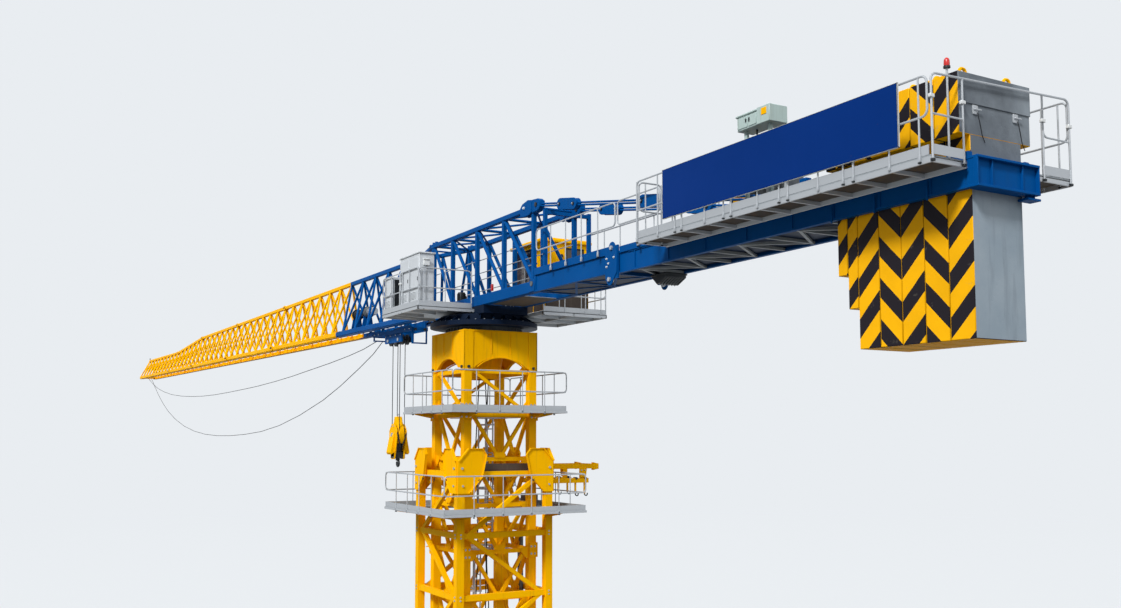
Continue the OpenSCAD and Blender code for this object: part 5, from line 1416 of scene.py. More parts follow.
@dataclass
class CageDetail:
    """Pins, stiffeners, rollers and bolts of the climbing cage, and the hooks of its loading beams."""

    half: float = 130.0
    top: float = T - 348.0
    low: float = T - 950.0
    panel: float = 147.0

    def corners(self, shape: Shape) -> None:
        """Adds the shoulder stiffeners and pins at the four upper corners."""
        h, z = self.half, self.top
        for turn in range(4):
            place = Matrix.Rotation(math.radians(90 * turn), 4, "Z")
            for s in (-1, 1):
                rim = [(h - 26, z + 56), (h - 64, z + 56), (h - 76, z + 40), (h - 64, z - 14),
                       (h - 28, z - 52)]
                edge = [(s * x, y) for x, y in rim]
                inner = [(s * (x + (1.6 if x < h - 30 else 0)), y - (1.8 if y > z + 50 else -1.2)) for x,
                         y in reversed(rim)]
                shape.use(YELLOW).plate(edge + inner, Axis.Y, -h - 7.0, -h - 3.6, turn=place)
                outer = [(s * h, z + 26), (s * (h - 26), z + 56), (s * (h - 28), z + 53),
                         (s * (h - 2), z + 24)]
                shape.plate(outer, Axis.Y, -h - 7.0, -h - 3.6, turn=place)
                for u, v, r, finish in ((h - 10, z + 8, 3.0, ZINC), (h - 56, z - 22, 3.0, DARK),
                                        (h - 12, z - 34, 2.4, ZINC)):
                    spot = place @ Vector((s * u, -h - 3.8, v))
                    out = place @ Vector((s * u, -h - 6.6, v))
                    shape.use(finish).tube(spot, out, r, 14)

    def guides(self, shape: Shape) -> None:
        """Adds the grey guide rollers between the cage and the mast legs."""
        for z in (self.top - 26, self.low + 20):
            for sx in (-1, 1):
                for sy in (-1, 1):
                    shape.use(BRONZE_GREY)
                    a = (sx * 82, sy * 106.4, z)
                    shape.tube((a[0] - 7, a[1], z), (a[0] + 7, a[1], z), 5.4, 16)
                    b = (sx * 106.4, sy * 82, z)
                    shape.tube((b[0], b[1] - 7, z), (b[0], b[1] + 7, z), 5.4, 16)
                    shape.use(YELLOW).box((a[0] - 10, min(sy * 106, sy * 116), z - 8),
                                          (a[0] - 8, max(sy * 106, sy * 116), z + 8), 0.3)
                    shape.box((a[0] + 8, min(sy * 106, sy * 116), z - 8),
                              (a[0] + 10, max(sy * 106, sy * 116), z + 8), 0.3)
                    shape.box((min(sx * 106, sx * 116), b[1] - 10, z - 8),
                              (max(sx * 106, sx * 116), b[1] - 8, z + 8), 0.3)
                    shape.box((min(sx * 106, sx * 116), b[1] + 8, z - 8),
                              (max(sx * 106, sx * 116), b[1] + 10, z + 8), 0.3)

    def ring_bolts(self, shape: Shape) -> None:
        """Adds the bolts where the rings meet the posts."""
        shape.use(ZINC)
        for i in range(5):
            z = self.low + 7 + i * self.panel
            for sx in (-1, 1):
                for sy in (-1, 1):
                    for v in (z - 4, z + 4):
                        shape.bolts([(sx * 120, sy * self.half, v)], (0, sy, 0), 2.8, 2.0)
                        shape.bolts([(sx * self.half, sy * 120, v)], (sx, 0, 0), 2.8, 2.0)

    def jack(self) -> None:
        """Makes the climbing cylinder with its cross beam and pump, inside the far side of the cage."""
        shape = Shape("climbing_cylinder", YELLOW)
        shape.bar((-108, 108, self.top - 150), (108, 108, self.top - 150), 10, 16, 0.8)
        # A brown sheet across the top of the cage stands for a yellow beam seen in shade: painted shade
        shape.use(BROWN_PANEL).box((106, -85, self.top - 6), (108.5, 95, self.top + 18), 0.5)
        shape.use(BRONZE_GREY).lathe([(0, 0), (9, 0), (9, 6), (7.6, 8), (7.6, 150), (8.6, 152), (8.6, 162),
                                      (0, 162)], (0, 108, self.top - 152), (0, 108, self.top - 400), 20)
        shape.use(ZINC).lathe([(0, 160), (4.2, 160), (4.2, 232), (0, 232)], (0, 108, self.top - 152),
                              (0, 108, self.top - 400), 16)
        shape.use(YELLOW).box((-16, 103, self.top - 398), (16, 113, self.top - 382), 1.0)
        shape.use(BRONZE_GREY).box((-62, 140, self.top - 97.8), (-22, 172, self.top - 66), 1.5)
        shape.tube((-42, 156, self.top - 66), (-42, 156, self.top - 46), 9, 20)
        shape.use(RUBBER).pipe([(-36, 142, self.top - 66), (-36, 142, self.top - 50),
                                (-14, 132, self.top - 60), (-8, 112, self.top - 160)], 1.1, 6.0, 6)
        shape.finish(Body.MAST, "yellow_paint")

    def beams(self) -> None:
        """Makes the hooks, travelling rollers and end plates of the loading beams."""
        shape = Shape("loading_beam_hooks", YELLOW)
        for s in (-1, 1):
            x = s * 45.0
            for y in (245.0, 273.0):
                z = self.top - 31
                shape.use(YELLOW).box((x - 4.5, y - 5, z - 4), (x + 4.5, y + 9, z + 7.5), 0.8)
                shape.use(DARK).tube((x - 7, y + 2, z + 6), (x + 7, y + 2, z + 6), 3.2, 14)
                shape.pipe([(x, y + 2, z - 31), (x, y + 2, z - 38), (x, y + 10, z - 41),
                            (x, y + 11, z - 33)], 1.6, 3.2, 8)
            shape.use(YELLOW).plate([(300, self.top - 4), (316, self.top - 1), (316, self.top + 13),
                                     (300, self.top + 16)], Axis.X, x - 6, x + 6, 0.6)
            for y in (167.0, 267.0):
                shape.plate([(y - 9, self.top - 22), (y + 9, self.top - 22), (y + 12, self.top + 3),
                             (y - 12, self.top + 3)], Axis.X, x + s * 5.2, x + s * 6.8, 0.3)
                shape.use(ZINC).bolts([(x + s * 6.8, y - 5, self.top - 4),
                                       (x + s * 6.8, y + 5, self.top - 4), (x + s * 6.8, y, self.top - 16)],
                                      (s, 0, 0), 2.6)
                shape.use(YELLOW)
        shape.finish(Body.MAST, "yellow_paint")

    def build(self) -> None:
        """Makes the cage's details."""
        shape = Shape("cage_shoulders", YELLOW)
        self.corners(shape)
        self.guides(shape)
        self.ring_bolts(shape)
        shape.finish(Body.MAST, "yellow_paint")
        self.jack()
        self.beams()


@dataclass
class SlewingDetail:
    """Bolt circles, ribs and geared motors of the slewing gear."""

    disc: float = 138.0
    drum: float = 112.0
    bore: float = 46.0

    def circle(self, shape: Shape, radius: float, z: float, count: int, up: float) -> None:
        """Adds a ring of bolt heads."""
        for k in range(count):
            t = math.tau * (k + 0.5) / count
            shape.bolts([(radius * math.cos(t), radius * math.sin(t), z)], (0, 0, up), 3.0, 2.4)

    def build(self) -> None:
        """Makes the bolts and ribs, then the motors."""
        shape = Shape("turntable_ribs", NAVY)
        base = T + 12.3
        for k in range(24):
            t = math.tau * k / 24
            turn = Matrix.Rotation(t, 4, "Z")
            line = [(self.drum - 1, base + 11.5), (self.disc - 3, base + 11.5), (self.disc - 3, base + 14),
                    (self.drum + 3, T + 38), (self.drum - 1, T + 38)]
            shape.plate(line, Axis.Y, -1.2, 1.2, turn=turn)
        shape.use(ZINC)
        self.circle(shape, 127.0, base + 12.0, 36, 1.0)
        shape.finish(Body.UPPER, "navy_paint")
        ring = Shape("bearing_bolts", DARK)
        for k in range(48):
            t = math.tau * k / 48
            c, s = math.cos(t), math.sin(t)
            ring.bar((96.4 * c, 96.4 * s, T + 2.0), (96.4 * c, 96.4 * s, T + 9.5), 4.4, 1.6)
        ring.finish(Body.MAST, "dark_steel")
        self.motors()

    def motors(self) -> None:
        """Makes the two geared slewing motors."""
        shape = Shape("slewing_motors", NAVY)
        for s in (-1, 1):
            x, y, z = s * 82.0, s * 27.0, T + 60.0
            shape.use(NAVY).lathe([(0, 0), (16, 0), (16, 4), (13.5, 5), (13.5, 14), (12, 15), (12, 27),
                                   (13.6, 28), (13.6, 31), (0, 31)], (x, y, z), (x, y, z + 60), 20)
            shape.use(DARK).lathe([(0, 31), (10.4, 31), (10.4, 53), (9, 56), (0, 56)], (x, y, z),
                                  (x, y, z + 60), 20)
            for k in range(14):
                t = math.tau * k / 14
                c, d = math.cos(t), math.sin(t)
                shape.bar((x + 11 * c, y + 11 * d, z + 33), (x + 11 * c, y + 11 * d, z + 52), 0.9, 2.2)
            shape.box((x - 4, y + 9, z + 38), (x + 4, y + 14.5, z + 47), 0.8)
            shape.use(ZINC)
            for k in range(8):
                t = math.tau * k / 8
                shape.bolts([(x + 14.6 * math.cos(t), y + 14.6 * math.sin(t), z + 4)], (0, 0, 1), 1.8, 1.6)
        shape.finish(Body.UPPER, "navy_paint", ["slewing_drives"])


@dataclass
class HeadFrame:
    """The two trusses of the head with their round diagonals, bracing, lugs and rear girder joints."""

    front: float = -215.0
    rear: float = 385.0
    side: float = 53.0
    outer: float = 61.0
    low: float = T + 60.0
    chord: float = T + 86.0
    top: float = T + 256.0
    posts: tuple[float, ...] = (370.0, 220.0, 70.0, -80.0, -205.0)

    def truss(self, s: int, replaces: str) -> None:
        """Makes one truss.

        Args:
            s: Side, -1 near and 1 far.
            replaces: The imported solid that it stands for.
        """
        shape = Shape(f"head_truss_{'near' if s < 0 else 'far'}", BLUE)
        y = s * self.side
        shape.bar((self.front, s * 53.0, self.low + 13), (self.rear, s * 53.0, self.low + 13), 16, 26, 1.2)
        shape.bar((self.front, y, self.top), (self.rear, y, self.top), 12, 12, 1.2)
        for x in self.posts:
            shape.bar((x, y, self.chord - 1), (x, y, self.top - 4), 10, 10, 0.9)
            shape.plate([(x - 17, self.chord - 1), (x + 17, self.chord - 1), (x + 12, self.chord + 15),
                         (x - 12, self.chord + 15)], Axis.Y, y - 1.2, y + 1.2, 0.3)
            shape.plate([(x - 13, self.top - 5), (x + 13, self.top - 5), (x + 8, self.top - 18),
                         (x - 8, self.top - 18)], Axis.Y, y - 1.2, y + 1.2, 0.3)
        for a, b in zip(self.posts, self.posts[1:]):
            shape.tube((a - 4, y, self.chord + 2), (b + 4, y, self.top - 5), 4.5, 14)
        self.lugs(shape, s)
        shape.finish(Body.UPPER, "blue_paint", [replaces])

    def lugs(self, shape: Shape, s: int) -> None:
        """Adds the rounded lugs, pins and collars at the truss's ends."""
        y, x, z = s * self.side, self.rear, self.top
        rim = [(x - 66, z - 12), (x - 54, z - 17), (x - 22, z - 17), (x - 12, z - 11), (x - 12, z + 16),
               (x - 30, z + 19), (x - 56, z + 14), (x - 68, z + 4)]
        for d in (-9.4, 6.6):
            shape.plate(rim, Axis.Y, y + d, y + d + 2.8, 0.8)
        shape.plate([(x - 14, z - 15), (x + 14, z - 13), (x + 24, z - 4), (x + 24, z + 9), (x + 14, z + 15),
                     (x - 14, z + 17)], Axis.Y, y - 7.4, y + 7.4, 1.6)
        shape.plate([(x - 64, z - 10), (x - 12, z - 14), (x - 12, z + 14), (x - 60, z + 8)], Axis.Y,
                    y - 6.8, y + 6.8, 0.6)
        shape.use(DARK).tube((x + 8, y - 9.6, z + 2), (x + 8, y + 9.6, z + 2), 5.0, 16)
        shape.use(WHITE).bolts([(x - 46, y - 9.4, z + 3)], (0, -1, 0), 4.4, 3.6)
        shape.bolts([(x - 46, y + 9.4, z + 3)], (0, 1, 0), 4.4, 3.6)
        shape.use(BLUE)
        foot = arc((x - 8, self.low + 18), 14.0, -20.0, 180.0, 10)
        for d in (-9.4, 7.2):
            shape.plate([(x - 22, self.low + 2), (x + 2, self.low + 2)] + foot, Axis.Y, y + d, y + d + 2.2,
                        0.3)
        shape.use(BRONZE_GREY).tube((x - 8, y - 11.5, self.low + 20), (x - 8, y + 11.5, self.low + 20), 5.6,
                                    18)
        shape.use(BLUE)
        for u in (self.front + 6, self.front + 24):
            shape.tube((u, y, z + 6), (u, y, z + 11), 4.2, 14)

    def bracing(self) -> None:
        """Makes the ties and crossed bars between the two top chords, the floor deck and the guards."""
        shape = Shape("head_cross_bars", BLUE)
        inner = self.side - 5
        for x in self.posts:
            shape.tube((x, -inner, self.top), (x, inner, self.top), 3.5, 12)
            shape.tube((x, -45.0, self.low + 14), (x, 45.0, self.low + 14), 3.5, 10)
        for a, b in zip(self.posts, self.posts[1:]):
            for s in (-1, 1):
                lift = 1.4 * s
                shape.tube((a, s * inner, self.top + lift), (b, -s * inner, self.top + lift), 2.6, 10)
        shape.finish(Body.UPPER, "blue_paint", ["head_bracing"])
        deck = Shape("head_floor_deck", TREAD)
        deck.use(ZINC)
        for s in (-1, 1):
            for z in (T + 128, T + 178):
                deck.tube((-206, s * 45.5, z), (372, s * 45.5, z), 1.3, 8)
        for x0, x1 in ((-213, -130), (130, 300)):
            deck.use(TREAD).box((x0, -45, self.low + 1.2), (x1, 45, self.low + 3), 0.3)
            # Dark underside plate: painted shade under the deck, with grime
            deck.use(UNDERSIDE_SHADE_AND_GRIME).box((x0, -45, self.low + 0.2), (x1, 45, self.low + 1.2), 0.0)
        deck.use(RED).box((-44, 40, self.low + 60), (-36, 45, self.low + 78), 0.8)
        deck.lathe([(0, 0), (3.2, 0), (3.2, 14), (1.6, 17), (0, 17)], (232, 50, self.low + 190),
                   (232, 50, self.low + 250), 12)
        deck.finish(Body.UPPER, "galvanised_steel")

    def build(self) -> None:
        """Makes the head."""
        self.truss(-1, "head_near")
        self.truss(1, "head_far")
        self.bracing()


@dataclass
class GirderDetail:
    """Stiffeners, joint ears, bolts and edge lips of the rear girders and the counter-jib."""

    joint: float = 715.0
    rear: float = 1572.0
    face: float = 59.0
    edge: float = 61.0

    def stiffeners(self, shape: Shape) -> None:
        """Adds upright ribs to the webs."""
        shape.use(BLUE)
        for s in (-1, 1):
            a, b = sorted((s * (self.face - 0.2), s * (self.edge - 0.1)))
            for x in (790, 900, 1010, 1120, 1230, 1320, 1410, 1500):
                shape.box((x - 1.2, a, T + 59), (x + 1.2, b, T + 93), 0.0)
            for x in (1318, 1402, 1496):
                shape.box((x - 1.5, min(s * 61.0, s * 63.4), T + 52),
                          (x + 1.5, max(s * 61.0, s * 63.4), T + 78), 0.3)

    def joints(self, shape: Shape) -> None:
        """Adds the eared joint plates, their pins and bolts."""
        x, z = self.joint, T
        for s in (-1, 1):
            low, high = sorted((s * 65.0, s * 66.8))
            ears = ([(x - 21, z + 54)] + arc((x - 4, z + 46), 12.0, 200.0, 340.0, 8) + [(x + 21, z + 58)]
                    + [(x + 21, z + 96)] + arc((x + 4, z + 108), 12.0, 0.0, 160.0, 8) + [(x - 21, z + 98)])
            shape.use(BLUE).plate(ears, Axis.Y, low, high, 0.4)
            shape.use(WHITE)
            out = s * 66.8
            shape.bolts([(x - 14, out, z + 88), (x - 8, out, z + 78), (x - 14, out, z + 72),
                         (x + 12, out, z + 88)], (0, s, 0), 3.0, 2.4)
            shape.use(ZINC)
            for u, v in ((x - 4, z + 46), (x + 4, z + 108)):
                shape.tube((u, s * 64.0, v), (u, s * 70.4, v), 4.2, 16)
                shape.tube((u, s * 60.0, v), (u, s * 64.5, v), 6.0, 16)

    def lips(self, shape: Shape) -> None:
        """Adds the upright edge plates along the top of the girders that guard the way."""
        shape.use(BLUE)
        for s in (-1, 1):
            low, high = sorted((s * 61.0, s * 62.6))
            shape.box((388, low, T + 97), (690, high, T + 113), 0.4)
            shape.box((740, low, T + 95), (896, high, T + 108), 0.4)

    def deck(self) -> None:
        """Makes the closed deck between the girders: tread plate above, and dark navy below as painted shade."""
        shape = Shape("girder_deck", TREAD)
        for x0, x1 in ((392.0, self.joint - 8), (self.joint + 8, 1300.0)):
            line = steps((x0, 0, 0), (x1, 0, 0), 4)
            for a, b in zip(line, line[1:]):
                shape.use(TREAD).box((a.x, -57.5, T + 64.2), (b.x - 1, 57.5, T + 65.6), 0.3)
                # Dark navy underside: painted shade under the deck
                shape.use(NAVY).box((a.x, -57.5, T + 62.0), (b.x, 57.5, T + 64.2), 0.0)
        shape.finish(Body.UPPER, "galvanised_steel")

    def rear_beam(self, shape: Shape) -> None:
        """Adds the flanges of the rear cross beam and the brackets above it."""
        shape.use(BLUE)
        x = self.rear
        shape.box((x - 14, -61.8, T + 93.0), (x + 6, 61.8, T + 96.4), 0.4)
        shape.box((x - 14, -61.8, T + 55.6), (x + 6, 61.8, T + 59.0), 0.4)
        for y in (-60.6, 60.6):
            shape.box((x - 1, y - 1.2, T + 58), (x + 5.4, y + 1.2, T + 94), 0.3)
        for y in (-30, 30):
            shape.box((x - 1, y - 1.0, T + 58), (x + 3.4, y + 1.0, T + 94), 0.2)
        shape.box((x - 14, 40, T + 49), (x + 3, 66, T + 52), 0.4)
        shape.box((x - 6, 44, T + 51), (x - 3, 62, T + 56), 0.3)

    def build(self) -> None:
        """Makes the girders' details."""
        shape = Shape("girder_stiffeners", BLUE)
        self.stiffeners(shape)
        self.lips(shape)
        self.joints(shape)
        self.rear_beam(shape)
        shape.finish(Body.UPPER, "blue_paint")
        self.deck()


@dataclass
class Jib:
    """The lattice jib: two bottom chords with trolley rails, a top chord and round web tubes."""

    bay: float = 120.0
    root: int = 7
    main: int = 21
    taper: int = 6
    tip: int = 9
    nose: float = 56.0
    half: float = 50.0
    merge: float = 240.0
    head: float = 53.0
    depths: tuple[float, float, float] = (181.0, 155.0, 112.0)
    web: float = 3.9
    joints: tuple[int, ...] = (14, 21, 28, 34)

    @property
    def bays(self) -> int:
        """Number of bays from the root to the tip."""
        return self.root + self.main + self.taper + self.tip

    def depth(self, u: float) -> float:
        """Gives the height of the top chord over the bottom chords at a distance from the root."""
        main = (self.root + self.main) * self.bay
        first, middle, last = self.depths
        if u <= main:
            return first + (middle - first) * u / main
        return middle + (last - middle) * min(1.0, (u - main) / (self.taper * self.bay))

    def top(self, s: int, u: float) -> Vector:
        """Gives a point of the top chord on one side, the two sides' chords meet at merge."""
        return Vector((-u, s * self.head * max(0.0, 1.0 - u / self.merge), self.depth(u)))

    def bottom(self, s: int, u: float) -> Vector:
        """Gives a point of one bottom chord."""
        return Vector((-u, s * self.half, 0.0))

    def webs(self, shape: Shape, first: int, last: int) -> None:
        """Adds the web tubes and their foot plates over a stretch of bays."""
        for s in (-1, 1):
            for i in range(first, last):
                u = i * self.bay
                mid = self.bottom(s, u + self.bay / 2)
                up, down = self.top(s, u), self.top(s, u + self.bay)
                shape.tube(up.lerp(mid, 0.03 if i == 0 else 0.0), mid, self.web, 10)
                shape.tube(mid, down, self.web, 10)
                foot = [(mid.x - 15, 4.5), (mid.x + 15, 4.5), (mid.x + 9, 12), (mid.x - 9, 12)]
                shape.plate(foot, Axis.Y, *sorted((s * (self.half - 0.5), s * (self.half - 2.0))))

    def chords(self, shape: Shape, start: float, stop: float) -> None:
        """Adds the two bottom chords and their rail plates over a stretch."""
        for s in (-1, 1):
            shape.box((-stop, min(s * 44, s * 56), -10.2), (-start, max(s * 44, s * 56), 5.0), 1.3)
            shape.box((-stop, min(s * 32, s * 54), -12.2), (-start, max(s * 32, s * 54), -10.2), 0.3)

    def floor(self, shape: Shape, first: int, last: int) -> None:
        """Adds the cross tubes and zigzag between the bottom chords."""
        for i in range(first, last):
            u = i * self.bay
            shape.tube((-u - 2, -45, 7), (-u - 2, 45, 7), 2.0)
            s = 1 if i % 2 == 0 else -1
            shape.tube((-u - 3, s * 44, 7), (-u - self.bay, -s * 44, 7), 2.0)
        shape.tube((-last * self.bay + 2, -45, 7), (-last * self.bay + 2, 45, 7), 2.0)

    def joint(self, shape: Shape, u: float) -> None:
        """Adds the eye plates and pins of one section joint on all three chords."""
        z = self.depth(u)
        shape.use(YELLOW)
        for s in (-1, 1):
            low, high = sorted((s * 5.6, s * 8.6))
            eyes = arc((-u - 9, z), 8.6, 90.0, 270.0, 8) + arc((-u + 9, z), 8.6, -90.0, 90.0, 8)
            shape.plate(eyes, Axis.Y, low, high, 0.4)
            low, high = sorted((s * 55.6, s * 58.8))
            eyes = arc((-u - 9, 0), 11.0, 90.0, 270.0, 8) + arc((-u + 9, 0), 11.0, -90.0, 90.0, 8)
            shape.plate(eyes, Axis.Y, low, high, 0.4)
        shape.use(DARK)
        for x in (-u - 7, -u + 7):
            shape.tube((x, -10.4, z), (x, 10.4, z), 2.8, 12)
            for s in (-1, 1):
                shape.tube((x, s * 55.8, 0), (x, s * 61.4, 0), 3.4, 12)

    def build_root(self) -> None:
        """Makes the blue root section."""
        end = self.root * self.bay
        shape = Shape("jib_root_lattice", BLUE, JIB)
        self.chords(shape, 0.2, end)
        self.webs(shape, 0, self.root)
        for s in (-1, 1):
            start = self.top(s, 0.0)
            shape.bar((-2.6, start.y, start.z), self.top(s, self.merge), 11, 11, 1.2)
            shape.use(BLUE)
            for d in (-7.2, 5.0):
                eye = arc((-14, self.depth(0) + 1), 7.0, -100.0, 250.0, 12)
                shape.plate(eye, Axis.Y, s * 50 + d, s * 50 + d + 2.2, 0.3)
            shape.use(DARK).tube((-14, s * 50 - 8.8, self.depth(0) + 1),
                                 (-14, s * 50 + 8.8, self.depth(0) + 1), 2.6, 14)
            shape.tube((-10, s * 42, 0), (-10, s * 59.4, 0), 4.2, 14)
            shape.use(BLUE).tube((-10, s * 56, 0), (-10, s * 58, 0), 8.4, 16)
        shape.bar(self.top(1, self.merge) + Vector((6, 0, 0)), self.top(1, end), 12, 13, 1.2)
        for u in (60.0, 120.0, 180.0):
            shape.tube(self.top(-1, u), self.top(1, u), 2.4, 10)
        shape.finish(Body.UPPER, "blue_paint", ["jib_root_near", "jib_root_far"])
        under = Shape("jib_root_floor", BLUE, JIB)
        self.floor(under, 0, self.root)
        under.finish(Body.UPPER, "blue_paint", ["jib_root_bottom"])

    def build_main(self) -> None:
        """Makes the yellow sections out to the tip."""
        start, stop = self.root * self.bay, self.bays * self.bay
        shape = Shape("jib_lattice", YELLOW, JIB)
        self.chords(shape, start, stop + self.nose)
        self.webs(shape, self.root, self.bays)
        breaks = [start, (self.root + self.main) * self.bay,
                  (self.root + self.main + self.taper) * self.bay, stop + 6]
        for a, b in zip(breaks, breaks[1:]):
            shape.bar(self.top(1, a), self.top(1, b), 12, 13, 1.2)
        for s in (-1, 1):
            shape.tube(self.top(1, stop), (-stop - self.nose + 6, s * self.half, 4), self.web, 10)
        for i in self.joints:
            self.joint(shape, i * self.bay)
        self.end(shape, stop)
        shape.finish(Body.UPPER, "yellow_paint", ["jib_near", "jib_far"])
        under = Shape("jib_floor", YELLOW, JIB)
        self.floor(under, self.root, self.bays)
        under.box((-stop, -14.0, -12.0), (-stop + 4, 14.0, 9.0), 0.3)
        under.finish(Body.UPPER, "yellow_paint", ["jib_bottom"])

    def end(self, shape: Shape, stop: float) -> None:
        """Adds the end plate, the buffers and the small lamp at the tip."""
        x = -stop - self.nose
        shape.use(YELLOW).box((x, -44.5, -9), (x + 4, 44.5, 8), 0.5)
        shape.use(DARK)
        for s in (-1, 1):
            shape.tube((x + 10, s * 38, -6), (x + 22, s * 38, -6), 4.5, 14)
        shape.use(ZINC).tube((-stop - 2, 0, self.depth(stop) + 5), (-stop - 2, 0, self.depth(stop) + 12),
                             2.0, 10)
        shape.use(DARK).tube((-stop - 2, 0, self.depth(stop) + 12), (-stop - 2, 0, self.depth(stop) + 19),
                             3.6, 12)

    def build(self) -> None:
        """Makes the jib."""
        self.build_root()
        self.build_main()


@dataclass
class TrolleyWinch:
    """The small winch in the jib root that pulls the trolley: drum, motor and gear case."""

    at: float = 700.0
    axis: float = 62.0
    seat: float = 9.0

    def build(self) -> None:
        """Makes the winch."""
        shape = Shape("trolley_winch_set", DARK, JIB @ Matrix.Translation((-self.at, 0.0, 0.0)))
        z = self.axis
        shape.use(BLUE).box((-95, -22, self.seat), (95, 22, self.seat + 4), 0.5)
        for x in (-84, 22):
            line = [(-20, self.seat + 3), (20, self.seat + 3)] + arc((0, z), 12.0, 0.0, 180.0, 10)
            shape.plate(line, Axis.X, x, x + 4, 0.4)
        shape.use(DARK)
        rings = [(0.0, 0.0), (20.0, 0.0), (20.0, 3.0)]
        for k in range(24):
            rings += [(15.2, 3.4 + 4.0 * k), (14.4, 5.4 + 4.0 * k)]
        rings += [(20.0, 100.0), (20.0, 103.0), (0.0, 103.0)]
        shape.lathe(rings, (-79, 0, z), (0, 0, z), 24)
        shape.use(BRONZE_GREY).lathe([(0, 0), (18, 0), (18, 16), (15, 20), (0, 20)], (27, 0, z), (95, 0, z),
                                     20)
        shape.use(ZINC).lathe([(0, 0), (13, 0), (13, 40), (11.5, 45), (0, 45)], (47, 0, z), (95, 0, z), 20)
        for k in range(16):
            t = math.tau * k / 16
            c, d = 13.4 * math.cos(t), 13.4 * math.sin(t)
            shape.bar((50, c, z + d), (84, c, z + d), 0.9, 1.6)
        shape.use(DARK).box((58, -5, z + 12), (72, 5, z + 18), 0.6)
        shape.finish(Body.UPPER, "dark_steel", ["trolley_winch"])


@dataclass
class NearPlatform:
    """The platform on the near side of the turntable with the two switch cabinets."""

    front: float = -177.0
    rear: float = 70.0
    outer: float = -212.0
    inner: float = -61.0
    floor: float = T + 55.0

    def frame(self) -> None:
        """Makes the floor, its channels, its brackets and its rails."""
        shape = Shape("near_platform_frame", TREAD)
        z = self.floor
        shape.box((self.front, self.outer, z - 2.2), (self.rear, self.inner, z), 0.4)
        shape.use(ZINC)
        for x in (self.front + 1.3, self.rear - 1.3):
            shape.bar((x, self.outer, z - 4.5), (x, self.inner, z - 4.5), 2.6, 9.0, 0.4)
        shape.bar((self.front, self.outer + 1.3, z - 4.5), (self.rear, self.outer + 1.3, z - 4.5), 2.6, 9.0,
                  0.4)
        for x in (self.front + 34, -96.0, -16.0, self.rear - 16):
            shape.plate([(self.outer + 2, z - 2), (-128, z - 2), (-128, z - 10), (self.outer + 2, z - 7)],
                        Axis.X, x - 2, x + 2, 0.3)
        rail = Handrail(96.0, bend=11.0)
        edge = self.outer + 2.0
        rail.run(shape, (self.rear - 2, -68, z), (self.rear - 2, edge, z), 1, 1)
        rail.run(shape, (self.rear - 2, edge, z), (self.front + 2, edge, z), 2, 1)
        rail.run(shape, (self.front + 2, edge, z), (self.front + 2, -68, z), 1, 1)
        shape.finish(Body.UPPER, "galvanised_steel", ["near_platform"])

    def cabinet(self, shape: Shape, low: Point, high: Point, doors: int) -> None:
        """Adds a cabinet with doors on its outer side.

        Args:
            shape: The piece that it belongs to.
            low: Lowest corner.
            high: Highest corner.
            doors: Number of doors.
        """
        shape.use(PALE_GREY).box(low, high, 1.2)
        width = (high[0] - low[0]) / doors
        for k in range(doors):
            x = low[0] + width * k
            shape.use(PALE_GREY).box((x + 2.5, low[1] - 1.3, low[2] + 5),
                                     (x + width - 2.5, low[1] + 1, high[2] - 8), 0.6)
            shape.use(DARK).box((x + width - 8, low[1] - 2.6, (low[2] + high[2]) / 2 - 4),
                                (x + width - 6, low[1] - 1, (low[2] + high[2]) / 2 + 5), 0.3)
            shape.use(PALE_GREY)
            for n in range(6):
                z = low[2] + 14 + 3.2 * n
                shape.box((x + 9, low[1] - 2.3, z), (x + width - 14, low[1] - 1.1, z + 1.6), 0.3)

    def cabinets(self) -> None:
        """Makes both cabinets, the small box on the main one and the cable entries."""
        shape = Shape("switch_cabinets", PALE_GREY)
        z = self.floor
        self.cabinet(shape, (-64, -206, z + 5), (62, -166, z + 130), 2)
        shape.box((-67, -208, z + 130), (65, -163, z + 134), 1.0)
        shape.use(WHITE).box((61.5, -196, z + 100), (68, -180, z + 116), 1.0)
        shape.box((66, -197, z + 114), (70, -179, z + 117), 0.5)
        shape.use(PALE_GREY).box((61.6, -203, z + 10), (62.8, -169, z + 92), 0.4)
        shape.use(DARK)
        for x in (-60, 46):
            shape.box((x, -203, z), (x + 12, -169, z + 5.5), 0.4)
        shape.box((-44, -200, z + 0.2), (42, -172, z + 5.2), 0.0)
        self.cabinet(shape, (-169, -206, z + 2), (-119, -166, z + 95), 1)
        shape.use(DARK).box((-119.5, -200, z + 8), (-118.2, -172, z + 88), 0.3)
        shape.use(RUBBER)
        for y in (-190, -182, -174):
            shape.pipe([(-92, y, z + 0.5), (-92, y, z + 24), (-66, y, z + 24)], 1.6, 9.0)
        for y in (-160, -154):
            shape.pipe([(20, -167, z + 30), (20, y, z + 30), (20, y, z + 2), (24, -70, z + 2)], 1.6, 5.0)
        shape.finish(Body.UPPER, "grey_paint", ["cabinets"])

    def build(self) -> None:
        """Makes the platform and what stands on it."""
        self.frame()
        self.cabinets()


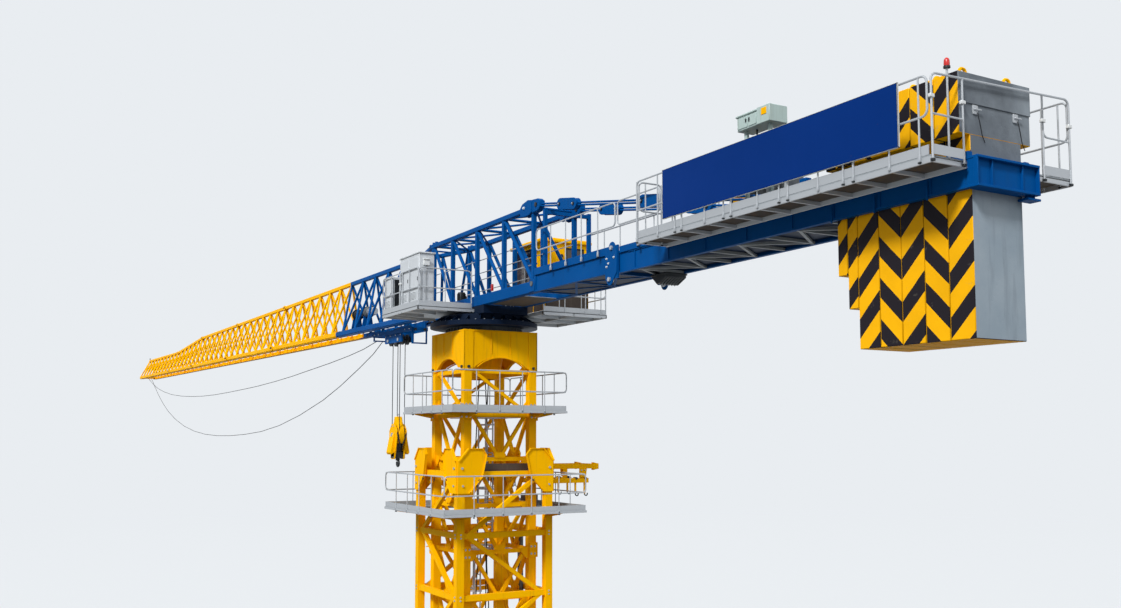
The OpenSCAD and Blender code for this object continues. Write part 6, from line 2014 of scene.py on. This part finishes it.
@dataclass
class Cab:
    """The driver's cab on its platform on the far side."""

    low: Point = (-25.0, 97.0, T + 45.0)
    high: Point = (145.0, 228.0, T + 237.0)
    wall: float = 5.0

    def platform(self) -> None:
        """Makes the platform under and behind the cab."""
        shape = Shape("far_platform_frame", TREAD)
        z = T + 45.0
        shape.box((-63, 61, z - 2.2), (121, 255, z), 0.4)
        shape.box((121, 69, z - 2.2), (190, 255, z), 0.4)
        shape.use(ZINC)
        for y in (253.7, 158.0):
            shape.bar((-63, y, z - 4.5), (190, y, z - 4.5), 2.6, 9.0, 0.4)
        shape.bar((121, 70.3, z - 4.5), (190, 70.3, z - 4.5), 2.6, 9.0, 0.4)
        for x, y in ((-61.7, 61), (40.0, 61), (119.0, 69), (188.7, 69)):
            shape.bar((x, y, z - 4.5), (x, 255, z - 4.5), 2.6, 9.0, 0.4)
        rail = Handrail(88.0, bend=11.0)
        rail.run(shape, (188, 73, z), (188, 253, z), 1, 2)
        rail.run(shape, (188, 253, z), (-25, 253, z), 2, 1)
        shape.finish(Body.UPPER, "galvanised_steel", ["far_platform"])

    def window(self, shape: Shape, panes: Shape, axis: Axis, face: float, low: Flat, high: Flat,
               bars: int) -> None:
        """Adds a pane with its rubber seal and mullions.

        Args:
            shape: Piece of the frame.
            panes: Piece of the glass.
            axis: Axis across the pane.
            face: Place of the wall's outer face on that axis.
            low: Lowest corner in the pane's plane.
            high: Highest corner.
            bars: Number of mullions.
        """
        inward = 1.0 if face < 60.0 or face == self.low[1] else -1.0
        a, b = sorted((face + inward * 1.3, face + inward * 3.7))
        outline = [low, (high[0], low[1]), high, (low[0], high[1])]
        panes.plate(outline, axis, a, b)
        shape.use(RUBBER)
        c, d = sorted((face - inward * 0.6, face + inward * 4.4))
        r = 2.6
        for x0, z0, x1, z1 in ((low[0] - r, low[1] - r, high[0] + r, low[1] + 1),
                               (low[0] - r, high[1] - 1, high[0] + r, high[1] + r),
                               (low[0] - r, low[1], low[0] + 1, high[1]),
                               (high[0] - 1, low[1], high[0] + r, high[1])):
            shape.plate([(x0, z0), (x1, z0), (x1, z1), (x0, z1)], axis, c, d, 0.5)
        shape.use(PALE_GREY)
        for k in range(1, bars + 1):
            x = low[0] + (high[0] - low[0]) * k / (bars + 1)
            shape.plate([(x - 1.2, low[1]), (x + 1.2, low[1]), (x + 1.2, high[1]), (x - 1.2, high[1])], axis,
                        *sorted((face - inward * 0.4, face + inward * 4.6)), 0.3)

    def walls(self, shape: Shape) -> None:
        """Adds the four walls, the floor and the roof."""
        (x0, y0, z0), (x1, y1, z1) = self.low, self.high
        w = self.wall
        shape.use(YELLOW).box((x0, y0, z0), (x1, y1, z0 + w), 0.8)
        shape.box((x0, y0, z1 - w), (x1, y1, z1), 0.8)
        for y in (y0, y1 - w):
            shape.box((x0, y, z0), (x0 + 12, y + w, z1), 1.2)
            shape.box((x0 + 11, y, z0), (x1 - 49, y + w, z0 + 60), 0.6)
            shape.box((x0 + 11, y, z1 - 20), (x1 - 49, y + w, z1), 0.6)
            shape.box((x1 - 50, y, z0), (x1, y + w, z1), 1.2)
        for low, high in (((y0, z0), (y1, z0 + 14)), ((y0, z1 - 20), (y1, z1)), ((y0, z0), (y0 + 12, z1)),
                          ((y1 - 12, z0), (y1, z1))):
            shape.box((x0, low[0], low[1]), (x0 + w, high[0], high[1]), 0.8)
        for low, high in (((y0, z0), (y1, z0 + 90)), ((y0, z1 - 22), (y1, z1)),
                          ((y0, z0 + 89), (y0 + 66, z1 - 21)), ((y1 - 16, z0 + 89), (y1, z1 - 21))):
            shape.box((x1 - w, low[0], low[1]), (x1, high[0], high[1]), 0.8)
        o = 7.0
        shape.box((x0 - o, y0 - o, z1 - 9), (x1 + o, y1 + o, z1 - 1), 1.5)
        shape.box((x0 - 1, y0 - 1, z1 - 1.2), (x1 + 1, y1 + 1, z1 + 3), 1.5)
        for y in (y0 + 33, y0 + 66, y0 + 99):
            shape.box((x0 + 3, y - 2, z1 + 2.6), (x1 - 3, y + 2, z1 + 4.4), 0.8)

    def low_panels(self, shape: Shape) -> None:
        """Adds the brown lower panels of the rear and of the side towards the head, with their thin frames."""
        (x0, y0, z0), (x1, y1, _) = self.low, self.high
        low, high = z0 + 9, z0 + 86
        for a, b in ((y0 + 5, y0 + 42), (y0 + 46, y1 - 24), (y1 - 20, y1 - 4)):
            shape.use(BROWN_PANEL).plate([(a, low), (b, low), (b, high), (a, high)], Axis.X, x1 - 0.5,
                                         x1 + 1.2, 0.4)
        for a, b in ((x0 + 60, x0 + 112), (x0 + 116, x1 - 5)):
            shape.use(BROWN_PANEL).plate([(a, low), (b, low), (b, high), (a, high)], Axis.Y, y0 - 1.2,
                                         y0 + 0.5, 0.4)
        shape.use(PALE_GREY)
        for y in (y0 + 44, y1 - 22):
            shape.box((x1 - 0.5, y - 1.2, z0 + 6), (x1 + 2.0, y + 1.2, z0 + 88), 0.3)
        shape.box((x1 - 0.5, y0 + 2, z0 + 4), (x1 + 2.0, y1 - 2, z0 + 8), 0.4)
        shape.box((x0 + 58, y0 - 2.0, z0 + 4), (x1 - 2, y0 + 0.5, z0 + 8), 0.4)

    def fittings(self, shape: Shape) -> None:
        """Adds the panel with its handle, the hand grips, the seat and the desks."""
        (x0, y0, z0), (x1, y1, z1) = self.low, self.high
        shape.use(YELLOW).box((x1 - 0.5, y0 + 6, z0 + 92), (x1 + 1.0, y0 + 60, z1 - 18), 0.5)
        self.low_panels(shape)
        shape.use(DARK).tube((x1 + 0.5, y0 + 50, z0 + 150), (x1 + 4.0, y0 + 50, z0 + 150), 4.6, 18)
        for z in (z0 + 24, z0 + 92, z0 + 150):
            shape.tube((x1 + 1.4, y0 + 6, z), (x1 + 1.4, y0 + 6, z + 9), 1.6, 10)
        shape.use(ZINC).pipe([(x1 + 1, y0 + 62, z0 + 70), (x1 + 7, y0 + 62, z0 + 70),
                              (x1 + 7, y0 + 62, z0 + 120), (x1 + 1, y0 + 62, z0 + 120)], 1.2, 3.0)
        shape.use(RUBBER)
        mid = (y0 + y1) / 2
        shape.box((x0 + 70, mid - 22, z0 + 34), (x0 + 112, mid + 22, z0 + 44), 4.0)
        shape.box((x0 + 106, mid - 21, z0 + 42), (x0 + 118, mid + 21, z0 + 104), 4.0)
        shape.box((x0 + 104, mid - 12, z0 + 106), (x0 + 113, mid + 12, z0 + 122), 3.0)
        shape.use(BRONZE_GREY).tube((x0 + 91, mid, z0 + 5), (x0 + 91, mid, z0 + 34), 6.0, 16, 9.0)
        for s in (-1, 1):
            shape.box((x0 + 58, mid + s * 36 - 9, z0 + 5), (x0 + 104, mid + s * 36 + 9, z0 + 56), 1.5)
            shape.use(DARK).tube((x0 + 68, mid + s * 36, z0 + 55), (x0 + 68, mid + s * 36, z0 + 70), 1.6, 10)
            shape.lathe([(0, -3.4), (2.4, -2.6), (3.4, 0), (2.4, 2.6), (0, 3.4)],
                        (x0 + 68, mid + s * 36, z0 + 71), (x0 + 68, mid + s * 36, z0 + 80), 12)
            shape.use(BRONZE_GREY)

    def build(self) -> None:
        """Makes the cab and its platform."""
        self.platform()
        (x0, y0, z0), (x1, y1, z1) = self.low, self.high
        shape = Shape("cab_shell", YELLOW)
        panes = Shape("cab_panes", GLASS)
        self.walls(shape)
        self.window(shape, panes, Axis.X, x0, (y0 + 12, z0 + 14), (y1 - 12, z1 - 20), 1)
        self.window(shape, panes, Axis.Y, y0, (x0 + 12, z0 + 60), (x1 - 50, z1 - 20), 1)
        self.window(shape, panes, Axis.Y, y1, (x0 + 12, z0 + 60), (x1 - 50, z1 - 20), 1)
        self.window(shape, panes, Axis.X, x1, (y0 + 66, z0 + 90), (y1 - 16, z1 - 22), 1)
        self.fittings(shape)
        shape.finish(Body.UPPER, "yellow_paint", ["cab_body"])
        panes.finish(Body.UPPER, "tinted_glass", ["cab_glass"])


@dataclass
class HoistWinch:
    """The hoist winch on its bed: grooved drum with rope, gear case, brake and finned motor."""

    drum: float = 1080.0
    bed: float = T + 96.0
    radius: float = 24.0
    flange: float = 32.0

    def frame(self, shape: Shape) -> None:
        """Adds the bed and the bearing cheeks."""
        x0, x1 = self.drum - 60, self.drum + 170
        z = self.bed
        shape.use(YELLOW)
        for s in (-1, 1):
            shape.bar((x0, s * 56.5, z + 3), (x1, s * 56.5, z + 3), 9, 6, 0.6)
        for x in (x0 + 7, self.drum + 47, x1 - 7):
            shape.bar((x, -56.5, z + 3), (x, 56.5, z + 3), 14, 6, 0.6)
        shape.box((self.drum - 40, -40, z + 5), (x1 - 10, 40, z + 9), 0.6)
        for s in (-1, 1):
            axis = z + 6 + self.flange + 3
            line = [(self.drum - 26, z + 6), (self.drum + 26, z + 6)] + arc((self.drum, axis), 13.0, 0.0,
                                                                            180.0, 10)
            shape.plate(line, Axis.Y, s * 40 - 3, s * 40 + 3, 0.5)
            shape.tube((self.drum, s * 38, axis), (self.drum, s * 46, axis), 9.0, 20)
            shape.use(ZINC).bolts([(self.drum + u, s * 48.5, z + 6) for u in (-20, 20)], (0, 0, 1), 3.2)
            shape.use(YELLOW)

    def spool(self, shape: Shape) -> None:
        """Adds the drum, its flanges and the rope wound on it."""
        z = self.bed + 6 + self.flange + 3
        shape.use(DARK)
        f = self.flange
        shape.lathe([(0, 0), (f, 0), (f, 4), (self.radius - 2, 4.2), (self.radius - 2, 67.8), (f, 68),
                     (f, 72), (0, 72)], (self.drum, -36, z), (self.drum, 40, z), 32)
        shape.use(ROPE)
        lay = [(self.radius - 2.2, 4.2)]
        for k in range(30):
            lay += [(self.radius + 0.4, 4.8 + 2.1 * k), (self.radius - 0.5, 5.85 + 2.1 * k)]
        lay += [(self.radius - 2.2, 67.8)]
        shape.lathe(lay, (self.drum, -36, z), (self.drum, 40, z), 32)

    def drive(self, shape: Shape) -> None:
        """Adds the gear case, the brake, the motor and its fan cover."""
        z = self.bed + 6
        d = self.drum
        shape.use(BRONZE_GREY).box((d + 60, -36, z), (d + 110, 8, z + 56), 3.0)
        shape.box((d + 57, -38, z + 24), (d + 113, 10, z + 30), 0.8)
        shape.tube((d + 85, -38, z + 35), (d + 85, -44, z + 35), 10, 20)
        shape.use(ZINC)
        for u in (63, 74, 96, 107):
            shape.bolts([(d + u, -36.8, z + 30)], (0, 0, 1), 2.4)
        axis = z + 8 + 17
        shape.use(BLUE).lathe([(0, 0), (15, 0), (15, 3), (13.6, 3.6), (13.6, 41), (15, 42), (15, 46),
                               (0, 46)], (d + 109, -14, axis), (d + 200, -14, axis), 24)
        for k in range(20):
            t = math.tau * k / 20
            c, e = 14.6 * math.cos(t), 14.6 * math.sin(t)
            shape.bar((d + 113, -14 + c, axis + e), (d + 150, -14 + c, axis + e), 0.8, 2.6)
        shape.use(DARK).lathe([(0, 0), (15.6, 0), (16.2, 2), (16.2, 11), (14, 14), (0, 14)],
                              (d + 155, -14, axis), (d + 200, -14, axis), 24)
        shape.use(BLUE).box((d + 124, -20, axis + 13), (d + 140, -8, axis + 21), 0.8)
        shape.box((d + 122, -27, z), (d + 150, -1, axis - 12), 0.6)
        shape.use(RUBBER).pipe([(d + 132, -8, axis + 17), (d + 132, 20, axis + 17), (d + 132, 20, z + 4),
                                (d + 132, 50, z + 4)], 1.4, 6.0)

    def build(self) -> None:
        """Makes the winch."""
        shape = Shape("hoist_winch_set", YELLOW)
        self.frame(shape)
        self.spool(shape)
        self.drive(shape)
        shape.finish(Body.UPPER, "yellow_paint", ["hoist_winch"])


@dataclass
class ControlBox:
    """The raised control box beside the hoist winch."""

    low: Point = (1128.0, -83.0, T + 234.0)
    high: Point = (1208.0, -49.0, T + 259.0)
    foot: float = T + 91.0

    def build(self) -> None:
        """Makes the box with its lid, its handle and its legs."""
        shape = Shape("control_box_case", GREY_GREEN)
        (x0, y0, z0), (x1, y1, z1) = self.low, self.high
        shape.box(self.low, self.high, 1.2)
        shape.box((x0 - 2, y0 - 2, z1 - 2), (x1 + 2, y1 + 2, z1 + 1.5), 1.0)
        shape.box((x0 + 3, y0 - 1.2, z0 + 3), (x0 + 27, y0 + 1, z1 - 4), 0.5)
        shape.box((x0 + 29, y0 - 1.2, z0 + 3), (x1 - 31, y0 + 1, z1 - 4), 0.5)
        shape.box((x1 - 28, y0 - 3, z0 - 1), (x1 + 3, y1 + 1, z1 + 2), 1.0)
        shape.use(YELLOW).box((x1 - 16, y0 - 3.8, z1 - 13), (x1 - 4, y0 - 2.6, z1 - 2), 0.3)
        shape.use(DARK)
        for x in (x0 + 24, x0 + 32):
            shape.box((x - 1.2, y0 - 2.6, z0 + 11), (x + 1.2, y0 - 1, z0 + 17), 0.3)
        shape.use(GREY_GREEN)
        for x in (x0 + 11, x1 - 11):
            shape.bar((x, -72, self.foot), (x, -72, z0 + 1), 6, 6, 0.5)
            shape.box((x - 6, -78, self.foot - 0.2), (x + 6, -66, self.foot + 2), 0.3)
        shape.use(RUBBER).pipe([(x0 + 30, -66, z0 + 1), (x0 + 30, -66, z0 - 30), (x0 + 20, -64, z0 - 90),
                                (x0 + 20, -58, z0 - 128)], 1.6, 12.0)
        shape.finish(Body.UPPER, "grey_paint", ["control_box"])


@dataclass
class TieBars:
    """The two pinned tie bars from the head's top to the counter-jib: paired rods between heavy links."""

    start: float = 391.0
    end: float = 1270.0
    joints: tuple[float, ...] = (528.0, 846.0)
    side: float = 53.0
    rear_side: float = 56.5
    top: float = T + 258.0
    low: float = T + 104.0

    def link(self, shape: Shape, at: Vector, along: Vector, reach: float, half: float) -> None:
        """Adds a pair of rounded link plates with two pins and the eyes between them.

        Args:
            shape: The piece that it belongs to.
            at: Middle of the link.
            along: Unit vector of the bar.
            reach: Distance of the pins from the middle.
            half: Half height of the plates.
        """
        tilt = math.degrees(math.atan2(along.z, along.x))
        a, b = at + along * reach, at - along * reach
        line = arc((a.x, a.z), half, tilt - 90, tilt + 90, 6) + arc((b.x, b.z), half, tilt + 90, tilt + 270,
                                                                    6)
        for d in (-6.6, 4.0):
            shape.use(BLUE).plate(line, Axis.Y, at.y + d, at.y + d + 2.6, 0.6)
        for pin in (a, b):
            shape.use(DARK).tube((pin.x, pin.y - 8.6, pin.z), (pin.x, pin.y + 8.6, pin.z), 3.6, 14)
            shape.use(ZINC).bolts([(pin.x, pin.y - 6.6, pin.z)], (0, -1, 0), 3.0, 4.2)
            shape.use(BLUE).tube((pin.x, pin.y - 3.6, pin.z), (pin.x, pin.y + 3.6, pin.z), half - 1.5, 16)

    def build(self) -> None:
        """Makes both bars and their links."""
        shape = Shape("tie_bar_links", BLUE)
        for s in (-1, 1):
            a = Vector((self.start, s * self.side, self.top))
            b = Vector((self.end, s * self.rear_side, self.low))
            along = (b - a).normalized()
            mids = [a.lerp(b, (x - a.x) / (b.x - a.x)) for x in self.joints]
            knots = [a] + [m + along * d for m in mids for d in (-31.0, 31.0)] + [b]
            for start, stop in zip(knots[::2], knots[1::2]):
                shape.use(BLUE)
                for d in (-2.6, 2.6):
                    shape.tube(start + Vector((0, 0, d)), stop + Vector((0, 0, d)), 2.2, 12)
            for mid in mids:
                self.link(shape, mid, along, 30.0, 12.5)
            low = self.low - 8
            ear = [(b.x - 15, low), (b.x + 15, low)] + arc((b.x, b.z), 9.0, 0, 180, 10)
            for d in (-4.4, 2.2):
                shape.use(BLUE).plate(ear, Axis.Y, b.y + d, b.y + d + 2.2, 0.3)
            shape.use(DARK).tube((b.x, b.y - 7.0, b.z), (b.x, b.y + 7.0, b.z), 3.4, 14)
        shape.finish(Body.UPPER, "blue_paint", ["tie_bars"])


@dataclass
class UnderBox:
    """The dark ribbed box that hangs under the counter-jib behind the joint."""

    low: Point = (745.0, 10.0, T + 36.0)
    high: Point = (795.0, 58.5, T + 56.0)

    def build(self) -> None:
        """Makes the box."""
        (x0, y0, z0), (x1, y1, z1) = self.low, self.high
        shape = Shape("resistor_box", DARK)
        side = [(x0, z1 - 1), (x0, z1 - 6), (x0 + 16, z0), (x0 + 25, z0), (x1, z1 - 9), (x1, z1 - 1)]
        shape.plate(side, Axis.Y, y0, y1, 1.0)
        shape.box((x0 - 1.5, y0 - 1.5, z1 - 4), (x1 + 1.5, y1 + 1.5, z1 - 1), 0.4)
        for p in steps((0, y0 + 4, 0), (0, y1 - 4, 0), 6):
            shape.bar((x0 + 2, p.y, z1 - 7.6), (x0 + 16, p.y, z0 - 0.6), 1.6, 1.6, 0.2)
            shape.bar((x0 + 25, p.y, z0 - 0.6), (x1 - 1, p.y, z1 - 9.8), 1.6, 1.6, 0.2)
        shape.finish(Body.UPPER, "dark_steel", ["under_box"])


@dataclass
class Trolley:
    """Bolts, gussets, buffers and rope guards of the trolley."""

    at: float = 385.0

    def build(self) -> None:
        """Makes the trolley's details."""
        shape = Shape("trolley_details", BLUE, JIB @ Matrix.Translation((-self.at, 0.0, 0.0)))
        for s in (-1, 1):
            y = s * 26.0
            for e in (-1, 1):
                line = [(e * 106, -20.5), (e * 94, -20.5), (e * 106, -4)]
                shape.use(BLUE).plate(line, Axis.Y, *sorted((y - s * 1.0, y - s * 3.0)))
                shape.use(ZINC)
                for x in (e * 112, e * 148):
                    shape.bolts([(x, y, -25)], (0, s, 0), 2.6)
                shape.tube((e * 130 - 15, y, -5.4), (e * 130 - 15, y + s * 1.4, -5.4), 3.0, 12)
                shape.tube((e * 130 + 15, y, -5.4), (e * 130 + 15, y + s * 1.4, -5.4), 3.0, 12)
            shape.use(ZINC)
            for x in (-43, 43):
                shape.tube((x, s * 20.0, -50), (x, s * 22.6, -50), 5.0, 16)
            shape.bolts([(x, s * 20.0, -36) for x in (-62, -22, 22, 62)], (0, s, 0), 2.6)
        shape.use(DARK)
        for e in (-1, 1):
            for y in (-15, 15):
                shape.tube((e * 165, y, -27), (e * 173, y, -27), 3.6, 14)
        shape.finish(Body.TROLLEY, "blue_paint")


@dataclass
class HookBlock:
    """The two-sheave hook block with its cheek plates and the forged hook under it."""

    x: float = -600.66
    z: float = 2026.0
    half: float = 17.0

    def block(self) -> None:
        """Makes the cheeks, straps, pins, sheaves and crosshead."""
        shape = Shape("hook_block_set", YELLOW)
        x, z, h = self.x, self.z, self.half
        rim = [(x - 13, z + 34), (x + 13, z + 34), (x + 31, z + 14), (x + 31, z - 12), (x + 14, z - 72),
               (x - 14, z - 72), (x - 31, z - 12), (x - 31, z + 14)]
        hood = [(x - 10, z + 57), (x + 10, z + 57), (x + 14, z + 42), (x + 29, z + 24), (x + 33, z + 10),
                (x + 33, z - 8), (x + 26, z - 24), (x - 26, z - 24), (x - 33, z - 8), (x - 33, z + 10),
                (x - 29, z + 24), (x - 14, z + 42)]
        shape.plate(hood, Axis.Y, -9.5, 9.5, 2.5)
        for s in (-1, 1):
            shape.use(YELLOW).plate(rim, Axis.Y, *sorted((s * h, s * (h - 4))), 0.8)
            skirt = [(s * 16, z + 4), (s * 20, z + 6), (s * 31, z - 52), (s * 27, z - 58), (s * 16, z - 50)]
            shape.plate(skirt, Axis.X, x - 18, x + 18, 1.0)
            out = s * h
            shape.use(DARK)
            for e in (-1, 1):
                a, b = (x + e * 33.4, s * 15.0, z + 8), (x + e * 27.0, s * 3.0, z - 34)
                shape.bar(a, b, 4.4, 2.2, 0.4)
            shape.use(ZINC).tube((x, out, z), (x, out + s * 4, z), 8.0, 20)
            shape.tube((x, out + s * 4, z), (x, out + s * 6, z), 5.0, 6)
            shape.bolts([(x - 9, out, z + 28), (x + 9, out, z + 28), (x - 9, out + s, z - 66),
                         (x + 9, out + s, z - 66)], (0, s, 0), 2.8)
            shape.use(DARK)
            y = s * 8.0
            shape.lathe([(0, -3), (29.6, -3), (30, -2.6), (26.4, -0.9), (26.4, 0.9), (30, 2.6), (29.6, 3),
                         (0, 3)], (x, y, z), (x, y + 10, z), 32)
        shape.use(DARK).box((x - 13, -h, z - 70), (x - 4.6, h, z - 50), 1.0)
        shape.box((x + 4.6, -h, z - 70), (x + 13, h, z - 50), 1.0)
        shape.box((x - 6, -h, z - 70), (x + 6, -4.6, z - 50), 0.0)
        shape.box((x - 6, 4.6, z - 70), (x + 6, h, z - 50), 0.0)
        shape.box((x - 8, -11, z - 51), (x + 8, 11, z - 22), 1.5)
        shape.tube((x, -h, z), (x, h, z), 5.0, 16)
        shape.use(ZINC).pipe([(x - 6, 0, z + 55), (x - 6, 0, z + 64), (x + 6, 0, z + 64),
                              (x + 6, 0, z + 55)], 1.4, 5.0)
        shape.finish(Body.BLOCK, "yellow_paint", ["hook_block"])

    def hook(self) -> None:
        """Makes the hook with its nut, thickened bowl and safety latch."""
        shape = Shape("forged_hook", DARK)
        x = self.x
        bowl = self.z - 72 - 14 - 4.5 + 6
        shape.tube((x, 0, bowl + 12), (x, 0, self.z - 57), 3.95, 20)
        shape.lathe([(4, 0), (6.5, 0), (6.5, 6), (4, 6)], (x, 0, self.z - 76.3), (x, 0, self.z - 60), 20)
        turns = arc((0, 0), 9.0, 90.0, 380.0, 20)
        thick = [2.6 + 1.3 * math.sin(math.pi * min(1.0, k / 16)) for k in range(21)]
        for k, (a, b) in enumerate(zip(turns, turns[1:])):
            start = Vector((x - a[0], 0.0, bowl + a[1]))
            end = Vector((x - b[0], 0.0, bowl + b[1]))
            reach = (end - start) * 0.12
            shape.tube(start - reach, end + reach, thick[k], 12, thick[k + 1])
        shape.tube((x, 0, bowl + 8), (x, 0, bowl + 13), 5.0, 14, 3.95)
        shape.use(ZINC).bar((x + 1.5, 0, bowl + 12), (x - 8.4, 0, bowl + 4.4), 3.0, 1.2, 0.3)
        shape.finish(Body.SWIVEL, "dark_steel", ["hook"])

    def build(self) -> None:
        """Makes the block and the hook."""
        self.block()
        self.hook()


@dataclass
class BaseDetail:
    """Stiffeners and edge plates of the base frame."""

    leg: float = 90.0
    height: float = 40.0
    beam: float = 30.0

    def build(self) -> None:
        """Makes the foot gussets round each corner stub."""
        shape = Shape("base_gussets", PALE_GREY)
        for sx in (-1, 1):
            for sy in (-1, 1):
                for axis, along, across in ((Axis.Y, sx, sy), (Axis.X, sy, sx)):
                    a = self.leg * along + along * 13
                    b = self.leg * along + along * 38
                    line = [(a, 7.5), (b, 7.5), (b, 11), (a, 36)]
                    mid = self.leg * across
                    for d in (-9.0, 9.0):
                        shape.plate(line, axis, mid + d - 1.5, mid + d + 1.5, 0.3)
                shape.box((self.leg * sx - 16, self.leg * sy - 16, self.height - 3),
                          (self.leg * sx + 16, self.leg * sy + 16, self.height - 0.2), 0.5)
        shape.finish(Body.MAST, "grey_paint")


def main() -> None:
    """Builds the view, the ropes, every sub-assembly and the studio, in order."""
    logging.basicConfig(level=logging.INFO, format="%(message)s", stream=sys.stdout)
    Camera().build()
    Ropes().build()
    carried_over(SOLIDS)
    for assembly in ASSEMBLIES:
        assembly.build()
    Studio().build()
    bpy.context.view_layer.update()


# Every sub-assembly in the order of its making
ASSEMBLIES = (
    BaseDetail(), MastDetail(), SupportDetail(), CageDetail(),
    SquarePlatform("upper_platform", 158.0, 100.0, T - 200.0, 98.0, 90.0, 12.0, 103.0, 1),
    SquarePlatform("lower_platform", 193.0, 130.0, T - 446.0, 91.0, 120.5, 12.0, 130.0, 1),
    SlewingDetail(), HeadFrame(), GirderDetail(), Jib(), TrolleyWinch(), NearPlatform(), Cab(), TieBars(),
    HoistWinch(), ControlBox(), UnderBox(), RearWalkways(), SignPanel(), Counterweights(), Beacon(),
    Trolley(), HookBlock(),
)

if __name__ == "__main__":
    main()
